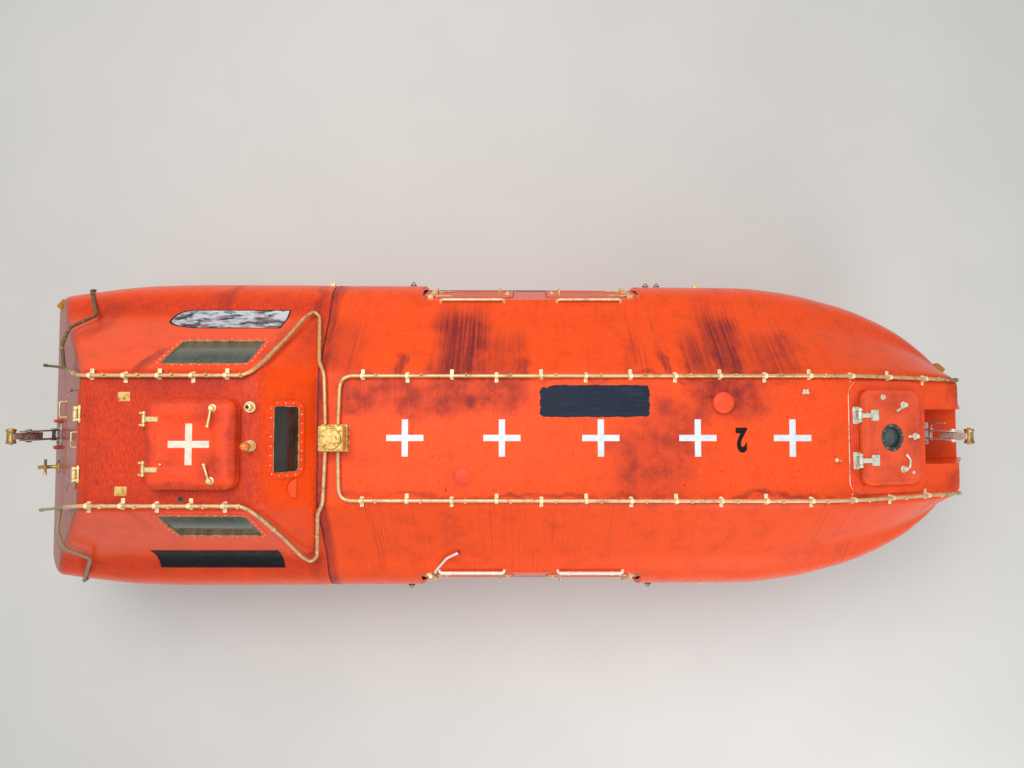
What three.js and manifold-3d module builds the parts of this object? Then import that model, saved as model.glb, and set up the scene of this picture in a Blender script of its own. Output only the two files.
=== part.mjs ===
// A totally enclosed lifeboat of moulded glass-fibre, standing ashore on its keel and bilge runners.
// Millimetres. +X is the bow, +Y is port, +Z is up. The origin is on the keel shoe's flat underside.
import * as THREE from 'three';
import Module from 'manifold-3d';
import { mergeVertices } from 'three/addons/utils/BufferGeometryUtils.js';

const wasm = await Module();
wasm.setup();

// Driving dimensions
const GAP = 0.3;
const GUNWALE_Z = 1300;
const BAND_HEIGHT = 45;
const WIDEST_Z = 1600;
const ROOF_Z = 3200;
const ROOF_HALF_WIDTH = 530;
const DECK_Z = 2750;
const DECK_SLOPE = 0.3056;
const SHOULDER = { y: 1100, z: 2210 };
const HULL_WALL = 45;
const CANOPY_WALL = 32;
const TRANSOM_X = -4800;
const AFT_FACE = { bottomX: -4800, bottomZ: 1400, topX: -3370, topZ: ROOF_Z };
const CREASE_X = -1990;
const SEAM_X = -1660;
const SEAM_RAKE = 0.113;
const CABIN_END_X = 3540;

// Hull sections: x, half breadth at the gunwale, half breadth and height of the bilge, height of the keel line
const HULL_STATIONS = [
  [-4800, 1290, 1060, 860, 700],
  [-4400, 1370, 1140, 800, 640],
  [-3900, 1430, 1200, 700, 540],
  [-3300, 1460, 1240, 560, 340],
  [-2500, 1468, 1260, 450, 190],
  [-1200, 1465, 1270, 410, 130],
  [600, 1460, 1265, 410, 130],
  [1600, 1445, 1230, 440, 135],
  [2400, 1410, 1110, 520, 150],
  [3000, 1310, 930, 640, 190],
  [3500, 1130, 690, 780, 280],
  [3850, 930, 460, 930, 420],
  [4150, 690, 250, 1080, 640],
  [4350, 460, 110, 1190, 900],
  [4440, 300, 50, 1240, 1080],
];

// Canopy sections: x, widest half breadth, shoulder half breadth and height, deck edge half breadth and height
const CANOPY_STATIONS = [
  [SEAM_X, 1498, SHOULDER.y, SHOULDER.z, 560, DECK_Z],
  [1400, 1478, SHOULDER.y, SHOULDER.z, 560, DECK_Z],
  [2200, 1470, 1085, 2210, 560, DECK_Z],
  [2480, 1444, 1060, 2205, 560, 2749],
  [2740, 1404, 1030, 2190, 560, 2724],
  [2990, 1343, 990, 2160, 558, 2661],
  [3240, 1272, 940, 2120, 552, 2585],
  [3500, 1166, 870, 2070, 543, 2505],
  [3750, 1034, 780, 2010, 530, 2429],
  [3950, 884, 690, 1950, 505, 2368],
  [4100, 765, 590, 1880, 450, 2150],
  [4260, 608, 470, 1790, 370, 1915],
  [4400, 420, 330, 1690, 270, 1725],
  [4480, 285, 235, 1625, 180, 1640],
];

// Wheelhouse sections: x, widest half breadth
const WHEELHOUSE_STATIONS = [
  [-4900, 1290],
  [-4510, 1370],
  [-4100, 1440],
  [-3600, 1495],
  [-3100, 1508],
  [CREASE_X, 1503],
];

const ORANGE = { color: 0xe2491f, roughness: 0.5, metalness: 0 };
const FADED_ORANGE = { color: 0xcf4b33, roughness: 0.6, metalness: 0 };
const BRASS = { color: 0xb49a5f, roughness: 0.45, metalness: 0.9 };
const STEEL = { color: 0x8b8f92, roughness: 0.35, metalness: 0.9 };
const BLACK_RUBBER = { color: 0x1c1c1e, roughness: 0.8, metalness: 0 };
const DARK_GLASS = { color: 0x2f3b31, roughness: 0.15, metalness: 0 };
const LINER_WHITE = { color: 0xd8d6cc, roughness: 0.6, metalness: 0 };
const ENGINE_GREY = { color: 0x5a6166, roughness: 0.6, metalness: 0.4 };
const LAMP_ORANGE = { color: 0xe06a20, roughness: 0.25, metalness: 0 };

const boat = new THREE.Group();

// Solids

function solidFromGeometry(geometry) {
  const bare = geometry.clone();
  bare.deleteAttribute('normal');
  bare.deleteAttribute('uv');
  const welded = mergeVertices(bare, 1e-3);
  return new wasm.Manifold(new wasm.Mesh({
    numProp: 3,
    vertProperties: new Float32Array(welded.attributes.position.array),
    triVerts: new Uint32Array(welded.index.array),
  }));
}

function geometryFromSolid(solid) {
  const mesh = solid.getMesh();
  const geometry = new THREE.BufferGeometry();
  geometry.setAttribute('position', new THREE.BufferAttribute(new Float32Array(mesh.vertProperties), 3));
  geometry.setIndex(new THREE.BufferAttribute(new Uint32Array(mesh.triVerts), 1));
  geometry.computeVertexNormals();
  return geometry;
}

function addPiece(name, solid, look) {
  const mesh = new THREE.Mesh(geometryFromSolid(solid), new THREE.MeshStandardMaterial(look));
  mesh.name = name;
  boat.add(mesh);
}

// A closed skin over rings of [x, y, z] points with equal counts, each end closed by a fan
function loft(rings) {
  const count = rings[0].length;
  const points = rings.flat();
  const faces = [];
  for (let ring = 0; ring < rings.length - 1; ring += 1) {
    for (let i = 0; i < count; i += 1) {
      const a = ring * count + i;
      const b = ring * count + ((i + 1) % count);
      faces.push([a, b, b + count], [a, b + count, a + count]);
    }
  }
  const middle = (ring) => [0, 1, 2].map((axis) => ring.reduce((sum, p) => sum + p[axis], 0) / count);
  const last = rings.length - 1;
  const startCentre = points.push(middle(rings[0])) - 1;
  const endCentre = points.push(middle(rings[last])) - 1;
  for (let i = 0; i < count; i += 1) {
    const next = (i + 1) % count;
    faces.push([startCentre, next, i], [endCentre, last * count + i, last * count + next]);
  }
  return new wasm.Manifold(new wasm.Mesh({
    numProp: 3,
    vertProperties: new Float32Array(points.flat()),
    triVerts: new Uint32Array(faces.flat()),
  }));
}

function extrude(shape, depth, curveSegments = 4) {
  return new THREE.ExtrudeGeometry(shape, { depth, bevelEnabled: false, curveSegments, steps: 1 });
}

function outline(points) {
  return new THREE.Shape(points.map(([a, b]) => new THREE.Vector2(a, b)));
}

// An x-z outline carried across from y0 to y1
function prismAcross(points, y0, y1) {
  const geometry = extrude(outline(points), y1 - y0);
  geometry.rotateX(Math.PI / 2);
  geometry.translate(0, y1, 0);
  return solidFromGeometry(geometry);
}

// A y-z outline carried along from x0 to x1
function prismAlong(points, x0, x1) {
  const geometry = extrude(outline(points), x1 - x0);
  geometry.applyMatrix4(new THREE.Matrix4().makeBasis(
    new THREE.Vector3(0, 1, 0), new THREE.Vector3(0, 0, 1), new THREE.Vector3(1, 0, 0)));
  geometry.translate(x0, 0, 0);
  return solidFromGeometry(geometry);
}

// An x-y outline carried up from z0 to z1
function prismUp(points, z0, z1) {
  const geometry = extrude(outline(points), z1 - z0);
  geometry.translate(0, 0, z0);
  return solidFromGeometry(geometry);
}

function block(x0, x1, y0, y1, z0, z1) {
  const geometry = new THREE.BoxGeometry(x1 - x0, y1 - y0, z1 - z0);
  geometry.translate((x0 + x1) / 2, (y0 + y1) / 2, (z0 + z1) / 2);
  return solidFromGeometry(geometry);
}

function rod(from, to, radius, sides = 12, endRadius = radius) {
  const start = new THREE.Vector3(...from);
  const way = new THREE.Vector3(...to).sub(start);
  const geometry = new THREE.CylinderGeometry(endRadius, radius, way.length(), sides);
  geometry.translate(0, way.length() / 2, 0);
  geometry.applyQuaternion(
    new THREE.Quaternion().setFromUnitVectors(new THREE.Vector3(0, 1, 0), way.clone().normalize()));
  geometry.translate(start.x, start.y, start.z);
  return solidFromGeometry(geometry);
}

function ball(centre, radius, sides = 10) {
  const geometry = new THREE.SphereGeometry(radius, sides, Math.round(sides * 0.6));
  geometry.translate(...centre);
  return solidFromGeometry(geometry);
}

function join(...solids) {
  return solids.reduce((whole, solid) => whole.add(solid));
}

// A pipe or bar through a list of points, with a mitre at each bend
function bentBar(points, radius, sides = 8) {
  const path = points.map((p) => new THREE.Vector3(...p));
  const ways = path.slice(1).map((p, i) => p.clone().sub(path[i]).normalize());
  let across = Math.abs(ways[0].z) < 0.9 ? new THREE.Vector3(0, 0, 1) : new THREE.Vector3(1, 0, 0);
  const rings = path.map((centre, i) => {
    const into = ways[Math.max(i - 1, 0)];
    const out = ways[Math.min(i, ways.length - 1)];
    const mitre = into.clone().add(out).normalize();
    const first = across.clone().addScaledVector(into, -across.dot(into)).normalize();
    const second = new THREE.Vector3().crossVectors(into, first);
    across = first;
    return Array.from({ length: sides }, (_, k) => {
      const angle = (2 * Math.PI * (k + 0.5)) / sides;
      const spoke = first.clone().multiplyScalar(Math.cos(angle)).addScaledVector(second, Math.sin(angle))
        .multiplyScalar(radius);
      spoke.addScaledVector(into, -spoke.dot(mitre) / into.dot(mitre));
      return centre.clone().add(spoke).toArray();
    });
  });
  return loft(rings);
}

const mirrored = (solid) => solid.mirror([0, 1, 0]);

// The port half of a solid, joined to its own mirror image
function symmetric(solid) {
  const port = solid.trimByPlane([0, 1, 0], 0);
  return port.add(mirrored(port));
}

// A flat panel's own frame: its origin, the direction along it (u), and its outward normal (n); v is n x u
function panelFrame(origin, along, normal) {
  const u = new THREE.Vector3(...along).normalize();
  const n = new THREE.Vector3(...normal).normalize();
  return { origin: new THREE.Vector3(...origin), u, n, v: new THREE.Vector3().crossVectors(n, u) };
}

function pointOn(frame, u, v, n) {
  return frame.origin.clone().addScaledVector(frame.u, u).addScaledVector(frame.v, v)
    .addScaledVector(frame.n, n).toArray();
}

function roundedRectangle(width, height, radius) {
  const shape = new THREE.Shape();
  const x = width / 2 - radius;
  const y = height / 2 - radius;
  shape.absarc(x, y, radius, 0, Math.PI / 2);
  shape.absarc(-x, y, radius, Math.PI / 2, Math.PI);
  shape.absarc(-x, -y, radius, Math.PI, Math.PI * 1.5);
  shape.absarc(x, -y, radius, Math.PI * 1.5, Math.PI * 2);
  return shape;
}

// A rounded rectangle on a panel, standing from n0 to n1 off its face, centred at (u, v)
function slab(frame, { u = 0, v = 0, width, height, radius, n0, n1, segments = 3 }) {
  const geometry = extrude(roundedRectangle(width, height, radius), n1 - n0, segments);
  geometry.applyMatrix4(new THREE.Matrix4().makeBasis(frame.u, frame.v, frame.n));
  geometry.translate(...pointOn(frame, u, v, n0));
  return solidFromGeometry(geometry);
}

// A square dish on a panel, whose sides slope from its mouth at n1 down to its floor at n0
function dish(frame, { floor, mouth, radius, n0, n1 }) {
  const ring = (size, n) => roundedRectangle(size, size, radius).getPoints(2)
    .map((p) => pointOn(frame, p.x, p.y, n));
  return loft([ring(floor, n0), ring(mouth, n1)]);
}

// A dog that clamps a lid: a round boss at (u, v), and a lever through steps [du, dv] from it
function dog(frame, { u, v, lever }, n) {
  const boss = rod(pointOn(frame, u, v, n - 4), pointOn(frame, u, v, n + 34), 20, 8);
  const bar = bentBar([
    pointOn(frame, u, v, n + 26),
    ...lever.map(([du, dv]) => pointOn(frame, u + du, v + dv, n + 26)),
  ], 8, 6);
  return boss.add(bar);
}

// Shell sections

function tableAt(table, x, column) {
  const last = table.length - 1;
  if (x <= table[0][0]) return table[0][column];
  if (x >= table[last][0]) return table[last][column];
  const row = table.findIndex((entry) => entry[0] > x);
  const [before, after] = [table[row - 1], table[row]];
  return THREE.MathUtils.mapLinear(x, before[0], after[0], before[column], after[column]);
}

const gunwaleAt = (x) => tableAt(HULL_STATIONS, x, 1);

// The x of every station of a table and of the hull's, between two ends
function stationsBetween(table, from, to) {
  const all = [...table, ...HULL_STATIONS].map(([x]) => x).filter((x) => x > from && x < to);
  return [...new Set(all)].sort((a, b) => a - b);
}

function curveBetween(from, control, to, steps) {
  const curve = new THREE.QuadraticBezierCurve(
    new THREE.Vector2(...from), new THREE.Vector2(...control), new THREE.Vector2(...to));
  return curve.getPoints(steps).slice(1, -1).map((p) => [p.x, p.y]);
}

// A ring from half of a section, given from the bottom up as [y, z] on the port side, mirrored to starboard
function ringFromHalf(half, xAt) {
  const port = half.map(([y, z]) => [xAt(z), y, z]);
  const starboard = half.filter(([y]) => y > 0).reverse().map(([y, z]) => [xAt(z), -y, z]);
  return [...port, ...starboard];
}

function hullHalf([, gunwaleY, bilgeY, bilgeZ, keelZ], wall) {
  const side = [gunwaleY - wall, GUNWALE_Z - BAND_HEIGHT];
  const floor = [bilgeY * 0.55 - wall * 0.4, keelZ + (bilgeZ - keelZ) * 0.35 + wall];
  const upper = [bilgeY + (gunwaleY - bilgeY) * 0.6 - wall, bilgeZ + (GUNWALE_Z - bilgeZ) * 0.42];
  const bilge = curveBetween(floor, [bilgeY - wall * 0.6, bilgeZ - 20 + wall * 0.5], upper, 4);
  return [[0, keelZ + wall], floor, ...bilge, upper, side];
}

// The hull's solid body; the inner one is smaller by the wall and runs up past the gunwale
function hullBody(wall) {
  const inner = wall > 0;
  const topZ = inner ? GUNWALE_Z + 50 : GUNWALE_Z;
  const stations = inner
    ? [[TRANSOM_X + wall, ...HULL_STATIONS[0].slice(1)], ...HULL_STATIONS.slice(1, 10), rowAt(HULL_STATIONS, CABIN_END_X)]
    : HULL_STATIONS;
  return symmetric(loft(stations.map((row) => {
    const half = [...hullHalf(row, wall), [row[1] - wall, topZ]];
    return ringFromHalf([...half, [0, topZ]], () => row[0]);
  })));
}

function rowAt(table, x) {
  return table[0].map((_, column) => (column === 0 ? x : tableAt(table, x, column)));
}

// Half of a canopy or wheelhouse section; edgeY and edgeZ are the deck's or the roof's edge
function topHalf({ gunwaleY, halfBeam, shoulderY, shoulderZ, edgeY, edgeZ }, wall) {
  const widest = [halfBeam - wall, WIDEST_Z];
  const shoulder = [shoulderY - wall * 0.7, shoulderZ - wall * 0.8];
  const control = [
    halfBeam - wall - (halfBeam - shoulderY) * 0.1,
    WIDEST_Z + (shoulderZ - WIDEST_Z) * 0.68 - wall * 0.4,
  ];
  const edge = [edgeY - wall * 0.5, edgeZ - wall];
  const middle = [(shoulder[0] + edge[0]) / 2, (shoulder[1] + edge[1]) / 2];
  const bottomZ = wall > 0 ? GUNWALE_Z - 50 : GUNWALE_Z + GAP;
  return [
    [0, bottomZ],
    [gunwaleY - wall, bottomZ],
    [gunwaleY - wall, GUNWALE_Z + BAND_HEIGHT],
    [halfBeam - wall - 8, WIDEST_Z - 140],
    widest,
    ...curveBetween(widest, control, shoulder, 4),
    shoulder,
    middle,
    edge,
    [0, edgeZ - wall],
  ];
}

function canopyRing(row, wall, xAt) {
  const [x, halfBeam, shoulderY, shoulderZ, edgeY, edgeZ] = row;
  return ringFromHalf(
    topHalf({ gunwaleY: gunwaleAt(x), halfBeam, shoulderY, shoulderZ, edgeY, edgeZ }, wall), xAt);
}

const seamXAt = (z, shift) => SEAM_X + shift - SEAM_RAKE * (DECK_Z - z);

function canopyBody(wall) {
  const inner = wall > 0;
  const endX = inner ? CABIN_END_X : CANOPY_STATIONS[CANOPY_STATIONS.length - 1][0];
  const rows = [...stationsBetween(CANOPY_STATIONS, SEAM_X, endX), endX].map((x) => rowAt(CANOPY_STATIONS, x));
  const seam = canopyRing(CANOPY_STATIONS[0], wall, (z) => seamXAt(z, inner ? -60 : GAP));
  return symmetric(loft([seam, ...rows.map((row) => canopyRing(row, wall, () => row[0]))]));
}

function wheelhouseBody(wall) {
  const inner = wall > 0;
  const full = (row) => ({
    gunwaleY: gunwaleAt(row[0]), halfBeam: row[1], shoulderY: SHOULDER.y, shoulderZ: SHOULDER.z,
    edgeY: ROOF_HALF_WIDTH, edgeZ: ROOF_Z,
  });
  const rings = [...stationsBetween(WHEELHOUSE_STATIONS, -5000, CREASE_X), CREASE_X]
    .map((x) => rowAt(WHEELHOUSE_STATIONS, x))
    .map((row) => ringFromHalf(topHalf(full(row), wall), () => row[0]));
  rings.push(canopyRing(CANOPY_STATIONS[0], wall, (z) => seamXAt(z, inner ? -wall * 0.3 : 0)));
  if (inner) {
    rings.push(canopyRing(CANOPY_STATIONS[0], wall, (z) => seamXAt(z, 60)));
  }
  const shift = inner ? wall * 1.25 : 0;
  const side = prismAcross([
    [AFT_FACE.bottomX + shift, GUNWALE_Z - 100],
    [SEAM_X + 200, GUNWALE_Z - 100],
    [SEAM_X + 200, ROOF_Z + 200],
    [AFT_FACE.topX + shift, ROOF_Z + 200],
    [AFT_FACE.topX + shift, AFT_FACE.topZ],
    [AFT_FACE.bottomX + shift, AFT_FACE.bottomZ],
  ], -1700, 1700);
  return symmetric(loft(rings).intersect(side));
}

// Flat faces that carry the openings

const RECESS = { x0: -880, x1: 1180, topY: 1290, topZ: 2050, bottomY: 1500, bottomZ: 1350 };
const recessDrop = new THREE.Vector3(0, RECESS.bottomY - RECESS.topY, RECESS.bottomZ - RECESS.topZ).normalize();
const recessFace = panelFrame(
  [0, (RECESS.topY + RECESS.bottomY) / 2, (RECESS.topZ + RECESS.bottomZ) / 2],
  [1, 0, 0], [0, -recessDrop.z, recessDrop.y]);
const sideWindowFace = panelFrame(
  [-2480, 715, 2879], [1, 0, 0],
  [0, ROOF_Z - SHOULDER.z, SHOULDER.y - ROOF_HALF_WIDTH]);
const frontFace = panelFrame(
  [(CREASE_X + SEAM_X) / 2, 0, (ROOF_Z + DECK_Z) / 2], [0, 1, 0],
  [ROOF_Z - DECK_Z, 0, SEAM_X - CREASE_X]);
const aftFace = panelFrame(
  [(AFT_FACE.topX + AFT_FACE.bottomX) / 2, 0, (AFT_FACE.topZ + AFT_FACE.bottomZ) / 2], [0, 1, 0],
  [-(AFT_FACE.topZ - AFT_FACE.bottomZ), 0, AFT_FACE.topX - AFT_FACE.bottomX]);
const roofFace = panelFrame([-2465, -25, ROOF_Z], [1, 0, 0], [0, 0, 1]);
const bowDeckFace = panelFrame(
  [3200, 0, DECK_Z - DECK_SLOPE * (3200 - 2700)], [1, 0, -DECK_SLOPE], [DECK_SLOPE, 0, 1]);

// Gunwale fender, and the space around the gunwale that it takes

const FENDER = { thickness: 45, z0: 1262, z1: 1340 };
function gunwaleOutline(offset) {
  const port = HULL_STATIONS.map(([x, y]) => [x, y + offset]);
  port[0][0] -= offset;
  port.push([HULL_STATIONS[HULL_STATIONS.length - 1][0] + offset, port[port.length - 1][1] - offset]);
  const starboard = port.map(([x, y]) => [x, -y]).reverse();
  return [...starboard, ...port].reverse();
}
const fender = prismUp(gunwaleOutline(FENDER.thickness), FENDER.z0, FENDER.z1)
  .subtract(prismUp(gunwaleOutline(GAP), FENDER.z0 - 10, FENDER.z1 + 10));
const fenderSpace = prismUp(gunwaleOutline(FENDER.thickness * 2), FENDER.z0 - GAP, FENDER.z1 + GAP)
  .subtract(prismUp(gunwaleOutline(GAP / 2), FENDER.z0 - 10, FENDER.z1 + 10));
addPiece('gunwale_fender', fender, BLACK_RUBBER);

// Hull with its keel, and what it stands on

const KEEL = { halfWidth: 60, shoeHeight: 25, aftX: -3750, foreX: 2900 };
const hullOuter = hullBody(0);
const hullInner = hullBody(HULL_WALL);
const keelBar = prismAcross([
  [KEEL.aftX, KEEL.shoeHeight + GAP],
  [KEEL.foreX, KEEL.shoeHeight + GAP],
  [3560, 300],
  [3560, 420],
  [KEEL.aftX, 640],
], -KEEL.halfWidth, KEEL.halfWidth);
const hullSeat = hullOuter.translate([0, 0, -GAP]);
const hull = hullOuter.subtract(hullInner).subtract(fenderSpace);
const keel = keelBar.subtract(hullSeat);

const RUDDER = { stockX: -4430, stockRadius: 22, heelX: -4500, topZ: 639 };
const SHAFT = {
  z: 330, radius: 18, tubeRadius: 34, tubeEndX: -3990, propellerX: -4120, hubRadius: 38,
  blades: 3, bladeReach: 200, bladePitch: 60,
};
const keelShoe = prismUp([
  [RUDDER.heelX, -40], [KEEL.aftX, -KEEL.halfWidth], [KEEL.foreX, -KEEL.halfWidth],
  [KEEL.foreX, KEEL.halfWidth], [KEEL.aftX, KEEL.halfWidth], [RUDDER.heelX, 40],
], 0, KEEL.shoeHeight);

const BILGE_RUNNER = { y: 640, halfWidth: 35, x0: -2100, x1: 2000, rise: 260 };
const bilgeRunner = prismAcross([
  [BILGE_RUNNER.x0, BILGE_RUNNER.rise], [BILGE_RUNNER.x0 + 260, 0],
  [BILGE_RUNNER.x1 - 260, 0], [BILGE_RUNNER.x1, BILGE_RUNNER.rise],
], BILGE_RUNNER.y - BILGE_RUNNER.halfWidth, BILGE_RUNNER.y + BILGE_RUNNER.halfWidth).subtract(hullSeat);

addPiece('hull', hull, ORANGE);
addPiece('keel', keel, ORANGE);
addPiece('keel_shoe', keelShoe, STEEL);
addPiece('bilge_runner_port', bilgeRunner, ORANGE);
addPiece('bilge_runner_starboard', mirrored(bilgeRunner), ORANGE);

// Side doors: each hangs on two hinges at its outer end and opens outwards

const DOOR = { width: 760, height: 560, radius: 70, thickness: 34, proud: 8, clearance: 7 };
const DOORS = [
  // name, centre along the side, which end is hung (-1 aft, 1 forward)
  ['aft', -400, -1],
  ['fore', 695, 1],
];
const HINGE = {
  pinRadius: 9, boreRadius: 9.9, knuckleRadius: 17, knuckleLength: 60, lugLength: 22, footLength: 16, lift: 24,
};
const DOOR_HINGE_V = [-190, 190];
const DOOR_HINGE_OUT = 26;

function doorHingeU([, u, hung]) {
  return u + hung * (DOOR.width / 2 + DOOR_HINGE_OUT);
}

// A hinge whose pin lies along one direction of a panel: its fixed lugs with the pin, and its moving knuckle
function hingeParts(frame, pin, leaf) {
  const at = (distance) => pin.at(distance);
  const half = HINGE.knuckleLength / 2;
  const lugStart = half + 5;
  const lugEnd = lugStart + HINGE.lugLength;
  const pinRod = rod(at(-lugEnd - 3), at(lugEnd + 3), HINGE.pinRadius, 8);
  const lugs = [-1, 1].map((side) => rod(at(side * lugStart), at(side * lugEnd), HINGE.knuckleRadius, 8));
  const knuckle = rod(at(-half), at(half), HINGE.knuckleRadius, 8)
    .subtract(rod(at(-half - 1), at(half + 1), HINGE.boreRadius, 8));
  return { fixed: join(pinRod, ...lugs, ...leaf.fixed), moving: knuckle.add(leaf.moving) };
}

function doorHinge(door, v) {
  const [, , hung] = door;
  const u = doorHingeU(door);
  const at = (distance) => pointOn(recessFace, u, v + distance, HINGE.lift);
  const lugV = HINGE.knuckleLength / 2 + 5 + HINGE.lugLength / 2;
  const foot = (side) => slab(recessFace, {
    u: u + hung * 14, v: v + side * lugV, width: 62, height: HINGE.footLength, radius: 4,
    n0: -10, n1: HINGE.lift - 2, segments: 1,
  });
  const strapLength = 170;
  const strap = slab(recessFace, {
    u: u - hung * (strapLength / 2 + HINGE.pinRadius + 4), v, width: strapLength, height: 44, radius: 8,
    n0: DOOR.proud - 2, n1: HINGE.lift - 4, segments: 1,
  });
  return hingeParts(recessFace, { at }, { fixed: [foot(-1), foot(1)], moving: strap });
}

const canopyOuter = canopyBody(0);
const canopyInner = canopyBody(CANOPY_WALL);
let canopy = canopyOuter.subtract(canopyInner).subtract(fenderSpace);
const recessPocket = slab(recessFace, {
  u: (RECESS.x0 + RECESS.x1) / 2, v: 0, width: RECESS.x1 - RECESS.x0, height: 900, radius: 2,
  n0: 0, n1: 300, segments: 1,
});
const recessBacking = slab(recessFace, {
  u: (RECESS.x0 + RECESS.x1) / 2, v: 0, width: RECESS.x1 - RECESS.x0 + 2 * CANOPY_WALL, height: 860, radius: 2,
  n0: -CANOPY_WALL, n1: 20, segments: 1,
});
const aboveGunwale = block(-1500, 1800, 800, 1700, GUNWALE_Z + GAP, 2150);
const backing = recessBacking.intersect(aboveGunwale).intersect(canopyOuter).subtract(fenderSpace);
canopy = canopy.add(backing).add(mirrored(backing));
canopy = canopy.subtract(recessPocket).subtract(mirrored(recessPocket));

const sideDoors = [];
for (const door of DOORS) {
  const [name, u, hung] = door;
  const opening = slab(recessFace, {
    u, width: DOOR.width + 2 * DOOR.clearance, height: DOOR.height + 2 * DOOR.clearance,
    radius: DOOR.radius + DOOR.clearance, n0: -200, n1: 100,
  });
  canopy = canopy.subtract(opening).subtract(mirrored(opening));
  let leaf = slab(recessFace, {
    u, width: DOOR.width, height: DOOR.height, radius: DOOR.radius,
    n0: DOOR.proud - DOOR.thickness, n1: DOOR.proud,
  });
  const handleU = u - hung * 250;
  const handle = bentBar([
    pointOn(recessFace, handleU, -70, DOOR.proud - 4),
    pointOn(recessFace, handleU, -70, DOOR.proud + 45),
    pointOn(recessFace, handleU, 70, DOOR.proud + 45),
    pointOn(recessFace, handleU, 70, DOOR.proud - 4),
  ], 8, 8);
  leaf = leaf.add(handle);
  for (const v of DOOR_HINGE_V) {
    const hinge = doorHinge(door, v);
    leaf = leaf.add(hinge.moving);
    canopy = canopy.add(hinge.fixed).add(mirrored(hinge.fixed));
  }
  sideDoors.push([name, leaf]);
}

// Bow: the hook well, the hatch opening and the hatch

const WELL = { x0: 3600, halfWidth: 240, floorZ: 1560 };
const well = block(WELL.x0, 4700, -WELL.halfWidth, WELL.halfWidth, WELL.floorZ, 2800);
const BOW_LID = { width: 622, height: 806, radius: 95, seat: 13, thickness: 40 };
const BOW_FRAME = { width: 800, height: 962, radius: 120, rise: 22 };
const BOW_HOLE = { width: 560, height: 744, radius: 75 };
const bowHole = slab(bowDeckFace, { ...BOW_HOLE, n0: -300, n1: 60 });
canopy = canopy.subtract(well).subtract(bowHole);
addPiece('canopy', canopy, ORANGE);
for (const [name, leaf] of sideDoors) {
  addPiece(`side_door_port_${name}`, leaf, ORANGE);
  addPiece(`side_door_starboard_${name}`, mirrored(leaf), ORANGE);
}

const bowLidPocket = slab(bowDeckFace, {
  width: BOW_LID.width + 14, height: BOW_LID.height + 14, radius: BOW_LID.radius + 7, n0: 8, n1: 60,
});
const BOW_HINGE_V = [-190, 190];
const BOW_HINGE_U = -(BOW_LID.width / 2 + 30);
let bowFrame = slab(bowDeckFace, { ...BOW_FRAME, n0: -30, n1: BOW_FRAME.rise })
  .subtract(canopyOuter.translate([0, 0, GAP]))
  .subtract(slab(bowDeckFace, { ...BOW_HOLE, n0: -40, n1: 60 }))
  .subtract(bowLidPocket);
const SCUTTLE = { radius: 110, n0: 24, n1: 36 };
const scuttleHole = rod(pointOn(bowDeckFace, 0, 0, -30), pointOn(bowDeckFace, 0, 0, 80), SCUTTLE.radius, 24);
let bowLid = slab(bowDeckFace, {
  width: BOW_LID.width, height: BOW_LID.height, radius: BOW_LID.radius,
  n0: BOW_LID.seat, n1: BOW_LID.seat + BOW_LID.thickness,
});
for (const v of BOW_HINGE_V) {
  const lift = BOW_LID.seat + BOW_LID.thickness + 6;
  const at = (distance) => pointOn(bowDeckFace, BOW_HINGE_U, v + distance, lift);
  const lugV = HINGE.knuckleLength / 2 + 5 + HINGE.lugLength / 2;
  const foot = (side) => slab(bowDeckFace, {
    u: BOW_HINGE_U - 4, v: v + side * lugV, width: 40, height: HINGE.footLength, radius: 4,
    n0: BOW_FRAME.rise - 4, n1: lift, segments: 1,
  });
  const strap = slab(bowDeckFace, {
    u: BOW_HINGE_U + 124, v, width: 220, height: 44, radius: 8,
    n0: BOW_LID.seat + BOW_LID.thickness - 3, n1: lift + 6, segments: 1,
  });
  const hinge = hingeParts(bowDeckFace, { at }, { fixed: [foot(-1), foot(1)], moving: strap });
  bowLid = bowLid.add(hinge.moving);
  bowFrame = bowFrame.add(hinge.fixed);
}
bowLid = bowLid.subtract(scuttleHole);
const BOW_DOGS = [
  { u: 129, v: 278, lever: [[-92, -50]] },
  { u: 251, v: 8, lever: [[-90, 0]] },
  { u: 115, v: -270, lever: [[44, 12], [50, 80], [14, 118]] },
];
for (const place of BOW_DOGS) {
  bowLid = bowLid.add(dog(bowDeckFace, place, BOW_LID.seat + BOW_LID.thickness));
}
const scuttleGlass = rod(
  pointOn(bowDeckFace, 0, 0, SCUTTLE.n0), pointOn(bowDeckFace, 0, 0, SCUTTLE.n1), SCUTTLE.radius - GAP, 24);
addPiece('bow_hatch_frame', bowFrame, ORANGE);
addPiece('bow_hatch_lid', bowLid, FADED_ORANGE);
addPiece('bow_hatch_scuttle', scuttleGlass, DARK_GLASS);

// Wheelhouse with its windows, aft door and roof hatch

const SIDE_WINDOW = { width: 706, height: 452, radius: 40 };
const FRONT_WINDOW = { width: 530, height: 237, radius: 32 };
const GLASS_THICKNESS = 8;
const ROOF_LID = { width: 690, height: 700, radius: 90, rise: 140, wall: 18, top: 44 };
const ROOF_DISH = { floor: 330, mouth: 430, radius: 30, depth: 24 };
const COAMING = { width: 585, height: 610, radius: 60, wall: 22, rise: 90 };
const AFT_DOOR = { width: 780, height: 1040, radius: 80, thickness: 36, proud: 8 };
const AFT_DOOR_V = (AFT_FACE.topZ - AFT_FACE.bottomZ) / 2;
const wheelhouseOuter = wheelhouseBody(0);
let wheelhouse = wheelhouseOuter.subtract(wheelhouseBody(CANOPY_WALL)).subtract(fenderSpace);
const windowHole = slab(sideWindowFace, { ...SIDE_WINDOW, n0: -120, n1: 60 });
const frontHole = slab(frontFace, { u: 0, v: 20, ...FRONT_WINDOW, n0: -120, n1: 60 });
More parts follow.
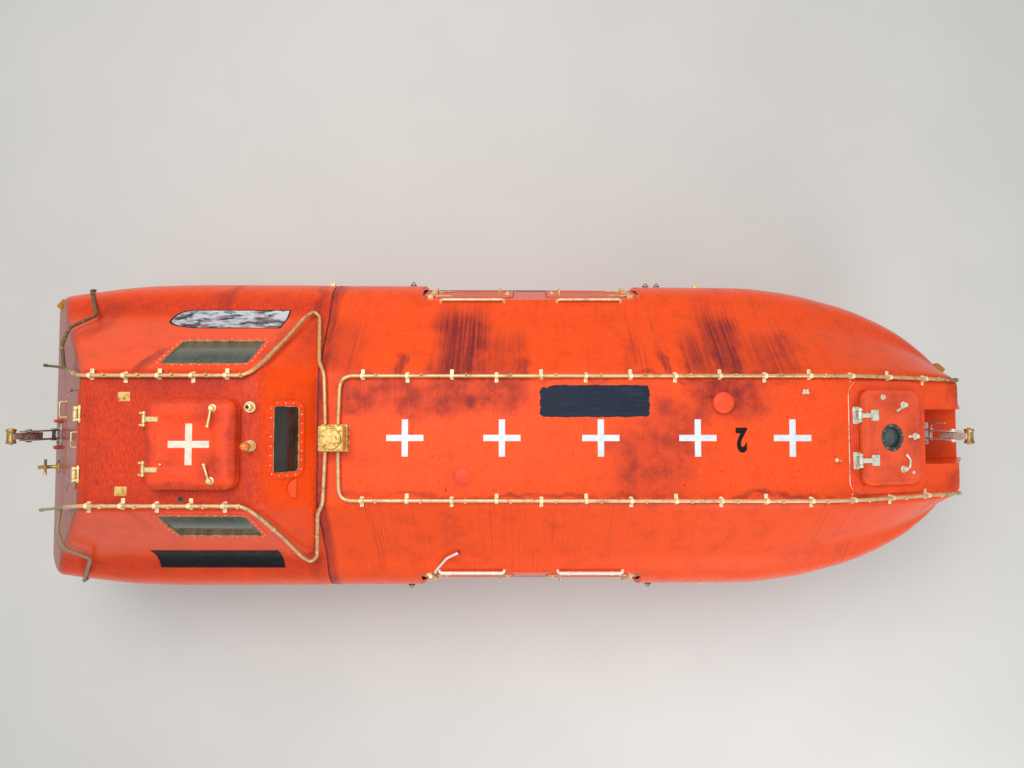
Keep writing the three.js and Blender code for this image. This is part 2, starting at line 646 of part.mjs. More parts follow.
const roofHole = slab(roofFace, {
  width: COAMING.width - 2 * COAMING.wall, height: COAMING.height - 2 * COAMING.wall,
  radius: COAMING.radius - COAMING.wall, n0: -120, n1: 60,
});
const aftDoorTop = -1150 + 90;
const aftDoorCentre = { u: 0, v: aftDoorTop + AFT_DOOR.height / 2 };
const aftHole = slab(aftFace, {
  ...aftDoorCentre, width: AFT_DOOR.width + 14, height: AFT_DOOR.height + 14, radius: AFT_DOOR.radius + 7,
  n0: -160, n1: 60,
});
wheelhouse = wheelhouse.subtract(windowHole).subtract(mirrored(windowHole)).subtract(frontHole)
  .subtract(roofHole).subtract(aftHole);

let aftDoor = slab(aftFace, {
  ...aftDoorCentre, width: AFT_DOOR.width, height: AFT_DOOR.height, radius: AFT_DOOR.radius,
  n0: AFT_DOOR.proud - AFT_DOOR.thickness, n1: AFT_DOOR.proud,
});
const aftHandle = bentBar([
  pointOn(aftFace, 170, aftDoorTop + AFT_DOOR.height - 60, AFT_DOOR.proud - 4),
  pointOn(aftFace, 170, aftDoorTop + AFT_DOOR.height - 60, AFT_DOOR.proud + 50),
  pointOn(aftFace, 310, aftDoorTop + AFT_DOOR.height - 60, AFT_DOOR.proud + 50),
  pointOn(aftFace, 310, aftDoorTop + AFT_DOOR.height - 60, AFT_DOOR.proud - 4),
], 8, 8);
aftDoor = aftDoor.add(aftHandle);
const AFT_HINGE_U = [-265, 205];
const AFT_HINGE_V = aftDoorTop - 30;
for (const u of AFT_HINGE_U) {
  const at = (distance) => pointOn(aftFace, u + distance, AFT_HINGE_V, HINGE.lift);
  const lugU = HINGE.knuckleLength / 2 + 5 + HINGE.lugLength / 2;
  const foot = (side) => slab(aftFace, {
    u: u + side * lugU, v: AFT_HINGE_V - 8, width: HINGE.footLength, height: 46, radius: 4,
    n0: -10, n1: HINGE.lift - 2, segments: 1,
  });
  const strap = slab(aftFace, {
    u, v: AFT_HINGE_V + 78, width: 44, height: 130, radius: 8,
    n0: AFT_DOOR.proud - 2, n1: HINGE.lift - 4, segments: 1,
  });
  const hinge = hingeParts(aftFace, { at }, { fixed: [foot(-1), foot(1)], moving: strap });
  aftDoor = aftDoor.add(hinge.moving);
  wheelhouse = wheelhouse.add(hinge.fixed);
}
addPiece('aft_door', aftDoor, ORANGE);

const sideGlass = slab(sideWindowFace, {
  width: SIDE_WINDOW.width - 2 * GAP, height: SIDE_WINDOW.height - 2 * GAP, radius: SIDE_WINDOW.radius,
  n0: -GLASS_THICKNESS - 4, n1: -4,
});
const frontGlass = slab(frontFace, {
  u: 0, v: 20, width: FRONT_WINDOW.width - 2 * GAP, height: FRONT_WINDOW.height - 2 * GAP,
  radius: FRONT_WINDOW.radius, n0: -GLASS_THICKNESS - 4, n1: -4,
});
addPiece('window_port', sideGlass, DARK_GLASS);
addPiece('window_starboard', mirrored(sideGlass), DARK_GLASS);
addPiece('window_front', frontGlass, DARK_GLASS);

// Roof hatch: a coaming on the roof and a lid that caps it

const coaming = slab(roofFace, { width: COAMING.width, height: COAMING.height, radius: COAMING.radius,
  n0: GAP, n1: COAMING.rise })
  .subtract(slab(roofFace, {
    width: COAMING.width - 2 * COAMING.wall, height: COAMING.height - 2 * COAMING.wall,
    radius: COAMING.radius - COAMING.wall, n0: -20, n1: COAMING.rise + 20,
  }));
let roofLid = slab(roofFace, { width: ROOF_LID.width, height: ROOF_LID.height, radius: ROOF_LID.radius,
  n0: 8, n1: ROOF_LID.rise })
  .subtract(slab(roofFace, {
    width: ROOF_LID.width - 2 * ROOF_LID.wall, height: ROOF_LID.height - 2 * ROOF_LID.wall,
    radius: ROOF_LID.radius - ROOF_LID.wall, n0: -20, n1: ROOF_LID.rise - ROOF_LID.top,
  }))
  .subtract(dish(roofFace, {
    ...ROOF_DISH,
    mouth: ROOF_DISH.mouth + (ROOF_DISH.mouth - ROOF_DISH.floor) * 10 / ROOF_DISH.depth,
    n0: ROOF_LID.rise - ROOF_DISH.depth,
    n1: ROOF_LID.rise + 10,
  }));
const ROOF_DOGS = [
  { u: 186, v: 274, lever: [[-23, -135]] },
  { u: 178, v: -272, lever: [[-37, 120]] },
];
for (const place of ROOF_DOGS) {
  roofLid = roofLid.add(dog(roofFace, place, ROOF_LID.rise));
}
const ROOF_HINGE_U = -(ROOF_LID.width / 2 + 26);
const ROOF_HINGE_V = [-190, 190];
const ROOF_HINGE_LIFT = 60;
for (const v of ROOF_HINGE_V) {
  const at = (distance) => pointOn(roofFace, ROOF_HINGE_U, v + distance, ROOF_HINGE_LIFT);
  const lugV = HINGE.knuckleLength / 2 + 5 + HINGE.lugLength / 2;
  const foot = (side) => slab(roofFace, {
    u: ROOF_HINGE_U - 12, v: v + side * lugV, width: 60, height: HINGE.footLength, radius: 4,
    n0: -GAP, n1: ROOF_HINGE_LIFT, segments: 1,
  });
  const tab = slab(roofFace, {
    u: ROOF_HINGE_U + 26, v, width: 30, height: 44, radius: 4,
    n0: ROOF_HINGE_LIFT - 12, n1: ROOF_HINGE_LIFT + 12, segments: 1,
  });
  const hinge = hingeParts(roofFace, { at }, { fixed: [foot(-1), foot(1)], moving: tab });
  roofLid = roofLid.add(hinge.moving);
  wheelhouse = wheelhouse.add(hinge.fixed);
}
addPiece('wheelhouse', wheelhouse, ORANGE);
addPiece('roof_hatch_coaming', coaming, ORANGE);
addPiece('roof_hatch_lid', roofLid, FADED_ORANGE);

// Inside: a foam-filled liner with a sole and side benches, the engine, and the helm on its casing

const LINER = { soleZ: 550, benchZ: 950, aisleHalfWidth: 780, x0: -4600, x1: 3300 };
const linerOutline = [
  [-1500, 0], [1500, 0], [1500, LINER.benchZ], [LINER.aisleHalfWidth, LINER.benchZ],
  [LINER.aisleHalfWidth, LINER.soleZ], [-LINER.aisleHalfWidth, LINER.soleZ],
  [-LINER.aisleHalfWidth, LINER.benchZ], [-1500, LINER.benchZ],
];
const liner = prismAlong(linerOutline, LINER.x0, LINER.x1).intersect(hullBody(HULL_WALL + 1));

const ENGINE = { x0: -3350, x1: -2450, halfWidth: 270, height: 600 };
const CASING = { wall: 25, clearance: 40, topZ: 1300 };
const HELM = { seatX: -2750, seatTopZ: 1880, consoleX: -2200 };
const engineFloorZ = LINER.soleZ + GAP;
const engine = block(ENGINE.x0, ENGINE.x1, -ENGINE.halfWidth, ENGINE.halfWidth,
  engineFloorZ, engineFloorZ + ENGINE.height);
const casingOut = CASING.wall + CASING.clearance;
const casing = block(ENGINE.x0 - casingOut, ENGINE.x1 + casingOut,
  -ENGINE.halfWidth - casingOut, ENGINE.halfWidth + casingOut, engineFloorZ, CASING.topZ)
  .subtract(block(ENGINE.x0 - CASING.clearance, ENGINE.x1 + CASING.clearance,
    -ENGINE.halfWidth - CASING.clearance, ENGINE.halfWidth + CASING.clearance,
    engineFloorZ - 10, CASING.topZ - CASING.wall));
const seatBaseZ = CASING.topZ + GAP;
const helmSeat = join(
  block(HELM.seatX - 160, HELM.seatX + 160, -160, 160, seatBaseZ, HELM.seatTopZ - 90),
  block(HELM.seatX - 220, HELM.seatX + 230, -230, 230, HELM.seatTopZ - 90, HELM.seatTopZ),
  block(HELM.seatX - 260, HELM.seatX - 180, -230, 230, HELM.seatTopZ - 60, HELM.seatTopZ + 480));
const helmConsole = join(
  prismAcross([
    [HELM.consoleX, engineFloorZ], [HELM.consoleX + 260, engineFloorZ],
    [HELM.consoleX + 260, 2220], [HELM.consoleX - 60, 2080], [HELM.consoleX - 60, 1950],
    [HELM.consoleX, 1900],
  ], -300, 300),
  rod([HELM.consoleX - 50, 0, 2010], [HELM.consoleX - 130, 0, 2040], 16, 8),
  rod([HELM.consoleX - 124, 0, 2038], [HELM.consoleX - 142, 0, 2045], 180, 20));
addPiece('cabin_liner', liner, LINER_WHITE);
addPiece('engine_block', engine, ENGINE_GREY);
addPiece('engine_casing', casing, LINER_WHITE);
addPiece('helm_seat', helmSeat, BLACK_RUBBER);
addPiece('helm_console', helmConsole, LINER_WHITE);

// Deluge pipes on brackets with spray nozzles, fed from a box on the canopy

const PIPE = { radius: 15, lift: 34, y: 520, roofY: 500 };
const BRACKET = { length: 34, width: 44, pitch: 375 };
const FEED_BOX = { x: -1505, base: 230, top: 205, height: 170 };
const deckHeight = (x) => (x < 2200 ? DECK_Z : tableAt(CANOPY_STATIONS, x, 5));

// A block under the pipe and a nozzle beside it, at height z and sloping down towards the bow
function bracketAndNozzle(x, y, z, slope) {
  const tall = PIPE.lift + BRACKET.length * slope + 6;
  return join(
    block(x - BRACKET.length / 2, x + BRACKET.length / 2, y - BRACKET.width / 2, y + BRACKET.width / 2,
      z - tall, z + 4),
    rod([x + 120, y, z - slope * 120], [x + 120, y + 12, z + 42 - slope * 120], 9, 6));
}

function canopyPipe() {
  const level = DECK_Z + PIPE.lift;
  const entryX = FEED_BOX.x + 28;
  const pieces = [bentBar([
    [entryX, FEED_BOX.base / 2 + GAP, level],
    [entryX, FEED_BOX.base / 2 + 40, level],
    [entryX + 8, PIPE.y - 90, level],
    [entryX + 30, PIPE.y - 25, level],
    [entryX + 90, PIPE.y, level],
    [2480, PIPE.y, level],
    [2740, PIPE.y, deckHeight(2740) + PIPE.lift],
    [2990, PIPE.y, deckHeight(2990) + PIPE.lift],
    [3940, PIPE.y - 20, deckHeight(3940) + PIPE.lift + 4],
  ], PIPE.radius)];
  for (let x = -1280; x < 3850; x += BRACKET.pitch) {
    const slope = (deckHeight(x - 20) - deckHeight(x + 20)) / 40;
    const y = x > 2990 ? PIPE.y - 20 * (x - 2990) / 950 : PIPE.y;
    pieces.push(bracketAndNozzle(x, y, deckHeight(x) + PIPE.lift, slope));
  }
  return join(...pieces).subtract(canopyOuter.translate([0, 0, GAP]));
}

function wheelhousePipe() {
  const level = DECK_Z + PIPE.lift;
  const roofLevel = ROOF_Z + PIPE.lift;
  const entryX = FEED_BOX.x - 80;
  const pieces = [bentBar([
    [entryX, FEED_BOX.base / 2 + GAP, level],
    [entryX, FEED_BOX.base / 2 + 40, level],
    [entryX - 15, 540, level],
    [-1660, 640, 2722],
    [-1790, 1090, 2284],
    [-1850, 1140, 2262],
    [-1895, 1080, 2360],
    [-1945, 832, 2735],
    [-1985, 615, 3110],
    [-2040, 530, 3215],
    [-2110, PIPE.roofY, roofLevel],
    [-3330, PIPE.roofY, roofLevel],
    [-3420, 510, 3195],
    [-3880, 600, 2650],
    [-3900, 800, 2655],
    [-3905, 960, 2555],
    [-3810, 1098, 2335],
    [-4090, 1385, 1985],
    [-4290, 1452, 1620],
  ], PIPE.radius)];
  for (let x = -2230; x > -3300; x -= BRACKET.pitch * 0.7) {
    pieces.push(bracketAndNozzle(x, PIPE.roofY, roofLevel, 0));
  }
  pieces.push(rod([-3880, 600, 2650], [-4060, 620, 2640], 11, 8));
  return join(...pieces).subtract(wheelhouseOuter.translate([0, 0, GAP]))
    .subtract(canopyOuter.translate([0, 0, GAP]));
}

const deckPipe = canopyPipe();
const roofPipe = wheelhousePipe();
addPiece('deluge_pipe_canopy_port', deckPipe, BRASS);
addPiece('deluge_pipe_canopy_starboard', mirrored(deckPipe), BRASS);
addPiece('deluge_pipe_wheelhouse_port', roofPipe, BRASS);
addPiece('deluge_pipe_wheelhouse_starboard', mirrored(roofPipe), BRASS);

const boxAt = (size, z0, z1) => block(
  FEED_BOX.x - size / 2, FEED_BOX.x + size / 2, -size / 2, size / 2, z0, z1);
const feedBox = join(
  boxAt(FEED_BOX.base, DECK_Z + GAP, DECK_Z + 60),
  boxAt(FEED_BOX.top, DECK_Z + 60, DECK_Z + FEED_BOX.height),
  rod([FEED_BOX.x, 0, DECK_Z + FEED_BOX.height - 1], [FEED_BOX.x, 0, DECK_Z + FEED_BOX.height + 12], 85, 20));
addPiece('deluge_feed_box', feedBox, BRASS);

// Deck and roof fittings

const capAt = (x, y, z, radius, height, topRadius) => rod(
  [x, y, z + GAP], [x, y, z + height], radius, 24, topRadius);
const deckVent = join(
  capAt(1739, 296, DECK_Z, 60, 40, 60), capAt(1739, 296, DECK_Z + 30, 90, 32, 60));
const deckCap = capAt(-439, -326, DECK_Z, 80, 14, 74);
const LAMP = { x: -2045, y: -43, radius: 45 };
const lamp = join(
  capAt(LAMP.x, LAMP.y, ROOF_Z, LAMP.radius, 40, LAMP.radius - 4),
  capAt(LAMP.x, LAMP.y, ROOF_Z + 30, LAMP.radius - 6, 75, LAMP.radius - 10),
  ball([LAMP.x, LAMP.y, ROOF_Z + 103], LAMP.radius - 9, 16));
const roofVent = join(
  capAt(LAMP.x, 257, ROOF_Z, 44, 22, 44), capAt(LAMP.x, 257, ROOF_Z + 20, 26, 50, 22));
addPiece('deck_vent', deckVent, FADED_ORANGE);
addPiece('deck_cap', deckCap, FADED_ORANGE);
addPiece('position_lamp', lamp, LAMP_ORANGE);
addPiece('roof_vent', roofVent, BRASS);

// Grab rails on the shoulder above the side doors

const RAIL = { length: 600, radius: 14, standOff: 55, y: 1229, z: 2104 };
const railOut = new THREE.Vector2(0.75, 0.66).normalize();
const railPoint = (x, out) => [x, RAIL.y + railOut.x * out, RAIL.z + railOut.y * out];
const railSeat = canopyOuter.translate([0, railOut.x * GAP, railOut.y * GAP]);
for (const [name, u] of DOORS) {
  const half = RAIL.length / 2;
  const rail = bentBar([
    railPoint(u - half, -30), railPoint(u - half, RAIL.standOff),
    railPoint(u + half, RAIL.standOff), railPoint(u + half, -30),
  ], RAIL.radius).subtract(railSeat);
  addPiece(`grab_rail_port_${name}`, rail, LINER_WHITE);
  addPiece(`grab_rail_starboard_${name}`, mirrored(rail), LINER_WHITE);
}

// Lifting hooks: two cheeks on a foot, and a hook that swings outwards between them

const HOOK = {
  cheekInner: 34, cheekOuter: 45, topRadius: 70, pinRadius: 14, boreRadius: 14.6, halfThickness: 28,
  headRise: 165, headOut: 35, headRadius: 40, headHalfWidth: 65,
};
const FORE_HOOK = { x: 4040, z: 2180, outward: 1 };
const AFT_HOOK = { x: -4440, z: 2280, outward: -1 };

function arcPoints(cx, cz, radius, from, to, steps) {
  return Array.from({ length: steps + 1 }, (_, i) => {
    const angle = THREE.MathUtils.degToRad(from + (to - from) * i / steps);
    return [cx + radius * Math.cos(angle), cz + radius * Math.sin(angle)];
  });
}

// Both cheeks, from the feet [x, z] up to a round top about the pin
function cheeks({ x, z }, foreFoot, aftFoot) {
  const side = [foreFoot, ...arcPoints(x, z, HOOK.topRadius, 0, 180, 10), aftFoot];
  const plate = prismAcross(side, HOOK.cheekInner, HOOK.cheekOuter);
  const bore = rod([x, -80, z], [x, 80, z], HOOK.boreRadius, 16);
  const spacer = rod([x, -HOOK.cheekInner - 4, z - 330], [x, HOOK.cheekInner + 4, z - 330], 16, 10);
  return plate.add(mirrored(plate)).subtract(bore).add(spacer);
}

function swingingHook({ x, z, outward }) {
  const reach = outward * HOOK.headOut;
  const body = prismAcross(
    outward > 0
      ? [[x - 45, z - 120], [x + 40, z - 120], [x + 45, z], [x + 75, z + 170], [x, z + 180], [x - 45, z]]
      : [[x - 40, z - 120], [x + 45, z - 120], [x + 45, z], [x, z + 180], [x - 75, z + 170], [x - 45, z]],
    -HOOK.halfThickness, HOOK.halfThickness);
  const pin = rod([x, -56, z], [x, 56, z], HOOK.pinRadius, 16);
  const head = rod(
    [x + reach, -HOOK.headHalfWidth, z + HOOK.headRise],
    [x + reach, HOOK.headHalfWidth, z + HOOK.headRise], HOOK.headRadius, 16);
  return join(body, pin, head);
}

const foreFoot = block(3900, 4190, -110, 110, WELL.floorZ + GAP, WELL.floorZ + 16);
const foreCheeks = cheeks(FORE_HOOK, [4150, WELL.floorZ + 10], [3940, WELL.floorZ + 10]).add(foreFoot);
const AFT_HOOK_V = 590;
const aftFoot = slab(aftFace, {
  u: 0, v: AFT_HOOK_V, width: 220, height: 290, radius: 12, n0: GAP, n1: 16, segments: 2,
});
const footOn = (v) => {
  const [x, , z] = pointOn(aftFace, 0, v, 8);
  return [x, z];
};
const aftCheeks = cheeks(AFT_HOOK, footOn(AFT_HOOK_V - 105), footOn(AFT_HOOK_V + 105)).add(aftFoot);
addPiece('fore_hook_cheeks', foreCheeks, STEEL);
addPiece('fore_hook', swingingHook(FORE_HOOK), BRASS);
addPiece('aft_hook_cheeks', aftCheeks, STEEL);
addPiece('aft_hook', swingingHook(AFT_HOOK), BRASS);

// Cruciform bollard on the raked aft face

const BOLLARD = { u: -324, v: 700, reach: 170, crossAt: 110, crossHalf: 75 };
const bollard = join(
  slab(aftFace, { u: BOLLARD.u, v: BOLLARD.v, width: 120, height: 120, radius: 12, n0: GAP, n1: 12, segments: 2 }),
  rod(pointOn(aftFace, BOLLARD.u, BOLLARD.v, 10), pointOn(aftFace, BOLLARD.u, BOLLARD.v, BOLLARD.reach), 17, 12),
  rod(pointOn(aftFace, BOLLARD.u - BOLLARD.crossHalf, BOLLARD.v, BOLLARD.crossAt),
    pointOn(aftFace, BOLLARD.u + BOLLARD.crossHalf, BOLLARD.v, BOLLARD.crossAt), 13, 10));
addPiece('aft_bollard', bollard, BRASS);

// Propeller on its stern tube, and the rudder between the hull and the heel of the keel shoe

const sternTube = rod([KEEL.aftX - GAP, 0, SHAFT.z], [SHAFT.tubeEndX, 0, SHAFT.z], SHAFT.tubeRadius, 16);
const hubFrom = SHAFT.propellerX - 45;
let propeller = join(
  rod([SHAFT.propellerX + 45, 0, SHAFT.z], [hubFrom, 0, SHAFT.z], SHAFT.hubRadius, 16),
  rod([SHAFT.tubeEndX - GAP, 0, SHAFT.z], [SHAFT.propellerX + 40, 0, SHAFT.z], SHAFT.radius, 12));
for (let blade = 0; blade < SHAFT.blades; blade += 1) {
  const turn = (blade * 2 * Math.PI) / SHAFT.blades;
  const geometry = extrude(roundedRectangle(150, SHAFT.bladeReach - 20, 60), 9, 3);
  geometry.translate(0, (SHAFT.bladeReach + 20) / 2, -4.5);
  geometry.rotateY(THREE.MathUtils.degToRad(SHAFT.bladePitch));
  geometry.rotateX(Math.PI / 2 + turn);
  geometry.translate(SHAFT.propellerX, 0, SHAFT.z);
  propeller = propeller.add(solidFromGeometry(geometry));
}
const rudder = join(
  rod([RUDDER.stockX, 0, KEEL.shoeHeight + GAP], [RUDDER.stockX, 0, RUDDER.topZ], RUDDER.stockRadius, 12),
  prismAcross([
    [RUDDER.stockX + 70, 55], [RUDDER.stockX - 300, 55], [RUDDER.stockX - 330, 560],
    [RUDDER.stockX + 70, 560],
  ], -14, 14));
addPiece('stern_tube', sternTube, STEEL);
addPiece('propeller', propeller, BRASS);
addPiece('rudder', rudder, STEEL);

export default boat;
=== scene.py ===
import math

import bmesh
import bpy
import numpy as np
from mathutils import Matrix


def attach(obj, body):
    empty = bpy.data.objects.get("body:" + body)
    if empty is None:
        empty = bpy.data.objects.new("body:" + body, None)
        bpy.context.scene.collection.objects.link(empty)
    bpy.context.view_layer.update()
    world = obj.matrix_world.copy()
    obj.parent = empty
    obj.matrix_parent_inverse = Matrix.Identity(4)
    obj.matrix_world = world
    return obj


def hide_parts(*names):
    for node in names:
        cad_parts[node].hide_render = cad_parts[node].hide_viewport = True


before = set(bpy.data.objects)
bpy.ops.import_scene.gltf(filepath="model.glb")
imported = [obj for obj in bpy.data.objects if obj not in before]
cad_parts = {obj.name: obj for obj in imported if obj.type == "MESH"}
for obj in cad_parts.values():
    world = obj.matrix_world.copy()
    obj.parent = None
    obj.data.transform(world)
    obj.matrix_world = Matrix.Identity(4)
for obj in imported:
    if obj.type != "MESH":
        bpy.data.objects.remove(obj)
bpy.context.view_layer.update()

# Studio
# A pale matt floor under the boat, and a camera hung 8.3 m up above midships, tipped a little to port.
# The light is a bright overcast sky with two broad soft lamps, so that the gelcoat shows its sheen.
FOCAL_PIXELS = 660
PHOTO_WIDTH = 1024
CAMERA_PLACE = (0.0, 0.23, 8.3)
CAMERA_TIP = math.radians(2.3)
CAMERA_LEAN = math.radians(0.26)


def add_object(name, data):
    """A new object in the scene."""
    made = bpy.data.objects.new(name, data)
    bpy.context.scene.collection.objects.link(made)
    return made


camera = add_object("camera", bpy.data.cameras.new("camera"))
camera.data.sensor_width = 36
camera.data.lens = FOCAL_PIXELS / PHOTO_WIDTH * camera.data.sensor_width
camera.location = CAMERA_PLACE
camera.rotation_euler = (CAMERA_TIP, CAMERA_LEAN, 0)
bpy.context.scene.camera = camera


def linear(hex_colour):
    """The linear red, green, blue and alpha of a colour written as on a paint chart."""
    channels = np.array([int(hex_colour[i:i + 2], 16) for i in (1, 3, 5)]) / 255
    low = channels / 12.92
    high = ((channels + 0.055) / 1.055) ** 2.4
    return (*np.where(channels <= 0.04045, low, high).tolist(), 1.0)


def new_material(name, colour, rough=0.5):
    """A material with its main shader, whose own sockets hold what is the same all over."""
    material = bpy.data.materials.new(name)
    material.use_nodes = True
    material.diffuse_color = linear(colour)
    shader = material.node_tree.nodes["Principled BSDF"]
    shader.inputs["Base Color"].default_value = linear(colour)
    shader.inputs["Roughness"].default_value = rough
    return material, material.node_tree, shader


def put(tree, kind, settings=None, **sockets):
    """Adds a node with its own settings. A socket, named with _ for a space, gets a value or a link."""
    node = tree.nodes.new("ShaderNode" + kind)
    for name, value in (settings or {}).items():
        setattr(node, name, value)
    for name, value in sockets.items():
        numbered = name[0] == "i" and name[1:].isdigit()
        socket = node.inputs[int(name[1:]) if numbered else name.replace("_", " ")]
        if isinstance(value, bpy.types.NodeSocket):
            tree.links.new(value, socket)
        else:
            socket.default_value = value
    return node


def blend_colour(tree, share, first, second):
    """Two colours mixed by a share."""
    settings = {"data_type": "RGBA", "clamp_result": True}
    return put(tree, "Mix", settings, i0=share, i6=first, i7=second).outputs[2]


def axes_of(tree, vector="Object"):
    """The X, Y and Z of the place on a piece, in the piece's own frame, or of its normal there."""
    return put(tree, "SeparateXYZ", Vector=put(tree, "TexCoord").outputs[vector]).outputs


def cloud(tree, scale, detail, rough=0.5, stretch=(1, 1, 1), shift=(0, 0, 0)):
    """Fractal noise from 0 to 1 in a piece's own frame, finer along the axes whose stretch is large."""
    place = put(tree, "TexCoord").outputs["Object"]
    moved = put(tree, "Mapping", Vector=place, Scale=stretch, Location=shift).outputs[0]
    return put(tree, "TexNoise", Vector=moved, Scale=scale, Detail=detail, Roughness=rough).outputs["Fac"]


floor_paint, floor_tree, floor_shader = new_material("studio_floor", "#c9c7c3", 0.9)
floor_tint = cloud(floor_tree, 0.7, 3)
floor_colour = blend_colour(floor_tree, floor_tint, linear("#c4c2be"), linear("#cecbc6"))
floor_tree.links.new(floor_colour, floor_shader.inputs["Base Color"])
floor_mesh = bpy.data.meshes.new("studio_floor")
FLOOR_HALF = 60
floor_mesh.from_pydata([(-FLOOR_HALF, -FLOOR_HALF, 0), (FLOOR_HALF, -FLOOR_HALF, 0),
                        (FLOOR_HALF, FLOOR_HALF, 0), (-FLOOR_HALF, FLOOR_HALF, 0)], [], [(0, 1, 2, 3)])
floor_mesh.materials.append(floor_paint)
floor = add_object("studio_floor", floor_mesh)
sky = bpy.data.worlds.new("sky")
sky.use_nodes = True
sky.node_tree.nodes["Background"].inputs["Color"].default_value = (0.93, 0.97, 1.0, 1)
sky.node_tree.nodes["Background"].inputs["Strength"].default_value = 0.62
bpy.context.scene.world = sky
LAMPS = [
    # name, place, aim, side length, watts, colour
    ("overhead", (-2.0, 3.6, 12.0), (0.0, 0.0, 2.0), 7.0, 1080, (1.0, 0.98, 0.95)),
    ("fill", (5.0, -9.0, 6.5), (0.0, 0.0, 1.5), 6.0, 560, (0.95, 0.98, 1.0)),
]
for name, place, aim, side, watts, colour in LAMPS:
    lamp_data = bpy.data.lights.new(name, "AREA")
    lamp_data.size = side
    lamp_data.energy = watts
    lamp_data.color = colour
    studio_lamp = add_object(name, lamp_data)
    studio_lamp.location = place
    way = np.subtract(aim, place)
    studio_lamp.rotation_euler = (
        math.atan2(math.hypot(way[0], way[1]), -way[2]), 0, math.atan2(-way[0], way[1]))
bpy.context.scene.view_settings.view_transform = "Standard"

# Hull
# The lower moulding of glass-fibre, laid up in a mould and finished in orange gelcoat. It is open at the top,
# where the canopy is bonded on, and has a hollow 45 mm wall that stands for skin, foam and lining.
GAP = 0.0003
GUNWALE_Z = 1.3
CABIN_END_X = 3.54
HULL_WALL = 0.045
HULL_STATIONS = np.array([
    # x, half breadth at the gunwale, half breadth and height of the bilge, height of the keel line
    (-4.80, 1.290, 1.060, 0.860, 0.700),
    (-4.40, 1.370, 1.140, 0.800, 0.640),
    (-3.90, 1.430, 1.200, 0.700, 0.540),
    (-3.30, 1.460, 1.240, 0.560, 0.340),
    (-2.50, 1.468, 1.260, 0.450, 0.190),
    (-1.20, 1.465, 1.270, 0.410, 0.130),
    (0.60, 1.460, 1.265, 0.410, 0.130),
    (1.60, 1.445, 1.230, 0.440, 0.135),
    (2.40, 1.410, 1.110, 0.520, 0.150),
    (3.00, 1.310, 0.930, 0.640, 0.190),
    (3.50, 1.130, 0.690, 0.780, 0.280),
    (3.85, 0.930, 0.460, 0.930, 0.420),
    (4.15, 0.690, 0.250, 1.080, 0.640),
    (4.35, 0.460, 0.110, 1.190, 0.900),
    (4.44, 0.300, 0.050, 1.240, 1.080),
])
GELCOAT_ORANGE = linear("#e84808")
GELCOAT_FADED = linear("#db4619")
GELCOAT_DULL = linear("#722a22")
GELCOAT_DIRT = linear("#6f2426")


def arithmetic(operation):
    """A step of shader arithmetic, as a function of a tree and of one or two values or sockets."""
    def step(tree, first, second=0.0, clamp=False):
        return put(tree, "Math", {"operation": operation, "use_clamp": clamp}, i0=first, i1=second).outputs[0]
    return step


plus, minus, times = arithmetic("ADD"), arithmetic("SUBTRACT"), arithmetic("MULTIPLY")
most, unsigned = arithmetic("MAXIMUM"), arithmetic("ABSOLUTE")


def ramp(tree, value, low, high, floor=0.0, top=1.0):
    """A smooth change from floor to top as the value goes from low up to high."""
    return put(tree, "MapRange", {"interpolation_type": "SMOOTHSTEP"}, Value=value, From_Min=low,
               From_Max=high, To_Min=floor, To_Max=top).outputs["Result"]


def hump(tree, value, centre, half, soft):
    """1 near the centre, falling to 0 beyond `half` away from it over a distance `soft`."""
    away = unsigned(tree, minus(tree, value, centre))
    return ramp(tree, away, half, half + soft, 1.0, 0.0)


def new_group(name, inputs, outputs):
    """An empty node group. Each input is (kind, name, default) and each output is (kind, name)."""
    group = bpy.data.node_groups.new(name, "ShaderNodeTree")
    for kind, label, default in inputs:
        socket = group.interface.new_socket(name=label, in_out="INPUT", socket_type="NodeSocket" + kind)
        socket.default_value = default
    for kind, label in outputs:
        group.interface.new_socket(name=label, in_out="OUTPUT", socket_type="NodeSocket" + kind)
    return group, group.nodes.new("NodeGroupInput").outputs, group.nodes.new("NodeGroupOutput").inputs


def use_group(tree, group, **sockets):
    """Places a node group in a tree, with values or links for its inputs."""
    return put(tree, "Group", {"node_tree": group}, **sockets).outputs


def rough_bump(tree, shader, height, strength, distance):
    """Joins a height to the shader's Normal through a Bump node."""
    bump = put(tree, "Bump", Height=height, Strength=strength, Distance=distance)
    tree.links.new(bump.outputs[0], shader.inputs["Normal"])


def dress(tree, shader, colour, rough=None, metal=None):
    """Joins what varies over a piece to its main shader."""
    for name, value in (("Base Color", colour), ("Roughness", rough), ("Metallic", metal)):
        if value is not None:
            tree.links.new(value, shader.inputs[name])


# Sun-bleached gelcoat: it fades where it faces the sky, rain draws dirt down its slopes, and algae and soot
# gather in blotches. The group gives its colour, roughness and height.
gelcoat, given, gives = new_group("weathered_gelcoat", [
    ("Color", "Fresh", GELCOAT_ORANGE), ("Color", "Faded", GELCOAT_FADED), ("Color", "Dirt", GELCOAT_DIRT),
    ("Float", "Fading", 1.0), ("Float", "Streaks", 0.5), ("Float", "Stain", 0.0), ("Float", "Weave", 1.0),
    ("Float", "Dulled", 0.0), ("Color", "Dull", GELCOAT_DULL),
], [("Color", "Color"), ("Float", "Roughness"), ("Float", "Height")])
split = axes_of(gelcoat, "Normal")
facing = split["Z"]
endwise = ramp(gelcoat, unsigned(gelcoat, split["X"]), 0.3, 0.6)
mottle = cloud(gelcoat, 1.1, 5, 0.6)
blotch = cloud(gelcoat, 5.5, 6, 0.65, shift=(3, 1, 0))
grain = cloud(gelcoat, 55, 4, 0.6)
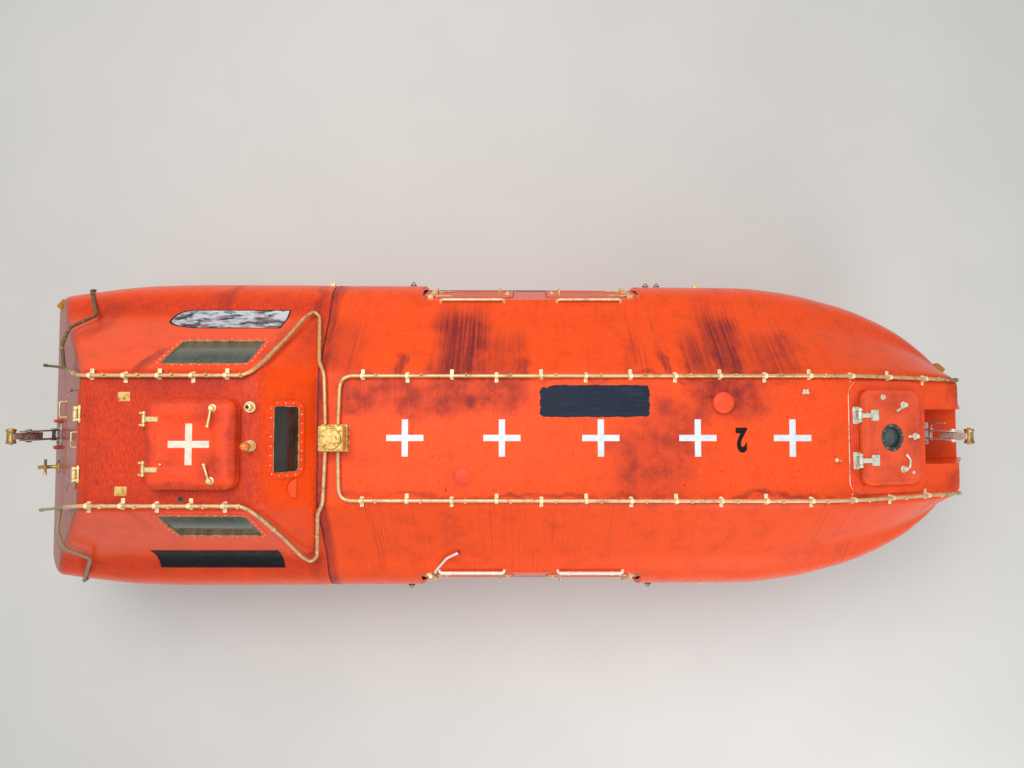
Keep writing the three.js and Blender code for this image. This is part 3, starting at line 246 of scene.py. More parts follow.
cloth = cloud(gelcoat, 26, 3, 0.6, stretch=(3.0, 0.9, 0.9))
fade = ramp(gelcoat, facing, 0.45, 0.97)
fade = times(gelcoat, fade, ramp(gelcoat, mottle, 0.25, 0.62, 0.7, 1.15))
fade = times(gelcoat, fade, given["Fading"], clamp=True)
colour = blend_colour(gelcoat, fade, given["Fresh"], given["Faded"])
tone = times(gelcoat, ramp(gelcoat, cloth, 0.3, 0.72), given["Weave"])
tone = times(gelcoat, tone, ramp(gelcoat, facing, 0.3, 0.9, 0.25, 1.0))
colour = blend_colour(gelcoat, times(gelcoat, tone, 0.3), colour, linear("#ef5f30"))
colour = blend_colour(gelcoat, ramp(gelcoat, blotch, 0.46, 0.76, 0.0, 0.26), colour, given["Dirt"])
fleck = ramp(gelcoat, grain, 0.52, 0.70, 0.0, 0.20)
colour = blend_colour(gelcoat, times(gelcoat, fleck, ramp(gelcoat, facing, 0.3, 0.9)), colour, given["Dirt"])
slope = times(gelcoat, ramp(gelcoat, facing, 0.08, 0.4), ramp(gelcoat, facing, 0.86, 0.97, 1.0, 0.0))
across = cloud(gelcoat, 1, 6, 0.74, stretch=(50, 0.8, 0.8))
along = cloud(gelcoat, 1, 5, 0.68, stretch=(1.4, 38, 1.4))
line = plus(gelcoat, times(gelcoat, across, minus(gelcoat, 1.0, endwise)), times(gelcoat, along, endwise))
thin = times(gelcoat, ramp(gelcoat, line, 0.52, 0.72), slope)
patchy = ramp(gelcoat, cloud(gelcoat, 0.9, 4, 0.6, stretch=(2, 0.7, 0.7), shift=(0, 0, 4)), 0.38, 0.66)
clear = minus(gelcoat, 1.0, given["Dulled"])
thin = times(gelcoat, times(gelcoat, thin, clear), times(gelcoat, patchy, given["Streaks"]))
colour = blend_colour(gelcoat, times(gelcoat, thin, 0.75), colour, given["Dirt"])
lined = plus(gelcoat, times(gelcoat, slope, 0.6), 0.2)
ragged = plus(gelcoat, times(gelcoat, blotch, minus(gelcoat, 1.0, lined)), times(gelcoat, line, lined))
ragged = ramp(gelcoat, ragged, 0.36, 0.64, 0.42, 1.08)
# On the canopy the Stain mask also carries painted shade, along the seam and beside the pipes.
stain = times(gelcoat, given["Stain"], ragged, clamp=True)
colour = blend_colour(gelcoat, stain, colour, given["Dirt"])
dulled = times(gelcoat, given["Dulled"], ramp(gelcoat, blotch, 0.30, 0.62, 1.0, 0.72))
colour = blend_colour(gelcoat, dulled, colour, given["Dull"])
speck = ramp(gelcoat, cloud(gelcoat, 34, 2, 0.4), 0.735, 0.77)
colour = blend_colour(gelcoat, times(gelcoat, speck, 0.7), colour, linear("#4a1c1a"))
gelcoat.links.new(colour, gives["Color"])
shine = ramp(gelcoat, fade, 0.0, 1.0, 0.26, 0.47)
shine = plus(gelcoat, shine, times(gelcoat, plus(gelcoat, stain, thin), 0.22))
shine = plus(gelcoat, shine, ramp(gelcoat, grain, 0.3, 0.7, -0.05, 0.05), clamp=True)
gelcoat.links.new(shine, gives["Roughness"])
relief = plus(gelcoat, times(gelcoat, grain, 0.5), times(gelcoat, cloth, given["Weave"]))
gelcoat.links.new(relief, gives["Height"])


def gelcoat_paint(name, fading, streaks, weave=1.0, fresh=GELCOAT_ORANGE, faded=GELCOAT_FADED, stain=None,
                  dulling=None):
    """Weathered gelcoat for one moulding. `stain` and `dulling` are functions that build masks."""
    material, tree, shader = new_material(name, "#e0491f")
    made = use_group(tree, gelcoat, Fresh=fresh, Faded=faded, Fading=fading, Streaks=streaks, Weave=weave,
                     Stain=stain(tree) if stain else 0.0, Dulled=dulling(tree) if dulling else 0.0)
    dress(tree, shader, made["Color"], made["Roughness"])
    rough_bump(tree, shader, made["Height"], 0.12, 0.0012)
    shader.inputs["Specular IOR Level"].default_value = 0.14
    return material


def rounded(points, before, after, steps, guard=0.004):
    """A polyline whose corners are replaced by parabolic turns.

    A turn leaves the line at A, `before` metres ahead of its corner P, and meets it again at B, `after`
    metres past it, as (1-t)^2 A + 2t(1-t) P + t^2 B. A guard point on each side keeps the straights flat."""
    points = np.asarray(points, float)
    rows = [points[..., :1, :]]
    for i in range(1, points.shape[-2] - 1):
        corner = points[..., i, :]
        if not steps[i]:
            rows.append(corner[..., None, :])
            continue
        into = points[..., i - 1, :] - corner
        out = points[..., i + 1, :] - corner
        into = into / np.linalg.norm(into, axis=-1, keepdims=True)
        out = out / np.linalg.norm(out, axis=-1, keepdims=True)
        a = corner + into * np.asarray(before[i])[..., None]
        b = corner + out * np.asarray(after[i])[..., None]
        t = np.linspace(0, 1, steps[i])[:, None]
        turn = ((1 - t) ** 2 * a[..., None, :] + 2 * t * (1 - t) * corner[..., None, :]
                + t ** 2 * b[..., None, :])
        rows += [(a + into * guard)[..., None, :], turn, (b + out * guard)[..., None, :]]
    rows.append(points[..., -1:, :])
    return np.concatenate(rows, axis=-2)


def strip(rings, along=False, ends=True):
    """The skin over a grid of points [ring, place, xyz], as (points, faces).

    Each face joins place j and j+1 of ring i and i+1, and the last place joins the first. `along` joins
    the last ring to the first, and `ends` lays a fan from its middle over each end."""
    count, places, _ = rings.shape
    points = rings.reshape(-1, 3)
    i = np.arange(count if along else count - 1)[:, None]
    j = np.arange(places)[None, :]
    here = i * places
    there = (i + 1) % count * places
    right = (j + 1) % places
    faces = np.stack([here + j, here + right, there + right, there + j], -1).reshape(-1, 4).tolist()
    if ends and not along:
        first, last = len(points), len(points) + 1
        points = np.concatenate([points, rings[:1].mean(1), rings[-1:].mean(1)])
        j = np.arange(places)
        right = (j + 1) % places
        base = (count - 1) * places
        faces += np.stack([np.full(places, first), right, j], -1).tolist()
        faces += np.stack([np.full(places, last), base + j, base + right], -1).tolist()
    return points, faces


SMOOTH_TURN = 32


def shaded(mesh, turn=SMOOTH_TURN):
    """A mesh made smooth but for the edges that turn by more than so many degrees."""
    mesh.shade_smooth()
    mesh.set_sharp_from_angle(angle=math.radians(turn))
    return mesh


def mesh_of(name, parts, material, smooth=SMOOTH_TURN):
    """One mesh from several (points, faces), smooth but for edges that turn by more than `smooth` degrees."""
    starts = np.cumsum([0] + [len(points) for points, _ in parts[:-1]])
    points = np.concatenate([points for points, _ in parts])
    faces = [[v + int(start) for v in face] for start, (_, part) in zip(starts, parts) for face in part]
    mesh = bpy.data.meshes.new(name)
    mesh.from_pydata(points.tolist(), [], faces)
    mesh.materials.append(material)
    return shaded(mesh, smooth)


def piece(name, parts, material, body, replaces=(), smooth=SMOOTH_TURN):
    """A finished piece of the boat: its mesh, the body it rides on and the solids it stands for."""
    mesh = parts if isinstance(parts, bpy.types.Mesh) else mesh_of(name, parts, material, smooth)
    made = add_object(name, mesh)
    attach(made, body)
    if replaces:
        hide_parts(*replaces)
    return made


def cut(base, steps, name, material):
    """A solid after a list of (operation, solid) cuts and joins, as a mesh."""
    whole = add_object(name, mesh_of(name, [base], material))
    tools = []
    for i, (operation, tool) in enumerate(steps):
        shape = tool if isinstance(tool, bpy.types.Mesh) else mesh_of(f"{name}_tool_{i}", [tool], material)
        other = add_object(f"{name}_tool_{i}", shape)
        modifier = whole.modifiers.new(operation, "BOOLEAN")
        modifier.operation = operation
        modifier.solver = "MANIFOLD"
        modifier.object = other
        tools.append(other)
    mesh = bpy.data.meshes.new_from_object(whole.evaluated_get(bpy.context.evaluated_depsgraph_get()))
    for other in [whole, *tools]:
        bpy.data.objects.remove(other)
    mesh.name = name
    mesh.validate()
    return shaded(mesh)


def faired(table, column, x):
    """A column of a station table at x, on a smooth curve through the stations that never overshoots them.

    Between stations it is the cubic whose slope at each station is the harmonic mean of the slopes beside it,
    or level where they differ in sign."""
    at, value = table[:, 0], table[:, column]
    slope = np.diff(value) / np.diff(at)
    product = slope[:-1] * slope[1:]
    safe = np.where(product > 0, slope[:-1] + slope[1:], 1)
    inner = np.where(product > 0, 2 * product / safe, 0)
    tangent = np.concatenate([slope[:1], inner, slope[-1:]])
    x = np.clip(x, at[0], at[-1])
    i = np.clip(np.searchsorted(at, x) - 1, 0, len(slope) - 1)
    width = at[i + 1] - at[i]
    t = (x - at[i]) / width
    return (value[i] * (1 + 2 * t) * (1 - t) ** 2 + tangent[i] * width * t * (1 - t) ** 2
            + value[i + 1] * t * t * (3 - 2 * t) + tangent[i + 1] * width * t * t * (t - 1))


def gunwale(x):
    """Half breadth at the gunwale."""
    return faired(HULL_STATIONS, 1, x)


def both_sides(half):
    """Whole rings from port halves that start and end on the centreline."""
    return np.concatenate([half, half[:, -2:0:-1] * (1, -1, 1)], axis=1)


def hull_rings(x, wall=0.0):
    """Rings of the hull at each x: keel line, rise of floor, a parabolic bilge, topsides and gunwale."""
    g, bilge_y, bilge_z, keel_z = (faired(HULL_STATIONS, c, x) for c in (1, 2, 3, 4))
    top = GUNWALE_Z + (0.05 if wall else 0)
    nothing = np.zeros_like(x)
    floor_y = bilge_y * 0.55 - wall * 0.4
    floor_z = keel_z + (bilge_z - keel_z) * 0.35 + wall
    upper_y = bilge_y + (g - bilge_y) * 0.6 - wall
    upper_z = bilge_z + (GUNWALE_Z - bilge_z) * 0.42
    corners = np.stack([
        np.stack([nothing, keel_z + wall], -1), np.stack([floor_y, floor_z], -1),
        np.stack([bilge_y - wall * 0.6, bilge_z - 0.02 + wall * 0.5], -1),
        np.stack([upper_y, upper_z], -1), np.stack([g - wall, nothing + GUNWALE_Z - 0.045], -1),
        np.stack([g - wall, nothing + top], -1), np.stack([nothing, nothing + top], -1),
    ], axis=-2)
    reach = np.linalg.norm(np.diff(corners, axis=-2), axis=-1)
    turned = rounded(corners, [0, 0, reach[:, 1] * 0.97, 0, 0.01, 0, 0],
                     [0, 0, reach[:, 2] * 0.9, 0, 0.01, 0, 0], [0, 0, 18, 0, 4, 0, 0], guard=0.002)
    half = np.concatenate([np.broadcast_to(x[:, None, None], (*turned.shape[:2], 1)), turned], axis=-1)
    return both_sides(half)


def hull_marks(tree):
    """Scum along the waterline, and a darkening that grows upwards to just under the fender."""
    height = axes_of(tree)["Z"]
    waterline = hump(tree, height, 0.72, 0.05, 0.22)
    below_fender = ramp(tree, height, 0.95, 1.28)
    return plus(tree, times(tree, waterline, 0.3), times(tree, below_fender, 0.35))


def drawn_in(ring, distance, fixed_z):
    """A ring moved inwards in y and z, square to its own outline, but not up or down near a fixed level."""
    tangent = np.roll(ring, -1, 0) - np.roll(ring, 1, 0)
    tangent = tangent[:, 1:] / np.maximum(np.linalg.norm(tangent[:, 1:], axis=1, keepdims=True), 1e-9)
    free = np.clip(np.abs(ring[:, 2] - fixed_z) / 0.12, 0, 1)
    moved = ring.copy()
    moved[:, 1] -= tangent[:, 1] * distance
    moved[:, 2] += tangent[:, 0] * distance * free
    return moved


def eased_end(rings, radius, rake, fixed_z, steps=6):
    """Rings with a rounded first end: drawn in as a quarter turn, they reach one radius further aft.

    `rake` gives the end face's x at a height, so that the turn keeps to a face that leans."""
    ends = []
    for a in np.linspace(0, np.pi / 2, steps)[:-1]:
        ring = drawn_in(rings[0], radius * (1 - math.sin(a)), fixed_z)
        ring[:, 0] = rings[0][:, 0] + rake(ring[:, 2]) - rake(rings[0][:, 2]) - radius * math.cos(a)
        ends.append(ring)
    return np.concatenate([np.array(ends), rings])


def laddered(rings):
    """A skin over rings whose leaning first end is a face of level rungs from port to starboard."""
    points, faces = strip(rings, ends=False)
    places = rings.shape[1]
    half = places // 2
    j = np.arange(half)
    low = (places - j) % places
    high = places - j - 1
    rungs = np.stack([low, high, j + 1, j], -1).tolist()
    faces += [list(dict.fromkeys(rung)) for rung in rungs]
    last = (rings.shape[0] - 1) * places
    faces.append([last + k for k in range(places)])
    return points, faces


TRANSOM_EASE = 0.06
hull_x = np.unique(np.concatenate([np.linspace(-4.8 + TRANSOM_EASE, 3.0, 70), np.linspace(3.0, 4.44, 46)]))
hull_outer = strip(eased_end(hull_rings(hull_x), TRANSOM_EASE, np.zeros_like, GUNWALE_Z))
hull_inner = strip(hull_rings(np.linspace(-4.8 + HULL_WALL, CABIN_END_X, 40), HULL_WALL))
hull_paint = gelcoat_paint("orange_hull", fading=0.2, streaks=0.4, stain=hull_marks)
piece("hull_shell", cut(hull_outer, [("DIFFERENCE", hull_inner)], "hull_shell", hull_paint), hull_paint,
      "boat", ["hull"])

# Keel, shoe and bilge runners
# The solid keel under the hull, its steel shoe, and the two runners that the boat stands on ashore. They are
# bonded under the hull, painted like it, and darker towards the bottom.


def from_solid(name, bevel, steps):
    """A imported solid's shape, its triangles joined, its flat faces made whole and its edges rounded."""
    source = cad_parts[name]
    shape = bmesh.new()
    shape.from_mesh(source.data)
    bmesh.ops.remove_doubles(shape, verts=shape.verts, dist=0.0002)
    bmesh.ops.dissolve_limit(shape, angle_limit=math.radians(1), verts=shape.verts, edges=shape.edges)
    edges = [edge for edge in shape.edges if edge.is_manifold and edge.calc_face_angle(0) > math.radians(30)]
    bmesh.ops.bevel(shape, geom=edges, offset=bevel, offset_type="OFFSET", segments=steps, profile=0.6,
                    affect="EDGES", clamp_overlap=True)
    bmesh.ops.triangulate(shape, faces=[face for face in shape.faces if len(face.verts) > 4])
    mesh = bpy.data.meshes.new(name + "_finished")
    shape.to_mesh(mesh)
    shape.free()
    mesh.materials.clear()
    return shaded(mesh)


def finished(name, material, body, bevel=0.004, steps=2):
    """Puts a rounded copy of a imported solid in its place."""
    mesh = from_solid(name, bevel, steps)
    mesh.materials.append(material)
    return piece(name + "_finished", mesh, material, body, [name])


def keel_marks(tree):
    """Darker towards the bottom of the keel and the runners, fading upwards."""
    height = axes_of(tree)["Z"]
    return ramp(tree, height, 0.05, 0.4, 0.7, 0.2)


# Painted or bare metal that has tarnished: a clean colour, a film of tarnish over it, and crusts where salt
# and rust have built up. The group gives colour, roughness, metal and height.
metalwork, given, gives = new_group("tarnished_metal", [
    ("Color", "Clean", (0.5, 0.4, 0.2, 1)), ("Color", "Tarnish", (0.2, 0.15, 0.1, 1)),
    ("Color", "Crust", (0.3, 0.3, 0.2, 1)), ("Float", "Tarnished", 0.5), ("Float", "Crusted", 0.2),
    ("Float", "Polish", 0.3), ("Float", "Bareness", 1.0),
], [("Color", "Color"), ("Float", "Roughness"), ("Float", "Metallic"), ("Float", "Height")])
film = cloud(metalwork, 16, 6, 0.62)
spots = cloud(metalwork, 75, 4, 0.6)
lumps = cloud(metalwork, 38, 5, 0.7, shift=(2, 5, 1))
film = plus(metalwork, times(metalwork, film, 0.7), times(metalwork, spots, 0.3))
film = minus(metalwork, film, minus(metalwork, 1.0, given["Tarnished"]))
film = ramp(metalwork, film, -0.12, 0.12)
crust = ramp(metalwork, minus(metalwork, lumps, minus(metalwork, 1.0, given["Crusted"])), -0.08, 0.08)
colour = blend_colour(metalwork, film, given["Clean"], given["Tarnish"])
colour = blend_colour(metalwork, crust, colour, given["Crust"])
metalwork.links.new(colour, gives["Color"])
polish = plus(metalwork, given["Polish"], times(metalwork, film, 0.22))
polish = plus(metalwork, polish, times(metalwork, crust, 0.4), clamp=True)
metalwork.links.new(polish, gives["Roughness"])
bare = minus(metalwork, 1.0, times(metalwork, film, 0.45))
bare = times(metalwork, bare, minus(metalwork, 1.0, crust))
metalwork.links.new(times(metalwork, bare, given["Bareness"], clamp=True), gives["Metallic"])
metalwork.links.new(plus(metalwork, times(metalwork, crust, lumps),
                         times(metalwork, spots, 0.25)), gives["Height"])


def metal_paint(name, clean, tarnish, crust, tarnished, crusted, polish, bareness=1.0, relief=(0.5, 0.0015)):
    """A metal finish, from clean through tarnished to crusted. `crusted` is a share, or builds a mask."""
    material, tree, shader = new_material(name, clean)
    made = use_group(tree, metalwork, Clean=linear(clean), Tarnish=linear(tarnish), Crust=linear(crust),
                     Tarnished=tarnished, Crusted=crusted(tree) if callable(crusted) else crusted,
                     Polish=polish, Bareness=bareness)
    dress(tree, shader, made["Color"], made["Roughness"], made["Metallic"])
    rough_bump(tree, shader, made["Height"], *relief)
    return material


keel_paint = gelcoat_paint("orange_keel", fading=0.2, streaks=0.3, stain=keel_marks)
scraped_steel = metal_paint("scraped_steel", "#a3a5a6", "#6a4a35", "#7a3f22", 0.45, 0.42, 0.38)
finished("keel", keel_paint, "boat", 0.012, 3)
finished("bilge_runner_port", keel_paint, "boat", 0.01, 3)
finished("bilge_runner_starboard", keel_paint, "boat", 0.01, 3)
finished("keel_shoe", scraped_steel, "boat", 0.004)

# Gunwale fender
# A rubber bumper of D section, 45 mm thick, screwed round the joint of hull and canopy from bow to transom,
# with two grooves moulded along it.
FENDER_OUT = 0.045
FENDER_LOW = 1.262
FENDER_HIGH = 1.340


def swept_flat(path, profile):
    """A profile of (out, up) rows carried round a closed level path [place, (x, y)], square to it.

    At each point the way out is the mitre of the two sides' own normals, lengthened so that the profile
    keeps its thickness round a corner."""
    side = np.roll(path, -1, 0) - path
    side = side / np.linalg.norm(side, axis=1, keepdims=True)
    normal = np.stack([side[:, 1], -side[:, 0]], -1)
    before = np.roll(normal, 1, 0)
    out = (normal + before) / (1 + (normal * before).sum(1, keepdims=True))
    flat = path[:, None, :] + out[:, None, :] * profile[None, :, :1]
    height = np.broadcast_to(profile[None, :, 1:], (*flat.shape[:2], 1))
    return np.concatenate([flat, height], -1)


fender_x = np.concatenate([np.linspace(-4.8, 2.4, 60), np.linspace(2.45, 4.44, 50)])
fender_side = np.stack([fender_x, -gunwale(fender_x)], -1)
fender_turn = [0, TRANSOM_EASE * 1.2] + [0] * (len(fender_x) - 2) + [0.05, 0]
fender_half = rounded(np.concatenate([[(-4.8, 0)], fender_side, [(4.44, 0)]]), fender_turn + [0],
                      fender_turn + [0], [8 if reach else 0 for reach in fender_turn] + [0])
fender_path = np.concatenate([fender_half[:-1], fender_half[:0:-1] * (1, -1)])
groove = [(0, FENDER_LOW), (0.024, FENDER_LOW), (0.035, FENDER_LOW + 0.005), (0.042, FENDER_LOW + 0.013),
          (FENDER_OUT, FENDER_LOW + 0.022), (FENDER_OUT, FENDER_LOW + 0.026), (0.0415, FENDER_LOW + 0.0285),
          (0.0415, FENDER_LOW + 0.0305), (FENDER_OUT, FENDER_LOW + 0.033)]
profile = np.array(groove + [(out, FENDER_LOW + FENDER_HIGH - up) for out, up in groove[::-1]]) + (GAP, 0)


def rubber_paint(name, colour="#1f1f21", worn="#4b4a4a"):
    """Black rubber, chalky with age."""
    material, tree, shader = new_material(name, colour, 0.75)
    chalk = ramp(tree, cloud(tree, 9, 6, 0.65), 0.42, 0.72)
    fine = cloud(tree, 160, 3, 0.6)
    dress(tree, shader, blend_colour(tree, chalk, linear(colour), linear(worn)),
          ramp(tree, fine, 0.2, 0.8, 0.6, 0.9))
    rough_bump(tree, shader, fine, 0.3, 0.0006)
    return material


rubber = rubber_paint("black_rubber")
fender_rings = swept_flat(fender_path, profile)
piece("fender_rubber", [strip(fender_rings, along=True, ends=False)], rubber, "boat",
      ["gunwale_fender"])

# Canopy
# The upper moulding, a hollow shell of 32 mm wall bonded along the gunwale. Its deck is flat, its sides fall
# to a shoulder and turn down to the gunwale, and two flats are let into each side for the doors.
CANOPY_WALL = 0.032
WIDEST_Z = 1.6
SHOULDER_Y = 1.1
SHOULDER_Z = 2.21
DECK_Z = 2.75
SEAM_X = -1.66
SEAM_RAKE = 0.113
CANOPY_STATIONS = np.array([
    # x, widest half breadth, shoulder half breadth and height, deck edge half breadth and height
    (-1.90, 1.500, 1.100, 2.210, 0.560, 2.750),
    (-1.66, 1.498, 1.100, 2.210, 0.560, 2.750),
    (1.40, 1.478, 1.100, 2.210, 0.560, 2.750),
    (2.20, 1.470, 1.085, 2.210, 0.560, 2.750),
    (2.48, 1.444, 1.060, 2.205, 0.560, 2.749),
    (2.74, 1.404, 1.030, 2.190, 0.560, 2.724),
    (2.99, 1.343, 0.990, 2.160, 0.558, 2.661),
    (3.24, 1.272, 0.940, 2.120, 0.552, 2.585),
    (3.50, 1.166, 0.870, 2.070, 0.543, 2.505),
    (3.75, 1.034, 0.780, 2.010, 0.530, 2.429),
    (3.95, 0.884, 0.690, 1.950, 0.505, 2.368),
    (4.10, 0.765, 0.590, 1.880, 0.450, 2.150),
    (4.26, 0.608, 0.470, 1.790, 0.370, 1.915),
    (4.40, 0.420, 0.330, 1.690, 0.270, 1.725),
    (4.48, 0.285, 0.235, 1.625, 0.180, 1.640),
])


def top_half(g, widest, shoulder, edge, wall=0.0, fine=True):
    """Half of a canopy or wheelhouse section, as [.., place, (y, z)] from the bottom up.

    It runs up the gunwale, out to the widest line, over a parabolic turn to the shoulder, up the slope to the
    edge of the deck or roof, and in to the centreline. The shoulder and the edge are eased by small turns."""
    nothing = np.zeros_like(g)
    bottom = nothing + (GUNWALE_Z - 0.05 if wall else GUNWALE_Z + GAP)
    shoulder_y = shoulder[0] - wall * 0.7
    shoulder_z = shoulder[1] - wall * 0.8
    turn_y = widest - wall - (widest - shoulder[0]) * 0.1
    turn_z = WIDEST_Z + (shoulder[1] - WIDEST_Z) * 0.68 - wall * 0.4
    corners = np.stack([
        np.stack([nothing, bottom], -1), np.stack([g - wall, bottom], -1),
        np.stack([g - wall, nothing + GUNWALE_Z + 0.045], -1),
        np.stack([nothing + widest - wall - 0.008, nothing + WIDEST_Z - 0.14], -1),
        np.stack([nothing + widest - wall, nothing + WIDEST_Z], -1),
        np.stack([nothing + turn_y, nothing + turn_z], -1),
        np.stack([nothing + shoulder_y, nothing + shoulder_z], -1),
        np.stack([nothing + edge[0] - wall * 0.5, nothing + edge[1] - wall], -1),
        np.stack([nothing, nothing + edge[1] - wall], -1),
    ], axis=-2)
    reach = np.linalg.norm(np.diff(corners, axis=-2), axis=-1)
    ease = np.minimum(reach[..., 6] * 0.2, 0.07)
    over = np.minimum(0.08, reach[..., 5] * 0.25)
    before = [0, 0, 0, 0.03, 0, reach[..., 4] * 0.98, over, ease, 0]
    after = [0, 0, 0, 0.03, 0, reach[..., 5] * 0.72, np.minimum(0.09, reach[..., 6] * 0.25), ease, 0]
    steps = [0, 0, 0, 5, 0, 16, 7, 9, 0] if fine else [0, 0, 0, 0, 0, 5, 0, 0, 0]
    return rounded(corners, before, after, steps, guard=0.003)


def canopy_half(x, wall=0.0, fine=True):
    """Half sections of the canopy at each x."""
    widest, shoulder_y, shoulder_z, edge_y, edge_z = (faired(CANOPY_STATIONS, c, x) for c in range(1, 6))
    return top_half(gunwale(x), widest, (shoulder_y, shoulder_z), (edge_y, edge_z), wall, fine)


def seam_x(z, shift=0.0):
    """The canopy's raked aft edge, further aft the lower it is."""
    return SEAM_X + shift - SEAM_RAKE * (DECK_Z - z)


def canopy_rings(xs, wall=0.0, fine=True):
    """Rings from the raked seam to the bow, sheared into the seam over 0.5 m and then upright."""
    half = canopy_half(xs, wall, fine)
    z = half[..., 1]
    start = xs[0]
    lean = np.clip(1 - (xs - start) / 0.5, 0, 1)[:, None]
    x = xs[:, None] + lean * (seam_x(z, start - SEAM_X) - start)
    return both_sides(np.concatenate([x[..., None], half], axis=-1))


def panel(origin, along, normal):
    """A flat face's own frame: rows are its origin, its direction u, v = n x u, and its outward normal n."""
    u = np.array(along, float) / np.linalg.norm(along)
    n = np.array(normal, float) / np.linalg.norm(normal)
    return np.array([origin, u, np.cross(n, u), n], float)


def level_panel(x, y, z):
    """A level panel that faces up, its u forward."""
    return panel((x, y, z), (1, 0, 0), (0, 0, 1))


def on_panel(face, points):
    """Points (u, v, n) of a panel, in the boat's frame."""
    return face[0] + np.asarray(points, float) @ face[1:]


def outline(width, height, radius, steps=9):
    """A rounded rectangle about its middle, anticlockwise: four quarter turns and straight sides."""
    a = np.linspace(0, np.pi / 2, steps)
    turn = np.stack([np.cos(a), np.sin(a)], -1) * radius
    middle = np.array([width / 2 - radius, height / 2 - radius])
    quarter = [(1, 1, 0), (-1, 1, 1), (-1, -1, 2), (1, -1, 3)]
    sides = []
    for sx, sy, turns in quarter:
        c, s = math.cos(turns * math.pi / 2), math.sin(turns * math.pi / 2)
        sides.append(turn @ np.array([[c, s], [-s, c]]) + middle * (sx, sy))
    return np.concatenate(sides)


def stacked(face, centre, size, profile, steps=9, ring=False):
    """A form on a panel, as a rounded rectangle carried through a profile of (inset, lift) rows.

    Each row is the outline drawn in by its inset, at its lift off the panel. A ring joins the last row to the
    first, as a frame or gasket does; anything else is closed over its first and last rows."""
    width, height, radius = size
    rows = []
    for inset, lift in profile:
        flat = outline(width - 2 * inset, height - 2 * inset, max(radius - inset, 0.002), steps)
        rows.append(np.concatenate([flat + centre, np.full((len(flat), 1), lift)], -1))
    return strip(on_panel(face, np.array(rows)), along=ring, ends=not ring)


def slab_part(face, centre, size, low, high, ease=0.002, steps=5):
    """A plate on a panel from one lift to another, with its top edge rounded."""
    a = np.linspace(0, np.pi / 2, 4)
    top = [(ease * (1 - math.cos(t)), high - ease * (1 - math.sin(t))) for t in a]
    return stacked(face, centre, size, [(0, low), *top], steps)


def mirrored(part):
    """The same part on the other side of the boat, its faces turned round so that they still face out."""
    points, faces = part
    return points * (1, -1, 1), [face[::-1] for face in faces]


def box_part(low, high):
    """A plain block between two corners."""
    low, high = np.array(low, float), np.array(high, float)
    loop = np.array([(low[1], low[2]), (high[1], low[2]), (high[1], high[2]), (low[1], high[2])])
    rings = np.array([[(x, y, z) for y, z in loop] for x in (low[0], high[0])])
    return strip(rings)


RECESS_X = (-0.88, 1.18)
RECESS_TOP = (1.29, 2.05)
RECESS_BOTTOM = (1.5, 1.35)
recess_fall = np.subtract(RECESS_BOTTOM, RECESS_TOP)
recess_middle = np.add(RECESS_BOTTOM, RECESS_TOP) / 2
side_face = panel((0, *recess_middle), (1, 0, 0), (0, -recess_fall[1], recess_fall[0]))
recess_u = sum(RECESS_X) / 2
recess_width = RECESS_X[1] - RECESS_X[0]
DOOR_SIZE = (0.76, 0.56, 0.07)
DOOR_CLEARANCE = 0.007
DOORS = [
    # name, centre along the side, which end is hung (-1 aft, 1 forward)
    ("aft", -0.4, -1),
    ("fore", 0.695, 1),
]
WELL_X = 3.6
WELL_HALF = 0.24
WELL_FLOOR = 1.56
DECK_SLOPE = 0.3056
BOW_HOLE = (0.56, 0.744, 0.075)
bow_face = panel((3.2, 0, DECK_Z - DECK_SLOPE * 0.5), (1, 0, -DECK_SLOPE), (DECK_SLOPE, 0, 1))
deck_face = level_panel(0, 0, DECK_Z)
CANOPY_STAINS_AND_SHADE = [
    # along and across the boat, half length and half breadth, strength: dirt shed by pipes and fittings, and
    # beside the pipes partly painted shade
    (-0.48, 0.80, 0.24, 0.40, 1.0), (-0.10, 0.70, 0.20, 0.22, 0.5), (-0.42, 0.36, 0.50, 0.16, 0.8),
    (1.82, 0.78, 0.20, 0.34, 1.0), (1.58, 0.68, 0.10, 0.24, 0.8), (1.82, 0.36, 0.34, 0.20, 0.85),
    (-1.50, 0.78, 0.20, 0.30, 0.5), (-1.69, 1.10, 0.06, 0.55, 0.6), (-1.10, 0.38, 0.40, 0.17, 0.7),
    (1.14, -0.20, 0.34, 0.30, 0.6), (1.36, 0.08, 0.26, 0.28, 0.55), (0.98, 0.72, 0.08, 0.14, 0.4),
    (-0.99, 0.61, 0.06, 0.12, 0.8), (-0.24, 0.62, 0.06, 0.13, 0.75), (0.06, 0.61, 0.10, 0.10, 0.7),
    (1.27, 0.63, 0.04, 0.16, 0.7), (2.22, 0.70, 0.24, 0.24, 0.5), (1.74, 0.30, 0.13, 0.13, 0.8),
    (3.93, 0.42, 0.12, 0.10, 0.45), (3.95, -0.36, 0.14, 0.08, 0.45), (-0.55, -0.80, 0.10, 0.22, 0.15),
    # These two thin bands just inboard of the pipes are partly dirt and partly painted shade along the deck
    # edge beside the pipes.
    (1.0, 0.485, 2.6, 0.02, 0.45),
    (1.0, -0.485, 2.6, 0.02, 0.55),
]


def marks_from(table, warp=0.16):
    """A mask from a table of soft-edged patches, their edges pushed about by noise."""
    def build(tree):
        split = axes_of(tree)
        wobble = times(tree, minus(tree, cloud(tree, 3.2, 4), 0.5), warp * 2)
        x = plus(tree, split["X"], wobble)
        y = plus(tree, split["Y"], wobble)
        total = 0.0
        for along, across, half_x, half_y, strength in table:
            patch = times(tree, hump(tree, x, along, half_x * 0.45, half_x * 0.95),
                          hump(tree, y, across, half_y * 0.45, half_y * 0.95))
            total = most(tree, total, times(tree, patch, strength))
        return total
    return build


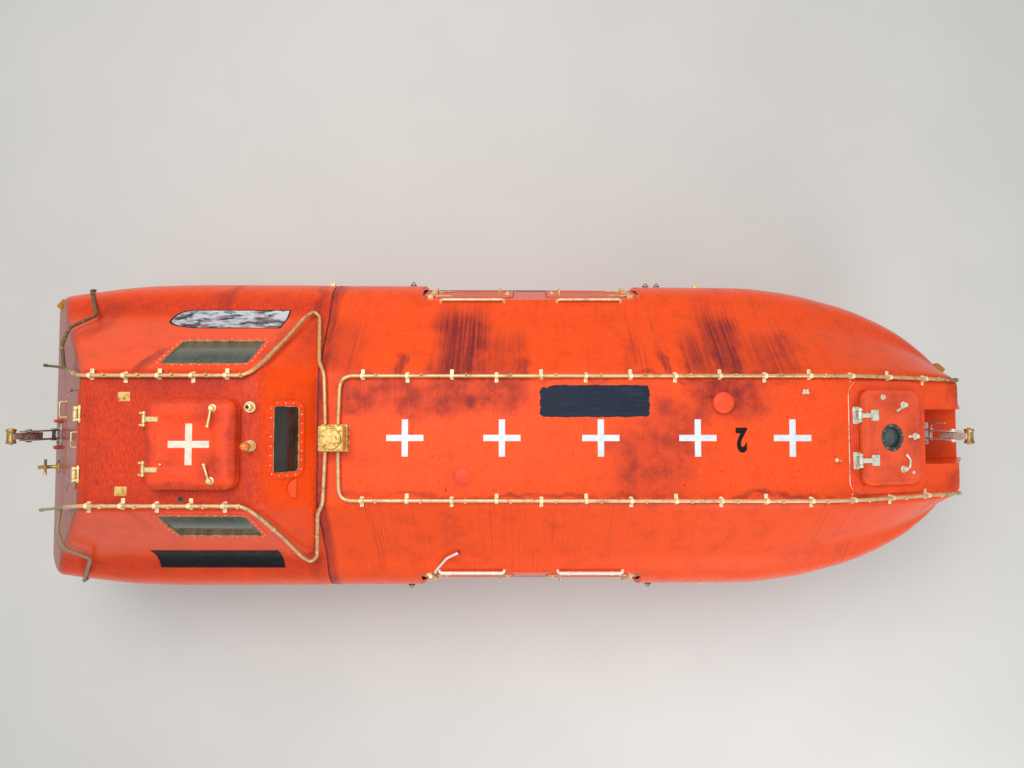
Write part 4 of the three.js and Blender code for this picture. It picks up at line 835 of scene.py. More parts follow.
SEAM_EASE = 0.02
canopy_x = np.unique(np.concatenate([np.linspace(SEAM_X + GAP + SEAM_EASE, 2.2, 90),
                                     np.linspace(2.2, 4.48, 80)]))
canopy_outer = strip(eased_end(canopy_rings(canopy_x), SEAM_EASE, seam_x, GUNWALE_Z))
inner_x = np.linspace(SEAM_X - 0.06, CABIN_END_X, 60)
canopy_inner = strip(canopy_rings(inner_x, CANOPY_WALL, fine=False))
SCOOP = 0.075
pocket = stacked(side_face, (recess_u, 0), (recess_width, 0.9, 0.03),
                 [(0.004, 0), (0, 0.004), (-SCOOP * 0.3, 0.09), (-SCOOP, 0.2), (-SCOOP, 0.3)], 5)


def canopy_dirt_and_shade(tree):
    """The patches of the canopy's stain and shade table, and a dark band along the raked seam: partly grime,
    partly painted shade in the seam's crease.
    """
    split = axes_of(tree)
    rake = times(tree, minus(tree, split["Z"], DECK_Z), -SEAM_RAKE)
    ahead = plus(tree, minus(tree, split["X"], SEAM_X), rake)
    # The seam band is partly grime and partly painted shade in the crease where the canopy meets the
    # wheelhouse.
    band = hump(tree, ahead, 0.02, 0.030, 0.060)
    return most(tree, times(tree, band, 0.8), marks_from(CANOPY_STAINS_AND_SHADE)(tree))


canopy_paint = gelcoat_paint("orange_canopy", fading=1.0, streaks=0.9, stain=canopy_dirt_and_shade)
backing = stacked(side_face, (recess_u, 0), (recess_width + 2 * CANOPY_WALL, 0.86, 0.002),
                  [(0, -CANOPY_WALL), (0, 0.02)], 2)
above_gunwale = box_part((-1.5, 0.8, GUNWALE_Z + GAP), (1.8, 1.7, 2.15))
backing_port = cut(backing, [("INTERSECT", above_gunwale), ("INTERSECT", canopy_outer)], "backing_port",
                   canopy_paint)
backing_starboard = cut(mirrored(backing), [("INTERSECT", mirrored(above_gunwale)),
                                            ("INTERSECT", canopy_outer)],
                        "backing_starboard", canopy_paint)
well = box_part((WELL_X, -WELL_HALF, WELL_FLOOR), (4.7, WELL_HALF, 2.8))
bow_hole = stacked(bow_face, (0, 0), BOW_HOLE, [(0, -0.3), (0, 0.06)])
door_holes = [stacked(side_face, (u, 0), (DOOR_SIZE[0] + 2 * DOOR_CLEARANCE,
                                          DOOR_SIZE[1] + 2 * DOOR_CLEARANCE,
                                          DOOR_SIZE[2] + DOOR_CLEARANCE), [(0, -0.2), (0, 0.1)])
              for _, u, _ in DOORS]
canopy_mesh = cut(canopy_outer, [
    ("DIFFERENCE", canopy_inner),
    ("UNION", backing_port), ("UNION", backing_starboard),
    ("DIFFERENCE", pocket), ("DIFFERENCE", mirrored(pocket)),
    ("DIFFERENCE", well), ("DIFFERENCE", bow_hole),
    *[("DIFFERENCE", hole) for hole in door_holes],
    *[("DIFFERENCE", mirrored(hole)) for hole in door_holes],
], "canopy_shell", canopy_paint)
piece("canopy_shell", canopy_mesh, canopy_paint, "boat", ["canopy"])

# Wheelhouse
# The raised aft moulding, bolted to the canopy at a raked seam and sealed there. Its roof ends in a soft
# crease, its front slopes down to the seam, and its aft face leans forward. Windows, hatch and aft door are
# cut through it.
ROOF_Z = 3.2
ROOF_HALF = 0.53
TRANSOM_X = -4.8
AFT_FOOT_Z = 1.4
AFT_TOP_X = -3.37
CREASE_X = -1.99
CREASE_EASE = 0.11
AFT_EASE = 0.07
WHEELHOUSE_STATIONS = np.array([
    # x, widest half breadth
    (-4.90, 1.290), (-4.51, 1.370), (-4.10, 1.440), (-3.60, 1.495), (-3.10, 1.508), (-1.99, 1.503),
])
aft_face = panel((-4.085, 0, 2.3), (0, 1, 0), (-1.8, 0, 1.43))
front_face = panel((-1.825, 0, 2.975), (0, 1, 0), (0.45, 0, 0.33))
window_face = panel((-2.48, 0.715, 2.879), (1, 0, 0), (0, 0.99, 0.57))
roof_face = level_panel(-2.465, -0.025, ROOF_Z)
SIDE_WINDOW = (0.706, 0.452, 0.040)
FRONT_WINDOW = (0.530, 0.237, 0.032)
FRONT_WINDOW_V = 0.02
ROOF_HOLE = (0.541, 0.566, 0.038)
AFT_DOOR = (0.780, 1.040, 0.080)
AFT_DOOR_V = -0.54


def aft_x(z, shift=0.0):
    """The aft face's x at a height: upright at its foot, then leaning forward to the roof."""
    return TRANSOM_X + shift + np.maximum(z - AFT_FOOT_Z, 0) * (AFT_TOP_X - TRANSOM_X) / (ROOF_Z - AFT_FOOT_Z)


def wheelhouse_half(x, wall=0.0, fine=True):
    """Half sections of the wheelhouse at each x, aft of its crease."""
    return top_half(gunwale(x), faired(WHEELHOUSE_STATIONS, 1, x), (SHOULDER_Y, SHOULDER_Z),
                    (ROOF_HALF, ROOF_Z), wall, fine)


def wheelhouse_rings(wall=0.0, fine=True):
    """Rings from the leaning aft face to the crease, over it, and straight down to the seam.

    Ring t of the first part has x = aft(z) + t (crease - aft(z)); each place's y and z are read at its own x
    from a close row of sections. The crease is the parabolic turn between the roof and the line to the
    seam."""
    shift = wall * 1.25
    ease = 0.0 if wall else AFT_EASE
    grid = np.linspace(-4.9, CREASE_X, 60)
    table = wheelhouse_half(grid, wall, fine)
    place = np.arange(table.shape[1])
    t = np.linspace(0, 1, 46 if fine else 14)[:, None]
    spot = np.broadcast_to(table[30], (len(t), *table[30].shape))
    for _ in range(4):
        start = aft_x(spot[..., 1], shift + ease)
        x = start + t * (CREASE_X - CREASE_EASE - start)
        row_at = (x - grid[0]) / (grid[1] - grid[0])
        row = np.clip(row_at.astype(int), 0, len(grid) - 2)
        share = (row_at - row)[..., None]
        spot = table[row, place] * (1 - share) + table[row + 1, place] * share
    main = np.concatenate([x[..., None], spot], -1)
    corner = np.concatenate([np.full((len(place), 1), CREASE_X), table[-1]], -1)
    foot = canopy_half(np.array([SEAM_X]), wall, fine)[0]
    seam_shift = -0.3 * wall if wall else -SEAM_EASE
    foot = np.concatenate([seam_x(foot[:, 1], seam_shift)[:, None], foot], -1)
    past = corner + (foot - corner) * 0.2
    t = np.linspace(0, 1, 10)[1:, None, None]
    turn = (1 - t) ** 2 * main[-1] + 2 * t * (1 - t) * corner + t ** 2 * past
    slope = past + (foot - past) * np.linspace(0, 1, 12)[1:, None, None]
    rings = both_sides(np.concatenate([main, turn, slope]))
    if wall:
        return np.concatenate([rings, rings[-1:] + (0.06 + 0.3 * wall, 0, 0)])
    closing = (eased_end(rings[:0:-1] * (-1, 1, 1), SEAM_EASE, lambda z: -seam_x(z), GUNWALE_Z)[::-1]
               * (-1, 1, 1))
    rings = np.concatenate([rings[:1], closing])
    return eased_end(rings, AFT_EASE, aft_x, GUNWALE_Z, 8)


def roof_marks(tree):
    """Grime round the edges of the roof, where rain stands, and in the patches of WHEELHOUSE_STAINS."""
    split = axes_of(tree)
    level = ramp(tree, axes_of(tree, "Normal")["Z"], 0.93, 0.99)
    sides = ramp(tree, unsigned(tree, split["Y"]), 0.28, 0.56)
    ends = ramp(tree, unsigned(tree, minus(tree, split["X"], -2.66)), 0.42, 0.8)
    rim = times(tree, most(tree, sides, ends), level)
    rest = marks_from(WHEELHOUSE_STAINS, 0.1)(tree)
    return most(tree, times(tree, rim, 0.5), rest)


def aft_dulling(tree):
    """The aft face has gone a dull purple all over, where exhaust and spray dry on it."""
    return ramp(tree, axes_of(tree, "Normal")["X"], -0.74, -0.5, 0.9, 0.0)


WHEELHOUSE_STAINS = [
    # along and across the boat, half length and half breadth, strength
    (-2.93, 0.64, 0.05, 0.10, 0.7), (-2.72, 1.26, 0.07, 0.20, 0.6), (-3.75, 1.05, 0.10, 0.20, 0.45),
    (-2.03, 0.80, 0.06, 0.16, 0.35), (-1.78, 0.95, 0.10, 0.35, 0.3), (-1.84, 1.25, 0.05, 0.22, 0.65),
    (-1.84, -1.20, 0.05, 0.22, 0.35), (-3.0, -0.62, 0.05, 0.10, 0.25),
]
wheelhouse_paint = gelcoat_paint("orange_wheelhouse", fading=0.9, streaks=0.5, faded=linear("#b02c16"),
                                 fresh=linear("#e74608"), stain=roof_marks, dulling=aft_dulling)
window_hole = stacked(window_face, (0, 0), SIDE_WINDOW, [(0, -0.12), (0, 0.06)])
wheelhouse_mesh = cut(laddered(wheelhouse_rings()), [
    ("DIFFERENCE", laddered(wheelhouse_rings(CANOPY_WALL, fine=False))),
    ("DIFFERENCE", window_hole), ("DIFFERENCE", mirrored(window_hole)),
    ("DIFFERENCE", stacked(front_face, (0, FRONT_WINDOW_V), FRONT_WINDOW, [(0, -0.12), (0, 0.06)])),
    ("DIFFERENCE", stacked(roof_face, (0, 0), ROOF_HOLE, [(0, -0.12), (0, 0.06)])),
    ("DIFFERENCE", stacked(aft_face, (0, AFT_DOOR_V), tuple(np.add(AFT_DOOR, (0.014, 0.014, 0.007))),
                           [(0, -0.16), (0, 0.06)])),
], "wheelhouse_shell", wheelhouse_paint)
piece("wheelhouse_shell", wheelhouse_mesh, wheelhouse_paint, "boat", ["wheelhouse"])

# Windows
# Toughened panes bedded in tan sealant, in a raised moulded band that is riveted through the wheelhouse
# wall. The band's rivets stand about 73 mm apart. The panes are green with algae and dull with dust.
BAND_WIDTH = 0.045
BAND_LIFT = 0.0032
RIVET_PITCH = 0.073


def turned(foot, axis, profile, sides=16, ring=False):
    """A round part: each (radius, distance) row is a circle square to the axis, that far from its foot.

    With `ring` the last row joins the first, and the part has a bore."""
    axis = np.asarray(axis, float) / np.linalg.norm(axis)
    across = np.cross((1, 0, 0) if abs(axis[0]) < 0.8 else (0, 1, 0), axis)
    across /= np.linalg.norm(across)
    a = np.linspace(0, 2 * np.pi, sides, endpoint=False)[:, None]
    circle = np.cos(a) * across + np.sin(a) * np.cross(axis, across)
    profile = np.array(profile, float)
    return strip(foot + profile[:, None, :1] * circle + profile[:, None, 1:] * axis, along=ring,
                 ends=not ring)


def rod(start, end, radius, sides=16, ease=0.0015):
    """A round bar between two points, its ends eased."""
    start, end = np.asarray(start, float), np.asarray(end, float)
    long = float(np.linalg.norm(end - start))
    rows = [(radius - ease, 0), (radius, ease), (radius, long - ease), (radius - ease, long)]
    return turned(start, end - start, rows, sides)


def around(width, height, radius, pitch, centre=(0, 0)):
    """Places evenly spaced along a rounded rectangle, about one pitch apart."""
    loop = outline(width, height, radius)
    loop = np.concatenate([loop, loop[:1]])
    run = np.concatenate([[0], np.cumsum(np.linalg.norm(np.diff(loop, axis=0), axis=1))])
    at = np.arange(round(run[-1] / pitch)) * run[-1] / round(run[-1] / pitch)
    return np.stack([np.interp(at, run, loop[:, 0]), np.interp(at, run, loop[:, 1])], -1) + centre


def dome(radius, height, sides=10):
    """A rivet or screw head standing on a panel's origin."""
    rows = [(radius, -0.001), (radius, 0.0004), (radius * 0.86, height * 0.62),
            (radius * 0.45, height * 0.94), (radius * 0.1, height)]
    return turned((0, 0, 0), (0, 0, 1), rows, sides)


def studs(face, places, lift, radius, height, sides=10):
    """Rivet, screw or bolt heads at (u, v) places on a panel, as one part."""
    points, faces = dome(radius, height, sides)
    seats = on_panel(face, [(*place, lift) for place in places])
    moved = seats[:, None] + points @ face[1:]
    starts = range(0, len(seats) * len(points), len(points))
    return moved.reshape(-1, 3), [[v + start for v in corners] for start in starts for corners in faces]


def ring_of(count, radius, start=0.0):
    """Places evenly round a circle."""
    a = np.arange(count) * 2 * np.pi / count + start
    return np.stack([np.cos(a), np.sin(a)], -1) * radius


def corners_of(half_u, half_v, middle=(0, 0)):
    """The four corners of a rectangle about its middle."""
    return [(middle[0] + x * half_u, middle[1] + y * half_v) for x in (-1, 1) for y in (-1, 1)]


def band(face, centre, size, width, low, high, ease=0.0015):
    """A flat raised ring round an opening, `width` wide, both of its top edges eased."""
    grown = (size[0] + 2 * width, size[1] + 2 * width, size[2] + width)
    rows = [(0, low), (0, high - ease), (ease, high), (width - ease, high), (width, high - ease),
            (width, low)]
    return stacked(face, centre, grown, rows, ring=True)


def bead(face, centre, size, low, high, width=0.008):
    """A line of sealant round an opening, rounded over and laid by hand along its edge."""
    a = np.linspace(0, np.pi, 7)
    rows = [(width * (1 - math.cos(t)) / 2, low + (high - low) * math.sin(t)) for t in a]
    grown = (size[0] + width, size[1] + width, size[2] + width / 2)
    return stacked(face, centre, grown, rows, ring=True)


def sealant_paint(name, colour, dirt):
    """Sealant that has yellowed and picked up dirt."""
    material, tree, shader = new_material(name, colour, 0.6)
    dirty = ramp(tree, cloud(tree, 12, 6, 0.7), 0.4, 0.66)
    dress(tree, shader, blend_colour(tree, dirty, linear(colour), linear(dirt)))
    rough_bump(tree, shader, cloud(tree, 90, 3, 0.6), 0.4, 0.001)
    return material


def glass_paint(name, clean, dust, algae, clear=0.3):
    """Dirty glass: dust all over in patches and runs, and patches of green algae."""
    material, tree, shader = new_material(name, clean, 0.12)
    wide = cloud(tree, 3.4, 6, 0.62)
    runs = cloud(tree, 1, 5, 0.65, stretch=(60, 4, 4))
    fine = cloud(tree, 120, 3, 0.6)
    dusty = plus(tree, times(tree, wide, 0.6), times(tree, runs, 0.4))
    colour = blend_colour(tree, ramp(tree, dusty, 0.4, 0.68, 0.1, 0.7), linear(clean), linear(dust))
    colour = blend_colour(tree, ramp(tree, wide, 0.5, 0.7, 0.0, 0.55), colour, linear(algae))
    shine = plus(tree, ramp(tree, dusty, 0.35, 0.7, 0.08, 0.4), ramp(tree, fine, 0.3, 0.7, 0.0, 0.08))
    dress(tree, shader, colour, shine)
    shader.inputs["Transmission Weight"].default_value = clear
    shader.inputs["Coat Weight"].default_value = 0.3
    rough_bump(tree, shader, fine, 0.06, 0.0004)
    return material


glass = glass_paint("dirty_glass", "#2c3a2e", "#6c7360", "#3f5232")
front_glass = glass_paint("dark_front_glass", "#1b1613", "#40372c", "#2a2c20")
sealant = sealant_paint("tan_sealant", "#b48d5f", "#5c4431")
rivet_metal = metal_paint("rivet_metal", "#e6dcc4", "#5d4436", "#7a4128", 0.44, 0.32, 0.4, 0.3)
WINDOWS = [
    ("window_port", glass, window_face, (0, 0), SIDE_WINDOW, False),
    ("window_starboard", glass, window_face, (0, 0), SIDE_WINDOW, True),
    ("window_front", front_glass, front_face, (0, FRONT_WINDOW_V), FRONT_WINDOW, False),
]
bands, beads, rivets = [], [], []
for name, pane, face, centre, size, other_side in WINDOWS:
    finished(name, pane, "boat", 0.001, 1)
    grown = (size[0] + 0.05, size[1] + 0.05, size[2] + 0.025)
    made = [
        band(face, centre, (size[0] + 0.004, size[1] + 0.004, size[2] + 0.002), BAND_WIDTH, -0.003,
             BAND_LIFT),
        bead(face, centre, (size[0] - 0.003, size[1] - 0.003, size[2]), -0.005, 0.0042, 0.009),
        studs(face, around(*grown, RIVET_PITCH, centre), BAND_LIFT, 0.0055, 0.0032),
    ]
    for kept, part in zip((bands, beads, rivets), made):
        kept.append(mirrored(part) if other_side else part)
band_paint = gelcoat_paint("orange_window_bands", fading=0.5, streaks=0.9, fresh=linear("#e6420f"),
                           faded=linear("#c63a20"))
piece("window_bands", bands, band_paint, "boat")
piece("window_sealant", beads, sealant, "boat")
piece("window_rivets", rivets, rivet_metal, "boat")

# Roof hatch
# A coaming bonded on the roof, and a moulded lid that caps it. The lid has soft shoulders and a dished
# middle with a white cross, hangs on two brass strap hinges at its aft edge, and is held by two lever dogs.
ROOF_LID = (0.690, 0.700, 0.090)
LID_RISE = 0.140
LID_WALL = 0.018
DISH_MOUTH = 0.430
DISH_FLOOR = 0.330
DISH_DEPTH = 0.024
CROSS_REACH = 0.1560
CROSS_WIDTH = 0.052
PIN_RADIUS = 0.009
KNUCKLE_RADIUS = 0.017
KNUCKLE_HALF = 0.030
LUG_REACH = (0.035, 0.057)
HINGE_BORE = 0.0099
LEAF_WIDTH = 0.044
LEAF_THICK = 0.006


def tube(path, radius, sides=14, ends=0.4):
    """A round bar along a path. Each ring is square to the path's own run there, and its ends are eased.

    The run is the difference of the neighbours; `across` is the run crossed with one fixed direction."""
    path = np.asarray(path, float)
    run = np.gradient(path, axis=0)
    run /= np.linalg.norm(run, axis=1, keepdims=True)
    across = np.cross((0.31, 0.22, 0.925), run)
    across /= np.linalg.norm(across, axis=1, keepdims=True)
    up = np.cross(run, across)
    a = np.linspace(0, 2 * np.pi, sides, endpoint=False)
    size = np.broadcast_to(radius, len(path))
    circle = np.cos(a)[:, None] * across[:, None] + np.sin(a)[:, None] * up[:, None]
    rings = path[:, None] + circle * size[:, None, None]
    first = path[0] - run[0] * size[0] * ends * 0.5 + circle[0] * size[0] * (1 - ends)
    last = path[-1] + run[-1] * size[-1] * ends * 0.5 + circle[-1] * size[-1] * (1 - ends)
    return strip(np.concatenate([first[None], rings, last[None]]))


def bent(corners, turn, steps=7):
    """A path through corners, each inner one replaced by a parabolic turn of the given reach."""
    reach = [0] + [turn] * (len(corners) - 2) + [0]
    return rounded(corners, reach, reach, [steps if r else 0 for r in reach], guard=0.001)


def collar(foot, axis, inner, outer, low, high, sides=20):
    """A ring about an axis, like a knuckle or a washer."""
    ease = min(0.0012, (outer - inner) / 3)
    rows = [(inner, low), (outer - ease, low), (outer, low + ease), (outer, high - ease),
            (outer - ease, high), (inner, high)]
    return turned(foot, axis, rows, sides, ring=True)


def bent_strap(face, path, centre, width, thick, taper=1.0):
    """A flat bar bent along a path of (u, n) rows over a panel, `thick` above it, narrower at its end."""
    path = np.asarray(path, float)
    run = np.gradient(path, axis=0)
    run /= np.linalg.norm(run, axis=1, keepdims=True)
    above = path + np.stack([-run[:, 1], run[:, 0]], -1) * thick
    half = np.linspace(1, taper, len(path)) * width / 2
    row = [np.stack([p[:, 0], centre + side * half, p[:, 1]], -1)
           for p, side in ((path, -1), (path, 1), (above, 1), (above, -1))]
    return strip(on_panel(face, np.stack(row, 1)))


def hinge(face, u, v, lift, foot, leaf, taper=0.8):
    """A hinge whose pin lies along v and whose leaf runs to +u, as (fixed parts, moving parts).

    `foot` is its feet's offset along u, their width and the lift of their undersides. `leaf` is the path of
    the leaf's underside, as (u, n) rows away from the pin."""
    foot_at, foot_width, foot_low = foot

    def along(distance):
        return on_panel(face, (u, v + distance, lift))
    fixed = [rod(along(-0.060), along(0.060), PIN_RADIUS)]
    for side in (-1, 1):
        fixed.append(rod(along(side * LUG_REACH[0]), along(side * LUG_REACH[1]), KNUCKLE_RADIUS, 20))
        fixed.append(slab_part(face, (u + foot_at, v + side * 0.046), (foot_width, 0.016, 0.004), foot_low,
                               lift - 0.002, 0.0015, 3))
    path = np.asarray(leaf, float) + (u, 0)
    bolts = [(at[0], v) for at in np.linspace(path[len(path) // 2], path[-1], 4)[1:3]]
    moving = [collar(along(0), face[2], HINGE_BORE, KNUCKLE_RADIUS, -KNUCKLE_HALF, KNUCKLE_HALF),
              bent_strap(face, path, v, LEAF_WIDTH, LEAF_THICK, taper),
              studs(face, bolts, path[-1, 1] + LEAF_THICK, 0.007, 0.0045)]
    return fixed, moving


def flipped(face):
    """A panel turned half round in its own plane."""
    return np.array([face[0], -face[1], -face[2], face[3]])


def quarter_turned(face):
    """A panel whose u is the first one's v, and whose v is the other's -u."""
    return np.array([face[0], face[2], -face[1], face[3]])


def lever_dog(face, u, v, lift, lever):
    """A clamp on a hatch: a flanged boss, and a bent bar on it with a ball at its end."""
    seat = on_panel(face, (u, v, lift))
    boss = [(0.030, -0.004), (0.030, 0.002), (0.027, 0.004), (0.020, 0.006), (0.020, 0.028), (0.017, 0.033),
            (0.006, 0.034)]
    corners = [(u, v, lift + 0.024)] + [(u + du, v + dv, lift + 0.026) for du, dv in lever]
    path = on_panel(face, bent(corners, 0.02) if len(corners) > 2 else np.linspace(*corners, 5))
    way = path[-1] - path[-2]
    way /= np.linalg.norm(way)
    knob = [(0.004, -0.012), (0.009, -0.009), (0.0125, -0.002), (0.0125, 0.003), (0.009, 0.010),
            (0.003, 0.013)]
    bolts = ring_of(4, 0.024) + (u, v)
    return [turned(seat, face[3], boss, 20), tube(path, 0.008), turned(path[-1], way, knob, 14),
            studs(face, bolts, lift + 0.004, 0.0035, 0.002, 6)]


def cross_part(face, centre, reach, width, low, high):
    """Two crossed strips of tape as one twelve-cornered plate."""
    r, w = reach, width / 2
    flat = np.array([(r, -w), (r, w), (w, w), (w, r), (-w, r), (-w, w), (-r, w), (-r, -w), (-w, -w), (-w, -r),
                     (w, -r), (w, -w)]) + centre
    rows = [np.concatenate([flat, np.full((12, 1), lift)], -1) for lift in (low, high)]
    return strip(on_panel(face, np.array(rows)))


def tape_paint(name, colour, dirt, backing_colour, worn=0.5):
    """Reflective tape, dirty, cracked and in places rubbed through to the gelcoat."""
    material, tree, shader = new_material(name, colour, 0.5)
    dirty = ramp(tree, cloud(tree, 14, 6, 0.7), 0.42, 0.72, 0.05, 0.55)
    shade = blend_colour(tree, dirty, linear(colour), linear(dirt))
    rubbed = ramp(tree, cloud(tree, 42, 5, 0.75), 0.80 - worn * 0.22, 0.84 - worn * 0.22)
    shade = blend_colour(tree, rubbed, shade, linear(backing_colour))
    dress(tree, shader, shade)
    rough_bump(tree, shader, cloud(tree, 110, 3, 0.6), 0.25, 0.0006)
    return material


a = np.linspace(0, np.pi / 2, 9)
floor_inset = (ROOF_LID[0] - DISH_FLOOR) / 2
mouth_inset = (ROOF_LID[0] - DISH_MOUTH) / 2
lid_rows = [(0.30, 0.096), (0.026, 0.096), (LID_WALL, 0.090), (LID_WALL, 0.009), (0.001, 0.008), (0, 0.010),
            (0, 0.020), (0.003, 0.024), (0.003, 0.078)]
lid_rows += [(0.003 + 0.072 * (1 - math.cos(t)), 0.080 + 0.057 * math.sin(t)) for t in a]
lid_rows += [(mouth_inset - 0.012, LID_RISE), (mouth_inset - 0.003, LID_RISE - 0.0005),
             (mouth_inset + 0.006, LID_RISE - 0.004), (floor_inset - 0.008, LID_RISE - DISH_DEPTH + 0.003),
             (floor_inset, LID_RISE - DISH_DEPTH + 0.0004), (floor_inset + 0.006, LID_RISE - DISH_DEPTH),
             (0.30, 0.116)]
ROOF_DOGS = [
    # place on the lid, and where its lever reaches from there
    (0.186, 0.274, [(-0.023, -0.135)]),
    (0.178, -0.272, [(-0.037, 0.120)]),
]
ROOF_HINGE_U = -0.371
HATCH_HINGE_V = (-0.190, 0.190)
old_brass = metal_paint("old_brass", "#e0c88e", "#8f7440", "#b3a67f", 0.42, 0.36, 0.36, 0.5)
white_tape = tape_paint("white_tape", "#cfc9b8", "#a3957e", "#c9482a")
lid_paint = gelcoat_paint("orange_roof_lid", fading=1.0, streaks=0.2, weave=0.7, faded=linear("#d0401f"),
                          fresh=linear("#e54a16"), stain=marks_from([
                              (-2.80, -0.03, 0.05, 0.34, 0.5), (-2.13, -0.03, 0.04, 0.34, 0.45),
                              (-2.46, 0.31, 0.36, 0.04, 0.45), (-2.46, -0.36, 0.36, 0.04, 0.5),
                              (-2.30, -0.20, 0.10, 0.12, 0.35), (-2.34, 0.21, 0.12, 0.08, 0.3)], 0.06))
piece("roof_lid_moulding", [stacked(roof_face, (0, 0), ROOF_LID, lid_rows, 12)], lid_paint, "roof_lid",
      ["roof_hatch_lid"])
hinge_fixed, hinge_moving = [], []
lid_edge = [(0.012, 0.066), (0.020, 0.074), (0.030, 0.095), (0.040, 0.118), (0.058, 0.134), (0.090, 0.1405),
            (0.150, 0.1405)]
for v in HATCH_HINGE_V:
    fixed, moving = hinge(roof_face, ROOF_HINGE_U, v, 0.060, (-0.012, 0.060, -0.002), lid_edge)
    hinge_fixed += fixed
    hinge_moving += moving
for u, v, lever in ROOF_DOGS:
    hinge_moving += lever_dog(roof_face, u, v, LID_RISE - 0.001, lever)
hinge_moving.append(studs(roof_face, [(-0.20, -0.15)], LID_RISE, 0.009, 0.006))
piece("roof_lid_hinge_feet", hinge_fixed, old_brass, "boat")
piece("roof_lid_brass", hinge_moving, old_brass, "roof_lid")
piece("roof_lid_cross", [cross_part(roof_face, (0, 0), CROSS_REACH, CROSS_WIDTH,
                                    LID_RISE - DISH_DEPTH - 0.0004,
                                    LID_RISE - DISH_DEPTH + 0.0007)], white_tape, "roof_lid")
finished("roof_hatch_coaming", wheelhouse_paint, "boat", 0.004, 3)

# Aft door
# A flush moulded door in the leaning aft face, hung from its top edge on two brass blocks, with a rubber
# seal in the gap round it, a bent brass handle at its foot and a rail across its head.
AFT_HINGE_U = (-0.265, 0.205)
AFT_HINGE_V = -1.090
down_face = quarter_turned(aft_face)


def grip(face, start, end, low, rise, radius, turn=0.02):
    """A U-shaped handle standing on a panel, with a round foot under each leg."""
    corners = [(*start, low), (*start, rise), (*end, rise), (*end, low)]
    feet = [turned(on_panel(face, (*at, low)), face[3],
                   [(radius * 2.1, -0.002), (radius * 2.1, 0.003), (radius * 1.3, 0.006),
                    (radius * 1.05, 0.007)])
            for at in (start, end)]
    return [tube(on_panel(face, bent(corners, turn)), radius), *feet]


def leaf_rows(low, high, wall, field):
    """Profile of a moulded leaf: its edge, an eased rim, and a slightly sunk field inside the rim."""
    return [(0.004, low), (0, low + 0.004), (0, high - 0.005), (0.0015, high - 0.0015), (0.005, high),
            (wall, high), (wall + 0.004, high - field * 0.8), (wall + 0.008, high - field),
            (0.24, high - field)]


def gap_seal(face, centre, size, low, high, width=0.006):
    """A rubber seal standing round a leaf, in the gap between it and its opening."""
    a = np.linspace(0, np.pi, 5)
    rows = [(width * (1 - math.cos(t)) / 2, low + (high - low) * min(1, math.sin(t) * 1.6)) for t in a]
    grown = (size[0] + 2 * width, size[1] + 2 * width, size[2] + width)
    return stacked(face, centre, grown, rows, ring=True)


aft_door_paint = gelcoat_paint("orange_aft_door", fading=0.6, streaks=0.8, faded=linear("#a83224"),
                               fresh=linear("#d04018"), dulling=aft_dulling)
piece("aft_door_leaf", [stacked(aft_face, (0, AFT_DOOR_V), AFT_DOOR, leaf_rows(-0.028, 0.008, 0.05, 0.003))],
      aft_door_paint, "stern_door", ["aft_door"])
door_fixed, door_moving = [], []
for u in AFT_HINGE_U:
    fixed, moving = hinge(down_face, AFT_HINGE_V, -u, 0.024, (-0.008, 0.046, -0.010),
                          [(0.012, 0.020), (0.020, 0.013), (0.032, 0.0085), (0.145, 0.0085)], 0.9)
    door_fixed += fixed
    door_moving += moving
    door_fixed.append(slab_part(aft_face, (u, AFT_HINGE_V - 0.022), (0.135, 0.030, 0.004), -0.006, 0.007,
                                0.002, 4))
door_moving += grip(aft_face, (0.170, -0.080), (0.310, -0.080), 0.006, 0.058, 0.008)
door_moving += grip(aft_face, (-0.06, -1.0), (0.06, -1.0), 0.006, 0.040, 0.006, 0.012)
piece("aft_door_hinge_blocks", door_fixed, old_brass, "boat")
piece("aft_door_brass", door_moving, old_brass, "stern_door")
piece("aft_door_seal", [gap_seal(aft_face, (0, AFT_DOOR_V), AFT_DOOR, -0.020, -0.001)], rubber, "boat")

# Bow hatch
# A moulded frame bonded on the sloping foredeck in a line of whitish sealant, and a flat lid let into it.
# The lid has a round dark scuttle in a screwed ring, two pale metal hinges aft, and three lever dogs.
BOW_LID = (0.622, 0.806, 0.095)
BOW_FRAME = (0.800, 0.962, 0.120)
FRAME_RISE = 0.022
LID_SEAT = 0.013
LID_TOP = 0.053
SCUTTLE_RADIUS = 0.110
BOW_HINGE_U = -0.341
BOW_DOGS = [
    (0.129, 0.278, [(-0.092, -0.050)]),
    (0.251, 0.008, [(-0.090, 0.0)]),
    (0.115, -0.270, [(0.044, 0.012), (0.050, 0.080), (0.014, 0.118)]),
]
pocket_inset = (BOW_FRAME[0] - BOW_LID[0] - 0.014) / 2
hole_inset = (BOW_FRAME[0] - BOW_HOLE[0]) / 2 + 0.0005
frame_rows = [(0, -0.022), (0, 0.010), (0.002, 0.016), (0.007, 0.0205), (0.014, FRAME_RISE),
              (pocket_inset - 0.004, FRAME_RISE), (pocket_inset - 0.001, FRAME_RISE - 0.0012),
              (pocket_inset, FRAME_RISE - 0.004), (pocket_inset, 0.008), (hole_inset - 0.003, 0.008),
              (hole_inset, 0.005), (hole_inset, -0.022)]
bow_marks = marks_from([(2.86, 0.0, 0.10, 0.40, 0.4), (3.44, 0.10, 0.10, 0.30, 0.35),
                        (3.20, 0.30, 0.16, 0.10, 0.4), (3.20, -0.32, 0.16, 0.10, 0.35),
                        (3.02, 0.02, 0.05, 0.24, 0.3)], 0.1)
frame_paint = gelcoat_paint("orange_bow_frame", fading=0.9, streaks=0.3, faded=linear("#da4620"),
                            stain=bow_marks)
